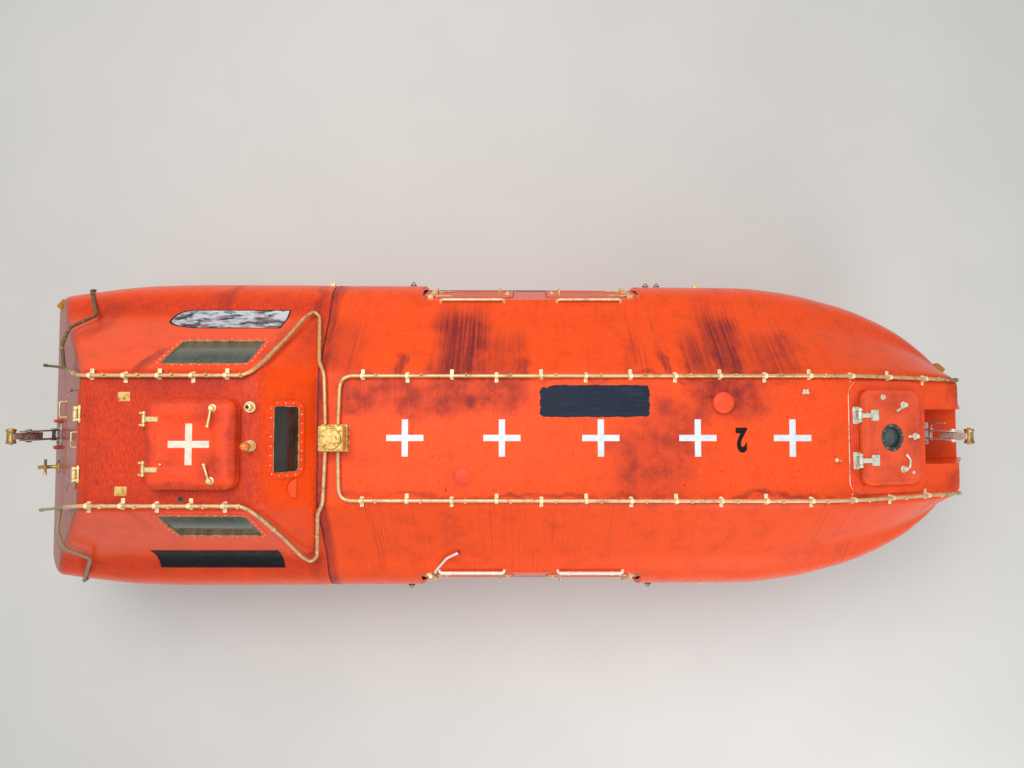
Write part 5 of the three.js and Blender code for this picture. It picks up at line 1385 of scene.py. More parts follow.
bow_lid_paint = gelcoat_paint("orange_bow_lid", fading=0.9, streaks=0.2, weave=0.6, faded=linear("#dd5330"),
                              fresh=linear("#e65a22"), stain=bow_marks)
piece("bow_frame_moulding", [stacked(bow_face, (0, 0), BOW_FRAME, frame_rows, 12, ring=True)], frame_paint,
      "boat", ["bow_hatch_frame"])
lid_rows = [(0.003, LID_SEAT), (0, LID_SEAT + 0.003), (0, LID_TOP - 0.008), (0.002, LID_TOP - 0.0025),
            (0.007, LID_TOP), (0.034, LID_TOP), (0.037, LID_TOP - 0.003), (0.043, LID_TOP - 0.003),
            (0.046, LID_TOP), (0.28, LID_TOP)]
scuttle_hole = turned(on_panel(bow_face, (0, 0, -0.02)), bow_face[3],
                      [(SCUTTLE_RADIUS, 0), (SCUTTLE_RADIUS, 0.14)], 48)
piece("bow_lid_moulding", cut(stacked(bow_face, (0, 0), BOW_LID, lid_rows, 12),
                              [("DIFFERENCE", scuttle_hole)],
                              "bow_lid_moulding", bow_lid_paint), bow_lid_paint, "bow_lid",
      ["bow_hatch_lid"])
sealant_line = bead(bow_face, (0, 0), (BOW_FRAME[0] - 0.004, BOW_FRAME[1] - 0.004, BOW_FRAME[2]), -0.016,
                    0.0035, 0.012)
white_sealant = sealant_paint("white_sealant", "#d8d0c2", "#8f7c69")
piece("bow_frame_sealant", [sealant_line], white_sealant, "boat")
piece("bow_lid_gasket", [stacked(bow_face, (0, 0), (BOW_LID[0] - 0.006, BOW_LID[1] - 0.006, BOW_LID[2]),
                                 [(0, 0.0084), (0, 0.0126), (0.016, 0.0126), (0.016, 0.0084)], ring=True)],
      rubber, "boat")
fixed_parts, moving_parts = [], []
for v in HATCH_HINGE_V:
    fixed, moving = hinge(bow_face, BOW_HINGE_U, v, 0.059, (-0.004, 0.040, 0.018),
                          [(0.013, 0.0545), (0.022, 0.0535), (0.04, 0.0533), (0.190, 0.0533)], 0.85)
    fixed_parts += fixed
    fixed_parts += [slab_part(bow_face, (BOW_HINGE_U - 0.006, v), (0.074, 0.142, 0.012), FRAME_RISE - 0.002,
                              0.027, 0.0015, 4)]
    moving_parts += moving
    moving_parts.append(slab_part(bow_face, (BOW_HINGE_U + 0.160, v), (0.078, 0.092, 0.008), 0.0530, 0.0580,
                                  0.0012, 4))
for u, v, lever in BOW_DOGS:
    moving_parts += lever_dog(bow_face, u, v, LID_TOP - 0.001, lever)
star_foot = [(0.026, -0.002), (0.026, 0.004), (0.012, 0.009), (0.010, 0.020), (0.015, 0.023), (0.006, 0.028)]
screw_head = [(0.014, -0.002), (0.014, 0.003), (0.009, 0.006), (0.003, 0.0065)]
lid_fittings = [turned(on_panel(bow_face, (-0.094, 0.343, LID_TOP)), bow_face[3], star_foot, 5),
                turned(on_panel(bow_face, (0.225, -0.300, LID_TOP)), bow_face[3], screw_head, 12)]
pale_metal = metal_paint("pale_metal", "#d9dac8", "#84836c", "#a09c82", 0.42, 0.34, 0.36, 0.4)
piece("bow_hatch_hinge_feet", fixed_parts, pale_metal, "boat")
piece("bow_hatch_brass", moving_parts + lid_fittings, pale_metal, "bow_lid")
rim_rows = [(0.086, LID_TOP - 0.012), (0.116, LID_TOP - 0.012), (0.116, LID_TOP + 0.003),
            (0.113, LID_TOP + 0.006), (0.094, LID_TOP + 0.007), (0.086, LID_TOP + 0.003)]
a = np.linspace(0, 2 * np.pi, 56, endpoint=False)[:, None]
circle = np.cos(a) * bow_face[1] + np.sin(a) * bow_face[2]
rim_rows = np.array(rim_rows)
rim = strip(bow_face[0] + rim_rows[:, None, :1] * circle + rim_rows[:, None, 1:] * bow_face[3], along=True,
            ends=False)
rim_paint = metal_paint("dark_scuttle_ring", "#3c4744", "#2b3230", "#4e5a4c", 0.5, 0.25, 0.5, 0.1)
piece("scuttle_ring", [rim], rim_paint, "bow_lid")
screws = studs(bow_face, ring_of(8, 0.104, 0.2), LID_TOP + 0.006, 0.005, 0.003)
piece("scuttle_screws", [screws], rivet_metal, "bow_lid")
finished("bow_hatch_scuttle", glass_paint("dark_scuttle_glass", "#2f3c39", "#566460", "#33453c", 0.0),
         "bow_lid", 0.001, 1)

# Side doors
# Four moulded doors, each 760 by 560 mm, in the recesses. Each hangs at its outer end on two painted hinges,
# is sealed with rubber, and has a bent handle and a turning latch at its other end.
DOOR_LOW = -0.026
DOOR_PROUD = 0.008
DOOR_HINGE_V = (-0.190, 0.190)
door_marks = marks_from([(-0.40, 1.4, 0.30, 0.10, 0.3), (0.70, 1.4, 0.30, 0.10, 0.25)], 0.2)
door_paint = gelcoat_paint("orange_side_doors", fading=0.3, streaks=0.9, stain=door_marks)
seals = []
for name, u, hung in DOORS:
    leaf = stacked(side_face, (u, 0), DOOR_SIZE, leaf_rows(DOOR_LOW, DOOR_PROUD, 0.045, 0.004), 10)
    swing = flipped(side_face) if hung > 0 else side_face
    turn = -1 if hung > 0 else 1
    brass_parts, feet_parts = [], []
    for v in DOOR_HINGE_V:
        fixed, moving = hinge(swing, turn * (u + hung * 0.406), turn * v, 0.024, (-0.014, 0.062, -0.010),
                              [(0.013, 0.0165), (0.022, 0.0100), (0.034, 0.0085), (0.183, 0.0085)], 0.85)
        feet_parts += fixed
        brass_parts += moving
    grip_u = u - hung * 0.250
    brass_parts += grip(side_face, (grip_u, -0.070), (grip_u, 0.070), 0.004, 0.053, 0.008)
    latch_u = u - hung * 0.325
    brass_parts.append(slab_part(side_face, (latch_u, 0), (0.045, 0.090, 0.008), 0.006, 0.013, 0.002))
    brass_parts += [turned(on_panel(side_face, (latch_u, 0, 0.010)), side_face[3],
                           [(0.016, 0), (0.016, 0.010), (0.012, 0.014), (0.004, 0.015)], 18),
                    tube(on_panel(side_face, np.linspace((latch_u, 0, 0.022), (latch_u, 0.075, 0.024), 4)),
                         0.0055)]
    seal = gap_seal(side_face, (u, 0), DOOR_SIZE, -0.018, 0.000)
    for side, place in (("port", lambda part: part), ("starboard", mirrored)):
        body = f"door_{side}_{name}"
        piece(f"{body}_leaf", [place(leaf)], door_paint, body, [f"side_door_{side}_{name}"])
        piece(f"{body}_brass", [place(part) for part in brass_parts], old_brass, body)
        piece(f"{body}_hinge_feet", [place(part) for part in feet_parts], old_brass, "boat")
        seals.append(place(seal))
piece("side_door_seals", seals, rubber, "boat")

# Cabin inside
# A white moulded liner with benches along both sides, the engine under its casing amidships aft, and above
# it the helm: a console with its wheel, and a seat with padded cushions on a plain base.
ENGINE_TOP = 1.300
SEAT_X = -2.750
SEAT_LOW = 1.790
SEAT_HIGH = 1.880
WHEEL_CENTRE = (-2.333, 0.0, 2.0415)
WHEEL_AXIS = (-0.949, 0.0, 0.316)


def moulded_paint(name, colour, dirt, rough=0.42):
    """Moulded or painted lining, dulled and scuffed by use."""
    material, tree, shader = new_material(name, colour, rough)
    grime = ramp(tree, cloud(tree, 3.5, 6, 0.65), 0.45, 0.75, 0.0, 0.6)
    pores = cloud(tree, 140, 3, 0.6)
    dress(tree, shader, blend_colour(tree, grime, linear(colour), linear(dirt)),
          ramp(tree, pores, 0.2, 0.8, rough - 0.08, rough + 0.12))
    rough_bump(tree, shader, pores, 0.15, 0.0006)
    return material


liner_white = moulded_paint("liner_white", "#dcd8cd", "#a79b86")
console_grey = moulded_paint("console_grey", "#c9c6bd", "#8d8475")
engine_grey = metal_paint("engine_grey", "#5c6265", "#3c3f40", "#6e4a30", 0.45, 0.3, 0.45, 0.3)
finished("cabin_liner", liner_white, "boat", 0.012, 3)
finished("engine_casing", liner_white, "boat", 0.012, 3)
finished("engine_block", engine_grey, "boat", 0.008, 2)
desk = [(-2.2, 0.5503), (-1.94, 0.5503), (-1.94, 2.22), (-2.26, 2.08), (-2.26, 1.95), (-2.2, 1.9)]
console_rings = np.array([[(x, y, z) for x, z in desk] for y in (-0.300, 0.300)])
console_body = strip(console_rings)
wheel_axis = np.array(WHEEL_AXIS)
wheel_side = np.array((0.0, 1.0, 0.0))
wheel_up = np.cross(wheel_axis, wheel_side)
a = np.linspace(0, 2 * np.pi, 48, endpoint=False)
b = np.linspace(0, 2 * np.pi, 14, endpoint=False)
spoke_way = np.cos(a)[:, None] * wheel_side + np.sin(a)[:, None] * wheel_up
RIM_RADIUS = 0.168
RIM_THICKNESS = 0.012
wheel_rim = strip((np.array(WHEEL_CENTRE) + RIM_RADIUS * spoke_way)[:, None]
                  + RIM_THICKNESS * (np.cos(b)[None, :, None] * spoke_way[:, None]
                                     - np.sin(b)[None, :, None] * wheel_axis), along=True, ends=False)
hub = turned(np.array(WHEEL_CENTRE) - wheel_axis * 0.012, wheel_axis,
             [(0.042, 0), (0.042, 0.014), (0.036, 0.022), (0.012, 0.026)], 28)
spokes = [rod(np.array(WHEEL_CENTRE) + spoke_way[k] * 0.035, np.array(WHEEL_CENTRE) + spoke_way[k] * 0.162,
              0.0075, 12) for k in (4, 20, 36)]
column = rod((-2.24, 0, 2.0095), np.array(WHEEL_CENTRE) - wheel_axis * 0.008, 0.016, 20)
piece("helm_console_moulding", [console_body], console_grey, "boat", ["helm_console"])
piece("helm_wheel", [wheel_rim, hub, *spokes, column], rubber_paint("wheel_black", "#232325", "#3d3c3b"),
      "boat")
seat_base = box_part((SEAT_X - 0.160, -0.160, ENGINE_TOP + GAP), (SEAT_X + 0.160, 0.160, SEAT_LOW))
back_panel = box_part((SEAT_X - 0.260, -0.230, SEAT_LOW + 0.010), (SEAT_X - 0.238, 0.230, 2.350))
under_panel = box_part((SEAT_X - 0.220, -0.225, SEAT_LOW), (SEAT_X + 0.222, 0.225, SEAT_LOW + 0.014))
piece("helm_seat_base", [seat_base, back_panel, under_panel], console_grey, "boat", ["helm_seat"])
black_vinyl = rubber_paint("black_vinyl", "#26282a", "#3a3b3c")


def weld(mesh, reach):
    """Joins points of a mesh that lie within reach of each other, and turns its faces outward."""
    shape = bmesh.new()
    shape.from_mesh(mesh)
    bmesh.ops.remove_doubles(shape, verts=shape.verts, dist=reach)
    bmesh.ops.recalc_face_normals(shape, faces=shape.faces)
    shape.to_mesh(mesh)
    shape.free()


def cushion(low, high, edge, swell, axis):
    """A filled cushion between two corners: a rounded block whose two broad faces swell.

    Each point of a cube grid is pulled onto the block's rounded box, then lifted along `axis` by swell *
    (1-p^4)(1-q^4), where p and q run from -1 to 1 over the broad face."""
    low, high = np.array(low, float), np.array(high, float)
    middle, half = (low + high) / 2, (high - low) / 2
    n = 28
    t = np.linspace(-1, 1, n)
    u, v = np.meshgrid(t, t, indexing="ij")
    sides, faces = [], []
    index = np.arange(n * n).reshape(n, n)
    quads = np.stack([index[:-1, :-1], index[1:, :-1], index[1:, 1:], index[:-1, 1:]], -1).reshape(-1, 4)
    for k in range(3):
        for sign in (-1, 1):
            cube = np.empty((n, n, 3))
            cube[..., k] = sign
            cube[..., (k + 1) % 3] = u * sign
            cube[..., (k + 2) % 3] = v
            faces += (quads + len(sides) * n * n).tolist()
            sides.append(cube.reshape(-1, 3))
    cube = np.concatenate(sides)
    core = np.clip(cube * half, -(half - edge), half - edge)
    way = cube * half - core
    length = np.linalg.norm(way, axis=1, keepdims=True)
    shape = core + np.where(length > 1e-9, way / np.maximum(length, 1e-9) * edge, 0)
    p, q = (np.clip(shape[:, i] / half[i], -1, 1) for i in range(3) if i != axis)
    lift = swell * (1 - p ** 4) * (1 - q ** 4)
    shape[:, axis] += np.where(cube[:, axis] >= 0, lift, -lift * 0.2) * (np.abs(cube[:, axis]) > 0.98)
    return shape + middle, faces


for name, low, high, axis in [
    ("seat_cushion", (SEAT_X - 0.165, -0.222, SEAT_LOW + 0.0145),
     (SEAT_X + 0.226, 0.222, SEAT_HIGH - 0.008), 2),
    ("back_cushion", (SEAT_X - 0.2375, -0.222, SEAT_HIGH + 0.02), (SEAT_X - 0.184, 0.222, 2.345), 0),
]:
    made = piece(name, [cushion(low, high, 0.022, 0.008, axis)], black_vinyl, "boat")
    weld(made.data, 0.0001)
    made.data.shade_smooth()

# Deluge pipes and feed box
# Brass water-spray pipes, 30 mm across, screwed down in clamps with a small spray nozzle between each pair.
# Two run along the canopy and two over the wheelhouse and down its aft corners, all fed from a riveted box
# behind the seam.
PIPE_RADIUS = 0.015
PIPE_LIFT = 0.034
ROOF_PIPE_Z = 3.234
PIPE_BEND_X = 2.99
BOW_LEAN = -20 / 950
CANOPY_PIPE_Y = 0.520
ROOF_PIPE_Y = 0.500
CLAMP_PITCH = 0.375
FEED_BOX_X = -1.505
deck_at = [(-2.0, 2.75), (2.48, 2.749), (2.74, 2.724), (2.99, 2.661), (3.24, 2.585), (3.5, 2.505),
           (3.75, 2.429), (3.95, 2.368)]


def deck_height(x):
    """Height of the deck's edge at x."""
    return np.interp(x, [p[0] for p in deck_at], [p[1] for p in deck_at])


def pipe_crust(tree):
    """Brass pipe is crusted green and brown toward its aft ends, and a little at the bow."""
    x = axes_of(tree)["X"]
    return plus(tree, ramp(tree, x, -3.9, -3.3, 0.62, 0.30), ramp(tree, x, 3.55, 3.95, 0.0, 0.25))


PIPE_FINISH = (0.42, pipe_crust, 0.4, 0.4, (0.6, 0.002))
pipe_brass_port = metal_paint("pipe_brass_port", "#d0a872", "#86623a", "#5c4f33", *PIPE_FINISH)
pipe_brass_starboard = metal_paint("pipe_brass_starboard", "#d3b184", "#8c6c48", "#857862", *PIPE_FINISH)
entry_z = DECK_Z + PIPE_LIFT
canopy_route = np.array([
    (-1.477, 0.1153, entry_z), (-1.477, 0.155, entry_z), (-1.469, 0.430, entry_z), (-1.447, 0.495, entry_z),
    (-1.387, CANOPY_PIPE_Y, entry_z), (2.480, CANOPY_PIPE_Y, entry_z), (2.740, CANOPY_PIPE_Y, 2.758),
    (PIPE_BEND_X, CANOPY_PIPE_Y, 2.695), (3.940, 0.500, 2.409),
])
wheelhouse_route = np.array([
    (-1.585, 0.1153, entry_z), (-1.585, 0.155, entry_z), (-1.600, 0.540, entry_z), (-1.660, 0.640, 2.722),
    (-1.790, 1.090, 2.284), (-1.850, 1.140, 2.262), (-1.895, 1.080, 2.360), (-1.945, 0.832, 2.735),
    (-1.985, 0.615, 3.110), (-2.040, 0.530, 3.215), (-2.110, ROOF_PIPE_Y, ROOF_PIPE_Z),
    (-3.330, ROOF_PIPE_Y, ROOF_PIPE_Z),
    (-3.420, 0.510, 3.195), (-3.880, 0.600, 2.650), (-3.900, 0.800, 2.655), (-3.905, 0.960, 2.555),
    (-3.810, 1.098, 2.335), (-4.090, 1.385, 1.985), (-4.290, 1.452, 1.620),
])


def eased_route(route, turn):
    """A pipe's run with each bend turned over a reach no longer than 45% of its shorter side."""
    side = np.linalg.norm(np.diff(route, axis=0), axis=1)
    reach = np.minimum(turn, 0.45 * np.minimum(side[:-1], side[1:]))
    reach = [0, *reach.tolist(), 0]
    return rounded(route, reach, reach, [8 if r else 0 for r in reach], guard=0.0008)


def sleeve(route, leg, share, half=0.012, radius=0.0168):
    """A screwed coupling round a pipe, part of the way along one leg of its run."""
    start, end = route[leg], route[leg + 1]
    way = (end - start) / np.linalg.norm(end - start)
    rows = [(radius - 0.003, -half), (radius, -half + 0.002), (radius, -0.004), (radius - 0.0015, -0.003),
            (radius - 0.0015, 0.003), (radius, 0.004), (radius, half - 0.002), (radius - 0.003, half)]
    return turned(start + (end - start) * share, way, rows, 12)


def clamp_at(x, y, low, pipe_z, slope, foot_side, lean=0.0):
    """A saddle clamp: a cushion block under the pipe, a strap over it, and a foot screwed down on both sides.

    The strap is a half circle of radius pipe + 5 mm carried 26 mm along the pipe."""
    along = np.array([1.0, lean, -slope]) / math.sqrt(1 + lean ** 2 + slope ** 2)
    face = panel((x, y, pipe_z), along, (slope, 0, 1))
    drop = (low - pipe_z) - 0.004
    block = stacked(face, (0, 0), (0.034, 0.044, 0.004), [(0, drop), (0, -0.006), (0.002, -0.003)], 3)
    t = np.linspace(-0.35, np.pi + 0.35, 15)
    arc = np.stack([np.cos(t), np.sin(t)], -1)
    outer, inner = arc * (PIPE_RADIUS + 0.0050), arc * (PIPE_RADIUS + 0.0008)
    loop = np.concatenate([outer, inner[::-1]])
    rings = np.array([np.stack([np.full(len(loop), u), loop[:, 0], loop[:, 1]], -1) for u in (-0.013, 0.013)])
    points, faces = strip(on_panel(face, rings), ends=False)
    count = len(loop)
    half = count // 2
    caps = [[j, count - 1 - j, count - 2 - j, j + 1] for j in range(half - 1)]
    faces += [cap[::-1] for cap in caps]
    faces += [[v + count for v in cap] for cap in caps]
    seat = low - pipe_z
    foot = slab_part(face, (0, foot_side * 0.012), (0.030, 0.086, 0.006), seat - 0.001, seat + 0.0045,
                     0.0012, 4)
    bolts = studs(face, [(0, foot_side * 0.044), (0, foot_side * -0.024)], seat + 0.0045, 0.0062, 0.0055, 6)
    return [block, (points, faces), foot, bolts]


def nozzle_at(x, y, z, slope, out):
    """A spray nozzle: a small tee on the pipe with a hexagonal body and a slotted tip, leaning outboard."""
    foot = np.array((x, y, z))
    way = np.array((0, 0.012 * out, 0.042))
    tee = collar(foot, (1, 0, -slope), 0.0142, 0.0172, -0.013, 0.013, 16)
    stem = turned(foot, way, [(0.0085, 0.012), (0.0085, 0.020), (0.0115, 0.021), (0.0115, 0.032),
                              (0.009, 0.034), (0.0075, 0.043), (0.0035, 0.0455)], 6)
    return [tee, stem]


def canopy_pipe_parts():
    """The canopy run on port, as (pipe with its nozzles and couplings, clamps)."""
    parts, clamps = [tube(eased_route(canopy_route, 0.05), PIPE_RADIUS)], []
    marks = np.arange(-1.280, 3.850, CLAMP_PITCH)
    for k, x in enumerate(marks):
        slope = float((deck_height(x - 0.02) - deck_height(x + 0.02)) / 0.04)
        lean = BOW_LEAN if x > PIPE_BEND_X else 0.0
        y = CANOPY_PIPE_Y + lean * max(x - PIPE_BEND_X, 0)
        z = float(deck_height(x)) + PIPE_LIFT
        clamps += clamp_at(x, y, z - PIPE_LIFT - 0.001, z, slope, -1 if k % 2 else 1, lean)
        if x + 0.12 < 3.85:
            ahead = float(deck_height(x + 0.12)) + PIPE_LIFT
            parts += nozzle_at(x + 0.12, y + lean * 0.12, ahead, slope, 1)
    parts += [sleeve(canopy_route, 1, 0.12), sleeve(canopy_route, 1, 0.85), sleeve(canopy_route, 4, 0.025),
              sleeve(canopy_route, 4, 0.52), sleeve(canopy_route, 4, 0.96), sleeve(canopy_route, 7, 0.35),
              sleeve(canopy_route, 7, 0.985, 0.014, 0.018)]
    return parts, clamps


def wheelhouse_pipe_parts():
    """The wheelhouse run on port, as (pipe with its nozzles and couplings, clamps)."""
    parts, clamps = [tube(eased_route(wheelhouse_route, 0.045), PIPE_RADIUS)], []
    for k, x in enumerate(np.arange(-2.230, -3.300, -CLAMP_PITCH * 0.7)):
        clamps += clamp_at(x, ROOF_PIPE_Y, ROOF_Z - 0.0005, ROOF_PIPE_Z, 0.0, -1 if k % 2 else 1)
        parts += nozzle_at(x + 0.12, ROOF_PIPE_Y, ROOF_PIPE_Z, 0.0, 1)
    branch = np.array([(-3.880, 0.600, 2.650), (-4.060, 0.620, 2.640)])
    parts.append(tube(np.linspace(branch[0], branch[1], 5), 0.011))
    parts.append(turned(branch[1], branch[1] - branch[0],
                        [(0.012, -0.03), (0.016, -0.028), (0.016, -0.006), (0.013, 0.0), (0.006, 0.002)], 6))
    for leg, share in ((1, 0.1), (1, 0.9), (3, 0.12), (3, 0.88), (6, 0.2), (7, 0.8), (10, 0.04), (10, 0.96),
                       (12, 0.12), (12, 0.9), (15, 0.5), (16, 0.15), (17, 0.2), (17, 0.92)):
        parts.append(sleeve(wheelhouse_route, leg, share))
    for leg, share in ((3, 0.5), (7, 0.45), (12, 0.5), (16, 0.6)):
        parts.append(sleeve(wheelhouse_route, leg, share, 0.013, 0.0190))
    return parts, clamps


clamp_metal = metal_paint("clamp_metal", "#ecdcb0", "#a88c58", "#8a7248", 0.42, 0.32, 0.42, 0.25)
for name, (parts, clamps) in (("canopy", canopy_pipe_parts()), ("wheelhouse", wheelhouse_pipe_parts())):
    piece(f"deluge_{name}_clamps", clamps + [mirrored(part) for part in clamps], clamp_metal, "boat")
    piece(f"deluge_{name}_port", parts, pipe_brass_port, "boat", [f"deluge_pipe_{name}_port"], 40)
    piece(f"deluge_{name}_starboard", [mirrored(part) for part in parts], pipe_brass_starboard, "boat",
          [f"deluge_pipe_{name}_starboard"], 40)
box_face = level_panel(FEED_BOX_X, 0, DECK_Z)
box_brass = metal_paint("box_brass", "#dcb568", "#b3843e", "#8a5526", 0.46, 0.42, 0.42, 0.4)
box_parts = [
    slab_part(box_face, (0, 0), (0.230, 0.230, 0.006), GAP, 0.008, 0.002, 4),
    stacked(box_face, (0, 0), (0.224, 0.224, 0.010), [(0, 0.007), (0, 0.056), (0.003, 0.060),
                                                      (0.0095, 0.060)], 5),
    stacked(box_face, (0, 0), (0.205, 0.205, 0.014), [(0, 0.058), (0, 0.164), (0.002, 0.168), (0.006, 0.170),
                                                      (0.09, 0.170)], 6),
    turned(box_face[0], box_face[3], [(0.085, 0.169), (0.085, 0.179), (0.083, 0.1815), (0.078, 0.182),
                                      (0.052, 0.182), (0.050, 0.1805), (0.020, 0.1805), (0.018, 0.182),
                                      (0.002, 0.182)], 40),
    studs(box_face, ring_of(12, 0.068), 0.1815, 0.0045, 0.0035, 8),
    studs(box_face, around(0.182, 0.182, 0.008, 0.060), 0.1695, 0.005, 0.004, 8),
    studs(box_face, corners_of(0.104, 0.104), 0.0595, 0.006, 0.004, 6),
]
piece("feed_box", box_parts, box_brass, "boat", ["deluge_feed_box"])
# A near-black finish, made with the rubber finish, for painted shade in holes, slots and gaps.
painted_shade_black = rubber_paint("painted_shade_slots", "#151413", "#2b2420")
# The near-black ring round the lid's disc is a gasket drawn near-black as painted shade in the gap round the
# lid.
piece("feed_box_gasket_shade", [collar(box_face[0], box_face[3], 0.0852, 0.0880, 0.168, 0.1755, 40)], painted_shade_black,
      "boat")
# Three near-black plates on the box's fore side are painted shade in its slots.
fore_side = panel((FEED_BOX_X + 0.1125, 0, DECK_Z + 0.030), (0, 1, 0), (1, 0, 0))
piece("feed_box_slot_shade", [slab_part(fore_side, (y, 0), (0.046, 0.018, 0.006), -0.004, 0.0006, 0.0003, 4)
                         for y in (-0.07, 0.0, 0.07)], painted_shade_black, "boat")

# Deck and roof fittings
# A mushroom vent and a flush cap on the deck, and on the roof an orange position lamp on a brass base and a
# small brass vent. Small lugs and pad eyes are screwed along the sides.
LAMP_PLACE = (-2.045, -0.043)
VENT_PLACE = (1.739, 0.296)
CAP_PLACE = (-0.439, -0.326)


def standing(place, z, profile, sides=32):
    """A round fitting standing at a place on a level."""
    return turned((*place, z), (0, 0, 1), profile, sides)


fitting_paint = gelcoat_paint("orange_fittings", fading=0.7, streaks=0.2, weave=0.4, faded=linear("#d8452a"),
                              fresh=linear("#e8542c"))
piece("deck_vent_cap", [
    standing(VENT_PLACE, DECK_Z, [
        (0.066, GAP), (0.066, 0.005), (0.060, 0.008), (0.060, 0.031), (0.086, 0.032), (0.090, 0.036),
        (0.089, 0.042), (0.082, 0.052), (0.066, 0.060), (0.040, 0.0618), (0.006, 0.062)], 40),
], fitting_paint, "boat", ["deck_vent"])
piece("deck_cap_plug", [
    standing(CAP_PLACE, DECK_Z, [
        (0.080, GAP), (0.080, 0.005), (0.078, 0.0075), (0.071, 0.0078), (0.069, 0.0060), (0.066, 0.0060),
        (0.064, 0.0125), (0.060, 0.014), (0.005, 0.014)], 40),
], fitting_paint, "boat", ["deck_cap"])
lamp_amber, amber_tree, amber_shader = new_material("lamp_amber", "#e8741c", 0.28)
amber_shader.inputs["Transmission Weight"].default_value = 0.25
amber_shader.inputs["Coat Weight"].default_value = 0.4
amber_dust = ramp(amber_tree, cloud(amber_tree, 30, 5, 0.6), 0.42, 0.7, 0.0, 0.6)
amber_colour = blend_colour(amber_tree, amber_dust, linear("#ea7a1c"), linear("#b06a3c"))
dress(amber_tree, amber_shader, amber_colour)
piece("lamp_base", [
    standing(LAMP_PLACE, ROOF_Z, [(0.045, GAP), (0.045, 0.006), (0.041, 0.009), (0.041, 0.040),
                                  (0.039, 0.041), (0.039, 0.056), (0.036, 0.060)], 32),
    studs(level_panel(*LAMP_PLACE, ROOF_Z), corners_of(0.02695, 0.02695), 0.0065, 0.0042, 0.003, 8),
], old_brass, "boat", ["position_lamp"])
a = np.linspace(0, np.pi / 2, 10)
dome_rows = [(0.0345, 0.058), (0.0345, 0.100)] + [(max(0.036 * math.cos(t), 0.001),
                                                   0.103 + 0.036 * math.sin(t)) for t in a]
piece("lamp_dome", [standing(LAMP_PLACE, ROOF_Z, dome_rows, 32)], lamp_amber, "boat")
roof_vent_place = (LAMP_PLACE[0], 0.257)
piece("roof_vent_ring", [
    standing(roof_vent_place, ROOF_Z, [(0.044, GAP), (0.044, 0.018), (0.042, 0.022), (0.030, 0.022),
                                       (0.027, 0.020), (0.026, 0.068), (0.022, 0.070), (0.003, 0.070)], 32),
    studs(level_panel(*roof_vent_place, ROOF_Z), ring_of(6, 0.036), 0.0215, 0.004, 0.003, 8),
], old_brass, "boat", ["roof_vent"])
# A near-black disc in the vent's mouth is painted shade in its bore.
piece("roof_vent_bore_shade", [
    standing(roof_vent_place, 3.27, [(0.015, -0.004), (0.015, 0.0006), (0.014, 0.001)], 20),
], painted_shade_black, "boat")


def plate_and_screws(face, centre, size, thick):
    """A blank plate with a screw in each corner."""
    corners = corners_of(size[0] / 2 - 0.012, size[1] / 2 - 0.012, centre)
    return [slab_part(face, centre, size, -0.001, thick, 0.0008, 4),
            studs(face, corners, thick, 0.0035, 0.002, 8)]


level_roof = level_panel(0, 0, ROOF_Z)
blank_plates = plate_and_screws(level_roof, (-3.03, 0.338), (0.094, 0.072, 0.006), 0.0018)
blank_plates += plate_and_screws(level_roof, (-3.04, -0.392), (0.094, 0.072, 0.006), 0.0018)
piece("roof_blank_plates", blank_plates, box_brass, "boat")
small_hole = level_panel(-2.575, -0.452, ROOF_Z)
piece("roof_drain_ring", [collar(small_hole[0], (0, 0, 1), 0.012, 0.022, -0.001, 0.004, 24)], rim_paint,
      "boat")
# A near-black disc in the ring is painted shade in the drain hole.
piece("roof_drain_bore_shade", [standing((-2.575, -0.452), ROOF_Z, [(0.013, -0.001), (0.013, 0.0012)], 20)],
      painted_shade_black, "boat")
half_disc = panel((0, 0, 0), (0, 1, 0), (0.45, 0, 0.33))
half_disc[0] = on_panel(front_face, (-0.40, -0.075, 0))
a = np.linspace(0, np.pi, 22)
disc_flat = np.stack([np.cos(a), np.sin(a)], -1) * 0.075
disc_rows = [np.concatenate([disc_flat * grown, np.full((22, 1), lift)], -1)
             for grown, lift in ((1.0, -0.001), (1.0, 0.004), (0.95, 0.007))]
piece("front_half_disc", [strip(on_panel(half_disc, np.array(disc_rows)))], fitting_paint, "boat")


def lug_on_side(x, z, size, out, half_breadth):
    """A small block standing out of the side, on port."""
    face = panel((x, half_breadth, z), (1, 0, 0), (0, 1, 0))
    return slab_part(face, (0, 0), (size, size * 0.8, 0.008), -0.020, out, 0.004, 4)


side_at = {x: float(faired(CANOPY_STATIONS, 1, np.array([x]))[0]) for x in (-1.86, 1.84, -1.02, 1.31, 1.42)}
lugs = [lug_on_side(x, 1.60, 0.055, 0.026, side_at[x]) for x in (-1.86, 1.84)]
piece("side_lugs", lugs + [mirrored(part) for part in lugs], old_brass, "boat")


def pad_eye(x, side_y, z):
    """A pad eye on the side: a screwed plate and a half ring standing out of it, on port."""
    face = panel((x, side_y, z), (1, 0, 0), (0, 1, 0.05))
    ring = np.stack([np.cos(np.linspace(0, np.pi, 11)) * 0.018, np.zeros(11),
                     np.sin(np.linspace(0, np.pi, 11)) * 0.024 + 0.002], -1)
    return [slab_part(face, (0, 0), (0.062, 0.028, 0.008), -0.004, 0.004, 0.001, 4),
            tube(on_panel(face, ring), 0.0042, 10),
            studs(face, [(-0.024, 0), (0.024, 0)], 0.004, 0.004, 0.0025, 8)]


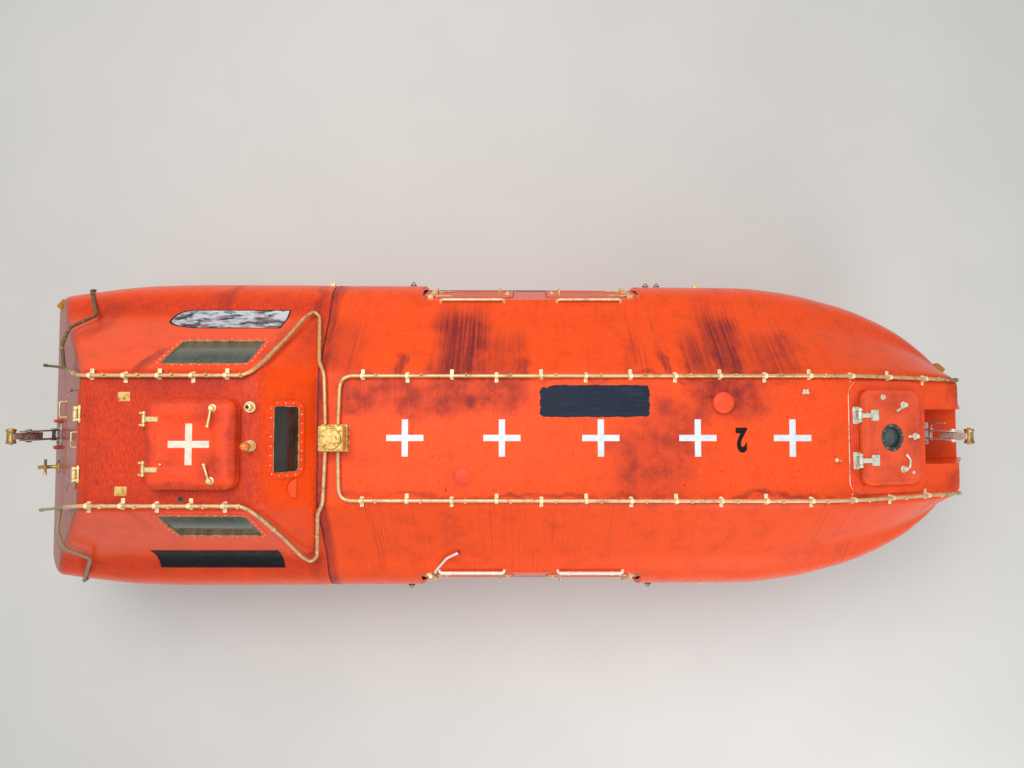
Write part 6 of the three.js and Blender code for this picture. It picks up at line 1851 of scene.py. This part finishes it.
eyes_port = [part for x in (-1.02, 1.31, 1.42) for part in pad_eye(x, side_at[x] - 0.003, 1.70)]
eyes_starboard = [mirrored(part) for x in (-1.02, 1.31) for part in pad_eye(x, side_at[x] - 0.003, 1.70)]
rusty_steel = metal_paint("rusty_steel", "#8d8880", "#553f32", "#7c3d1e", 0.58, 0.48, 0.42, 0.75)
piece("pad_eyes", eyes_port + eyes_starboard, rusty_steel, "boat")
piece("canopy_fitting_bracket", [
    slab_part(deck_face, (2.44, 0.377), (0.060, 0.016, 0.004), GAP, 0.006, 0.001, 3),
    slab_part(deck_face, (2.425, 0.392), (0.014, 0.034, 0.004), GAP, 0.010, 0.001, 3),
    slab_part(deck_face, (2.455, 0.392), (0.014, 0.034, 0.004), GAP, 0.010, 0.001, 3),
    slab_part(deck_face, (2.440, 0.390), (0.010, 0.026, 0.003), GAP, 0.009, 0.001, 3),
    slab_part(deck_face, (2.690, -0.185), (0.030, 0.030, 0.010), GAP, 0.007, 0.001, 4),
    slab_part(deck_face, (2.718, -0.192), (0.014, 0.014, 0.005), GAP, 0.010, 0.001, 3),
], metal_paint("white_bracket", "#cfc4a8", "#8a795c", "#8a5a3a", 0.45, 0.35, 0.5, 0.1), "boat")

# Markings
# Five crosses of white tape down the deck, a patch of dark navy paint put on with a roller, a plain black
# numeral, and a blank dark panel on each shoulder of the wheelhouse, where a decal was stuck.
CROSS_X = (-0.925, -0.110, 0.720, 1.532, 2.324)
PATCH_X = (0.21, 1.13)
PATCH_Y = (0.175, 0.444)
NUMERAL_PLACE = (1.897, -0.018)
NUMERAL_HEIGHT = 0.21
NUMERAL_SQUEEZE = 0.68


def thin_sheet(grid, normal, low, high):
    """A closed skin between two copies of a grid [i, j, xyz], moved along its normals to two lifts.

    i and j run so that their cross product is the normal."""
    upper, lower = grid + normal * high, grid + normal * low
    rows, columns, _ = grid.shape
    index = np.arange(rows * columns).reshape(rows, columns)
    under = index + rows * columns

    def quads(a, b, c, d):
        return np.stack([a, b, c, d], -1).reshape(-1, 4).tolist()
    faces = quads(index[:-1, :-1], index[1:, :-1], index[1:, 1:], index[:-1, 1:])
    faces += quads(under[:-1, 1:], under[1:, 1:], under[1:, :-1], under[:-1, :-1])
    faces += quads(index[:-1, 0], under[:-1, 0], under[1:, 0], index[1:, 0])
    faces += quads(index[1:, -1], under[1:, -1], under[:-1, -1], index[:-1, -1])
    faces += quads(index[0, :-1], index[0, 1:], under[0, 1:], under[0, :-1])
    faces += quads(index[-1, 1:], index[-1, :-1], under[-1, :-1], under[-1, 1:])
    return np.concatenate([upper.reshape(-1, 3), lower.reshape(-1, 3)]), faces


def ragged_edge(t, size, seed, steps=(3, 7, 13, 29, 61)):
    """An uneven edge: a sum of sines of t, each finer one smaller, with phases from a fixed seed."""
    phase = np.random.default_rng(seed).uniform(0, 2 * np.pi, len(steps))
    waves = [np.sin(2 * np.pi * n * t + p) / math.sqrt(n) for n, p in zip(steps, phase)]
    return size * np.sum(waves, 0)


u = np.linspace(0, 1, 200)
v = np.linspace(0, 1, 50)
corner = np.clip((np.abs(2 * v - 1) - 0.70) / 0.30, 0, 1)
inset = 0.034 * (1 - np.sqrt(1 - corner ** 2))
low_edge = PATCH_Y[0] + ragged_edge(u, 0.0032, 3) + 0.010 * np.exp(-((u - 0.93) / 0.05) ** 2)
high_edge = PATCH_Y[1] + ragged_edge(u, 0.0030, 5) - 0.022 * np.exp(-((u - 0.03) / 0.04) ** 2)
start_edge = PATCH_X[0] + inset + ragged_edge(v, 0.0065, 8)
end_edge = PATCH_X[1] - inset + ragged_edge(v, 0.0060, 11)
patch = np.stack([start_edge[None] * (1 - u[:, None]) + end_edge[None] * u[:, None],
                  low_edge[:, None] * (1 - v[None]) + high_edge[:, None] * v[None],
                  np.full((200, 50), DECK_Z)], -1)


def flat_paint(name, colour, light, share=0.3, rough=0.5):
    """Hand-rolled paint or vinyl film: streaky, and scratched to a lighter tone."""
    material, tree, shader = new_material(name, colour, rough)
    strokes = cloud(tree, 1, 5, 0.65, stretch=(3.5, 60, 60))
    blots = cloud(tree, 7, 5, 0.6)
    both = plus(tree, times(tree, strokes, 0.55), times(tree, blots, 0.45))
    shade = blend_colour(tree, ramp(tree, both, 0.46, 0.68, 0.0, share), linear(colour), linear(light))
    dress(tree, shader, shade, ramp(tree, blots, 0.3, 0.7, rough - 0.1, rough + 0.15))
    rough_bump(tree, shader, strokes, 0.2, 0.0008)
    shader.inputs["Specular IOR Level"].default_value = 0.12
    return material


piece("deck_paint_patch", [thin_sheet(patch, np.array((0, 0, 1.0)), -0.0006, 0.0007)],
      flat_paint("navy_patch", "#1b2230", "#39424f", 0.4, 0.5), "boat")
deck_tape = tape_paint("deck_tape", "#ccd3d6", "#a3a9ac", "#c9482a", 0.3)
piece("deck_tape_crosses", [cross_part(deck_face, (x, 0), CROSS_REACH, CROSS_WIDTH, -0.0005, 0.0011)
                            for x in CROSS_X], deck_tape, "boat")
figure = bpy.data.curves.new("deck_numeral", "FONT")
figure.body = "2"
figure.size = 1.0
figure.extrude = 0.0006 / NUMERAL_HEIGHT
figure.offset = 0.042
glyph_object = add_object("deck_numeral_curve", figure)
glyph = bpy.data.meshes.new_from_object(glyph_object.evaluated_get(bpy.context.evaluated_depsgraph_get()))
bpy.data.objects.remove(glyph_object)
spots = np.empty(len(glyph.vertices) * 3)
glyph.vertices.foreach_get("co", spots)
spots = spots.reshape(-1, 3)
spots -= (spots.min(0) + spots.max(0)) / 2
spots *= NUMERAL_HEIGHT / np.ptp(spots[:, 1])
spots = spots * (-NUMERAL_SQUEEZE, -1, 1) + (*NUMERAL_PLACE, DECK_Z + 0.0002)
glyph.vertices.foreach_set("co", spots.ravel())
glyph.materials.clear()
numeral_black = flat_paint("numeral_black", "#161314", "#4a2a22", 0.35, 0.5)
glyph.materials.append(numeral_black)
weld(glyph, 0.00005)
glyph.name = "deck_numeral"
piece("deck_numeral", glyph, numeral_black, "boat")


def shoulder_sheet(x, upper, lower, low=-0.0015, high=0.0012):
    """A film on the port shoulder of the wheelhouse, between two arcs measured down from the shoulder line.

    Each section's outline is read by its own length at the wanted arcs, and the normal is square to its
    run."""
    table = wheelhouse_half(x)
    rows, normals = [], []
    for k in range(len(x)):
        line = table[k]
        run = np.concatenate([[0], np.cumsum(np.linalg.norm(np.diff(line, axis=0), axis=1))])
        at = run[np.argmin(np.linalg.norm(line - (SHOULDER_Y, SHOULDER_Z), axis=1))]
        arc = at - (upper[k] + (lower[k] - upper[k]) * np.linspace(0, 1, 26))
        y, z = np.interp(arc, run, line[:, 0]), np.interp(arc, run, line[:, 1])
        way = np.gradient(np.stack([y, z], -1), axis=0)
        way /= np.linalg.norm(way, axis=1, keepdims=True)
        rows.append(np.stack([np.full(26, x[k]), y, z], -1))
        normals.append(np.stack([np.zeros(26), -way[:, 1], way[:, 0]], -1))
    return thin_sheet(np.array(rows), np.array(normals), low, high)


x = np.linspace(-3.27, -2.12, 70)
starboard_panel = shoulder_sheet(x, np.full(70, -0.156), np.full(70, 0.137))
x = np.linspace(-3.15, -2.105, 90)
ahead = np.clip((x + 3.15) / 0.39, 0, 1)
port_upper = -0.06 - 0.199 * np.sqrt(1 - (1 - ahead) ** 2) + ragged_edge(ahead, 0.002, 21)
port_lower = (-0.04 + 0.110 * np.sqrt(1 - (1 - np.clip(ahead * 2.4, 0, 1)) ** 2)
              + ragged_edge(ahead, 0.002, 23))
port_panel = shoulder_sheet(x, port_upper, port_lower)
wider = np.linspace(-3.168, -2.090, 90)
port_edging = shoulder_sheet(wider, port_upper - 0.012, port_lower + 0.010, -0.002, 0.0006)
scuffed, tree, shader = new_material("scuffed_panel", "#6b6865", 0.5)
torn = cloud(tree, 1, 5, 0.62, stretch=(5, 11, 11))
worn = cloud(tree, 1, 4, 0.6, stretch=(12, 22, 22), shift=(1, 2, 3))
tone = blend_colour(tree, ramp(tree, torn, 0.42, 0.54), linear("#2c2a30"), linear("#b9bbc2"))
tone = blend_colour(tree, ramp(tree, worn, 0.50, 0.58, 0.0, 0.7), tone, linear("#6d6b72"))
tone = blend_colour(tree, ramp(tree, worn, 0.62, 0.65), tone, linear("#c8452a"))
dress(tree, shader, tone)
rough_bump(tree, shader, torn, 0.3, 0.001)
blank_black = flat_paint("blank_black", "#121214", "#3a3736", 0.35, 0.35)
piece("starboard_blank_panel", [mirrored(starboard_panel)], blank_black, "boat")
piece("port_blank_panel", [port_panel], scuffed, "boat")
piece("port_panel_edging", [port_edging], flat_paint("edging_black", "#1d1a1c", "#5b4a46", 0.4, 0.5), "boat")

# Seam
# A dark bead of sealant in the groove where the wheelhouse meets the canopy, from gunwale to gunwale.
seam_half = canopy_half(np.array([SEAM_X]))[0]
seam_half = seam_half[seam_half[:, 1] > 1.36]
way = np.gradient(seam_half, axis=0)
way /= np.linalg.norm(way, axis=1, keepdims=True)
sunk = seam_half - np.stack([way[:, 1], -way[:, 0]], -1) * 0.0105
sunk[-1, 0] = 0
seam_line = np.concatenate([np.stack([seam_x(sunk[:, 1]), sunk[:, 0], sunk[:, 1]], -1),
                            np.stack([seam_x(sunk[:, 1]), -sunk[:, 0], sunk[:, 1]], -1)[-2::-1]])
seam_line = seam_line[np.concatenate([[True], np.linalg.norm(np.diff(seam_line, axis=0), axis=1) > 1e-4])]
piece("seam_bead", [tube(seam_line, 0.0075, 10)], sealant_paint("seam_sealant", "#54201f", "#2c1416"), "boat")

# Grab rails and the loose bar
# A painted steel rail on the shoulder above each side door, on screwed feet, its paint worn to bare metal. A
# bent bar that has come loose lies over the starboard shoulder by the aft door.
RAIL_HALF = 0.300
RAIL_RADIUS = 0.014
RAIL_STANDOFF = 0.055
RAIL_FOOT = (1.229, 2.104)
RAIL_OUT = np.array((0.75, 0.66)) / math.hypot(0.75, 0.66)
worn_rail = metal_paint("worn_rail", "#dedad0", "#a9977a", "#7d4a2c", 0.36, 0.34, 0.42, 0.12)
tan_rail = metal_paint("tan_rail", "#dcc497", "#9a7a50", "#7d4a2c", 0.42, 0.36, 0.40, 0.3)


def rail_point(x, out):
    """A point at x, so far out from the rail's feet."""
    return (x, RAIL_FOOT[0] + RAIL_OUT[0] * out, RAIL_FOOT[1] + RAIL_OUT[1] * out)


rail_plane = panel((0, *RAIL_FOOT), (1, 0, 0), (0, *RAIL_OUT))
for name, u, _ in DOORS:
    ends = (u - RAIL_HALF, u + RAIL_HALF)
    corners = [rail_point(ends[0], -0.030), rail_point(ends[0], RAIL_STANDOFF),
               rail_point(ends[1], RAIL_STANDOFF), rail_point(ends[1], -0.030)]
    rail = [tube(bent(corners, 0.034, 9), RAIL_RADIUS, 18)]
    for x in ends:
        rail.append(turned(rail_point(x, 0), (0, *RAIL_OUT), [
            (0.034, -0.012), (0.034, 0.004), (0.030, 0.0065), (0.018, 0.007), (0.0155, 0.011)], 24))
        rail.append(studs(rail_plane, ring_of(4, 0.025) + (x, 0), 0.0068, 0.005, 0.004, 6))
    for share in (-0.33, 0.33):
        rail.append(turned(rail_point(u + share * RAIL_HALF * 2, RAIL_STANDOFF), (1, 0, 0),
                           [(0.0142, -0.014), (0.0168, -0.012), (0.0168, 0.012), (0.0142, 0.014)], 18))
    piece(f"rail_port_{name}", rail, tan_rail, "boat", [f"grab_rail_port_{name}"])
    piece(f"rail_starboard_{name}", [mirrored(part) for part in rail], worn_rail, "boat",
          [f"grab_rail_starboard_{name}"])
bar_path = bent([(-0.752, -1.318, 2.000), (-0.742, -1.262, 2.112), (-0.620, -1.112, 2.243),
                 (-0.545, -1.070, 2.281), (-0.505, -1.052, 2.283)], 0.025, 8)
piece("loose_bar", [tube(bar_path, 0.0105, 14)], worn_rail, "boat")
piece("loose_bar_rusty_end", [rod((-0.752, -1.320, 1.996), (-0.748, -1.296, 2.044), 0.0135, 14),
                              rod((-0.515, -1.0565, 2.2826), (-0.497, -1.049, 2.2832), 0.0135, 14)],
      rusty_steel, "boat")

# Lifting hooks
# Forged hooks in cheeks of rusty steel, one in the bow well and one on the aft face. Each has a brass roller
# at its head and swings outwards on its pin when it is released.
PIN_BORE = 0.0146
HEAD_RADIUS = 0.040
HEAD_HALF = 0.065


def plate_across(corners, low, high, ease=0.002):
    """A plate whose outline is given in x and z, from one y to another, its two faces drawn in by an ease.

    The outline is turned so that it runs anticlockwise about +y, and drawn in towards its middle."""
    flat = np.array(corners, float)
    area = (flat[:, 0] * np.roll(flat[:, 1], -1) - np.roll(flat[:, 0], -1) * flat[:, 1]).sum()
    flat = flat[::-1] if area > 0 else flat
    middle = flat.mean(0)
    away = flat - middle
    inner = middle + away * (1 - ease / np.maximum(np.linalg.norm(away, axis=1, keepdims=True), 0.01))
    rows = [(inner, low), (flat, low + ease), (flat, high - ease), (inner, high)]
    return strip(np.array([np.stack([row[:, 0], np.full(len(row), y), row[:, 1]], -1) for row, y in rows]))


def cheek_outline(x, z, foot_fore, foot_aft):
    """A cheek's outline: from one foot, over a round top about the pin, to the other foot."""
    t = np.linspace(0, np.pi, 21)
    top = np.stack([x + 0.070 * np.cos(t), z + 0.070 * np.sin(t)], -1)
    return np.concatenate([[foot_fore], top, [foot_aft]])


def cheek_parts(x, z, foot_fore, foot_aft):
    """Two cheek plates with their cross bolt, its nuts, and a ring round the pin on each side."""
    parts = []
    corners = cheek_outline(x, z, foot_fore, foot_aft)
    for low, high in ((0.034, 0.045), (-0.045, -0.034)):
        parts.append(plate_across(corners, low, high, 0.0015))
    parts.append(rod((x, -0.046, z - 0.330), (x, 0.046, z - 0.330), 0.016, 18))
    for side in (-1, 1):
        parts.append(turned((x, side * 0.045, z - 0.330), (0, side, 0),
                            [(0.024, -0.001), (0.024, 0.010), (0.020, 0.013), (0.008, 0.0135)], 6))
        parts.append(collar((x, side * 0.0455, z), (0, side, 0), PIN_BORE, 0.030, -0.001, 0.005, 28))
    return parts


def hook_parts(x, z, outward):
    """The swinging hook, as (steel body and pin, brass roller)."""
    back = [(-0.045, -0.120), (0.040, -0.120), (0.052, -0.060), (0.047, 0.0), (0.052, 0.060), (0.064, 0.115),
            (0.075, 0.170), (0.040, 0.185), (0.0, 0.180), (-0.022, 0.120), (-0.038, 0.060), (-0.045, 0.0),
            (-0.047, -0.060)]
    body = plate_across([(x + outward * dx, z + dz) for dx, dz in back], -0.028, 0.028, 0.004)
    pin = rod((x, -0.056, z), (x, 0.056, z), 0.014, 24)
    nut = [(0.022, 0), (0.022, 0.006), (0.018, 0.0095), (0.006, 0.010)]
    heads = [turned((x, side * 0.0512, z), (0, side, 0), nut, 6) for side in (-1, 1)]
    at = np.array((x + outward * 0.035, 0, z + 0.165))
    rows = [(0.020, -HEAD_HALF), (0.036, -HEAD_HALF), (HEAD_RADIUS, -HEAD_HALF + 0.004),
            (HEAD_RADIUS, -0.048), (0.034, -0.040), (0.033, -0.030), (0.033, 0.030), (0.034, 0.040),
            (HEAD_RADIUS, 0.048), (HEAD_RADIUS, HEAD_HALF - 0.004), (0.036, HEAD_HALF), (0.020, HEAD_HALF)]
    cap = [(0.016, -0.001), (0.016, 0.006), (0.010, 0.009)]
    roller = [turned(at, (0, 1, 0), rows, 32), turned(at + (0, HEAD_HALF, 0), (0, 1, 0), cap, 6),
              turned(at - (0, HEAD_HALF, 0), (0, -1, 0), cap, 6)]
    return [body, pin, *heads], roller


FORE_HOOK = (4.040, 2.180)
AFT_HOOK = (-4.440, 2.280)
cheek_steel = metal_paint("cheek_steel", "#b9b2a4", "#6a5140", "#7f3f20", 0.48, 0.42, 0.42, 0.45)
bright_steel = metal_paint("bright_steel", "#dcd8cc", "#948a78", "#74492c", 0.40, 0.34, 0.36, 0.4)
hook_brass = metal_paint("hook_brass", "#c9a566", "#84603c", "#6f5a3c", 0.5, 0.36, 0.32, 0.85)
red_bracket = gelcoat_paint("red_bracket", fading=0.4, streaks=0.2, weave=0.2, fresh=linear("#a9301c"))
well_face = level_panel(4.045, 0, WELL_FLOOR)
fore_parts = cheek_parts(*FORE_HOOK, (4.150, 1.570), (3.940, 1.570))
fore_parts.append(slab_part(well_face, (0, 0), (0.290, 0.220, 0.012), GAP, 0.016, 0.002, 5))
fore_parts.append(studs(well_face, [(x, y) for x in (-0.120, 0, 0.120) for y in (-0.085, 0.085)], 0.0155,
                        0.011, 0.010, 6))
fore_parts += [rod((3.985, 0.045, 1.94), (3.985, 0.100, 1.96), 0.008, 12),
               tube(np.array([(3.985, 0.098, 1.958), (3.990, 0.108, 2.02), (4.020, 0.112, 2.10)]), 0.0075)]
piece("fore_cheeks", fore_parts, bright_steel, "boat", ["fore_hook_cheeks"])
aft_foot_v = 0.590
feet = [on_panel(aft_face, (0, aft_foot_v + way, 0.008))[[0, 2]] for way in (-0.105, 0.105)]
aft_parts = cheek_parts(*AFT_HOOK, tuple(feet[0]), tuple(feet[1]))
aft_parts.append(slab_part(aft_face, (0, aft_foot_v), (0.220, 0.290, 0.012), GAP, 0.016, 0.002, 5))
aft_parts.append(studs(aft_face, [(x, aft_foot_v + y) for x in (-0.085, 0.085) for y in (-0.120, 0, 0.120)],
                       0.0155, 0.011, 0.010, 6))
piece("aft_cheeks", aft_parts, cheek_steel, "boat", ["aft_hook_cheeks"])
brackets = [slab_part(aft_face, (side * 0.128, aft_foot_v - 0.02), (0.030, 0.200, 0.008), -0.004, 0.055,
                      0.004, 5)
            for side in (-1, 1)]
piece("aft_hook_brackets", brackets, red_bracket, "boat")
for end, hook, outward, steel in (("fore", FORE_HOOK, 1, bright_steel), ("aft", AFT_HOOK, -1, cheek_steel)):
    body_parts, roller = hook_parts(*hook, outward)
    piece(f"{end}_hook_body", body_parts, steel, f"hook_{end}", [f"{end}_hook"])
    piece(f"{end}_hook_roller", roller, hook_brass, f"hook_{end}")

# Slots in the aft face
# Two narrow near-black strips lie on the aft face as painted shade of narrow slots, one upright by the aft
# door and one slanting below it on starboard.
aft_normal = aft_face[3]
slot_shade_parts = []
for place, along, size in (((-3.800, 0.398, 2.640), aft_face[2], (0.130, 0.034, 0.004)),
                           ((-3.905, -0.430, 2.520), aft_face[2] - aft_face[1], (0.170, 0.014, 0.005))):
    lifted = np.array(place) - aft_normal * np.dot(np.array(place) - aft_face[0], aft_normal)
    slot_shade_parts.append(slab_part(panel(lifted, along, aft_normal), (0, 0), size, -0.003, 0.0012, 0.0003, 3))
piece("aft_face_slot_shade", slot_shade_parts, painted_shade_black, "boat")

# Bollard
# A cast brass bollard with a crossbar, bolted by its flange to the aft face.
BOLLARD = (-0.324, 0.700)
bollard_parts = [slab_part(aft_face, BOLLARD, (0.120, 0.120, 0.012), GAP, 0.012, 0.003, 6),
                 turned(on_panel(aft_face, (*BOLLARD, 0)), aft_face[3],
                        [(0.036, 0.008), (0.032, 0.012), (0.021, 0.024), (0.017, 0.040), (0.0165, 0.090),
                         (0.020, 0.100), (0.020, 0.120), (0.0165, 0.130), (0.018, 0.158), (0.0175, 0.167),
                         (0.010, 0.1705)], 28)]
for side in (-1, 1):
    start = on_panel(aft_face, (BOLLARD[0], BOLLARD[1], 0.110))
    bollard_parts.append(turned(start, aft_face[1] * side, [(0.013, 0), (0.012, 0.040), (0.0128, 0.066),
                                                            (0.0142, 0.072), (0.010, 0.0752)], 20))
bollard_parts.append(studs(aft_face, corners_of(0.042, 0.042, BOLLARD), 0.0118, 0.009, 0.007, 6))
piece("aft_bollard_casting", bollard_parts, hook_brass, "boat", ["aft_bollard"])

# Stern gear
# A steel stern tube out of the keel, a three-bladed cast brass propeller on its shaft, and a steel rudder
# between the hull and the heel of the keel shoe.
SHAFT_Z = 0.330
PROPELLER_X = -4.120
BLADE_REACH = 0.200
RUDDER_X = -4.430
dull_steel = metal_paint("dull_steel", "#8f9294", "#5c5148", "#6f3f25", 0.5, 0.4, 0.4, 0.85)
cast_brass = metal_paint("cast_brass", "#c79f55", "#8a6a3f", "#5f7a5f", 0.5, 0.3, 0.28, 0.95)
piece("stern_tube_turned", [turned((-3.7505, 0, SHAFT_Z), (-1, 0, 0), [
    (0.034, 0), (0.034, 0.190), (0.0335, 0.192), (0.0335, 0.196), (0.034, 0.198), (0.034, 0.236),
    (0.031, 0.2395), (0.020, 0.2395)], 32)], dull_steel, "boat", ["stern_tube"])


def blade(turn):
    """One blade: at radius r its chord leans by b(r) = atan(0.7 R tan(30 degrees) / r) from the disc.

    The chord grows and rounds off as sin(pi t)^0.6, and the section is a lens, thick at the root."""
    centre = np.array((PROPELLER_X, 0, SHAFT_Z))
    radial = np.array((0, math.sin(turn), math.cos(turn)))
    axis = np.array((1.0, 0, 0))
    around_axis = np.cross(radial, axis)
    r = np.linspace(0.030, BLADE_REACH - 0.001, 26)
    t = (r - 0.030) / (BLADE_REACH - 0.030)
    chord = 0.150 * np.clip(np.sin(np.pi * (0.16 + 0.82 * t)), 0.02, 1) ** 0.6
    lean = np.arctan(0.7 * BLADE_REACH * math.tan(math.radians(30)) / r)
    way = np.sin(lean)[:, None] * axis + np.cos(lean)[:, None] * around_axis
    face = np.cross(way, radial)
    s = np.linspace(-0.5, 0.5, 17)
    thick = (0.0075 - 0.0045 * t)[:, None] * (1 - (2 * s[None]) ** 2) ** 0.5 + 0.0004
    middle = centre + r[:, None, None] * radial + (s[None] * chord[:, None])[..., None] * way[:, None]
    front = middle + thick[..., None] * face[:, None]
    back = middle - thick[..., None] * face[:, None]
    return strip(np.concatenate([front, back[:, ::-1]], axis=1)[:, ::-1])


propeller_parts = [
    turned((PROPELLER_X + 0.045, 0, SHAFT_Z), (-1, 0, 0), [
        (0.030, 0), (0.0375, 0.006), (0.038, 0.030), (0.037, 0.060), (0.031, 0.078), (0.018, 0.088),
        (0.004, 0.090)], 32),
    rod((-3.9903, 0, SHAFT_Z), (PROPELLER_X + 0.040, 0, SHAFT_Z), 0.018, 24)]
propeller_parts += [blade(k * 2 * math.pi / 3) for k in range(3)]
piece("propeller_casting", propeller_parts, cast_brass, "screw", ["propeller"])
z = np.array([0.055, 0.058, 0.066, 0.20, 0.38, 0.549, 0.557, 0.560])
draw = np.array([0.70, 0.90, 1.0, 1.0, 1.0, 1.0, 0.90, 0.70])
fore = RUDDER_X + 0.070
aft = np.interp(z, [0.055, 0.560], [-4.730, -4.760])
c = (1 - np.cos(np.linspace(0, np.pi, 22))) / 2
half_section = 0.014 * 1.06 * (2.6 * np.sqrt(np.clip(c, 0, 1)) * (1 - c) ** 0.7).clip(0, 1)
x = fore + (aft[:, None] - fore) * c[None]
y = half_section[None] * draw[:, None] + 0.0012
rudder_rings = np.stack([np.concatenate([x, x[:, ::-1]], 1), np.concatenate([y, -y[:, ::-1]], 1),
                         np.broadcast_to(z[:, None], (len(z), 44))], -1)
piece("rudder_plate", [strip(rudder_rings), rod((RUDDER_X, 0, 0.0253), (RUDDER_X, 0, 0.639), 0.022, 28)],
      dull_steel, "rudder_blade", ["rudder"])

# Corner blocks
# Weathered amber blocks at the port corners of the boat, just above the gunwale.
block_paint = flat_paint("amber_block", "#a8742a", "#6f5a34", 0.8, 0.5)
blocks = []
for place, out in (((-4.598, 1.296, 1.600), (-0.75, 0.66, 0)), ((4.270, 0.640, 1.600), (0.66, 0.75, 0))):
    side = panel(place, (out[1], -out[0], 0), out)
    blocks += [slab_part(side, (0, 0), (0.100, 0.085, 0.010), -0.045, 0.050, 0.006, 5)]
piece("corner_blocks", blocks, block_paint, "boat")
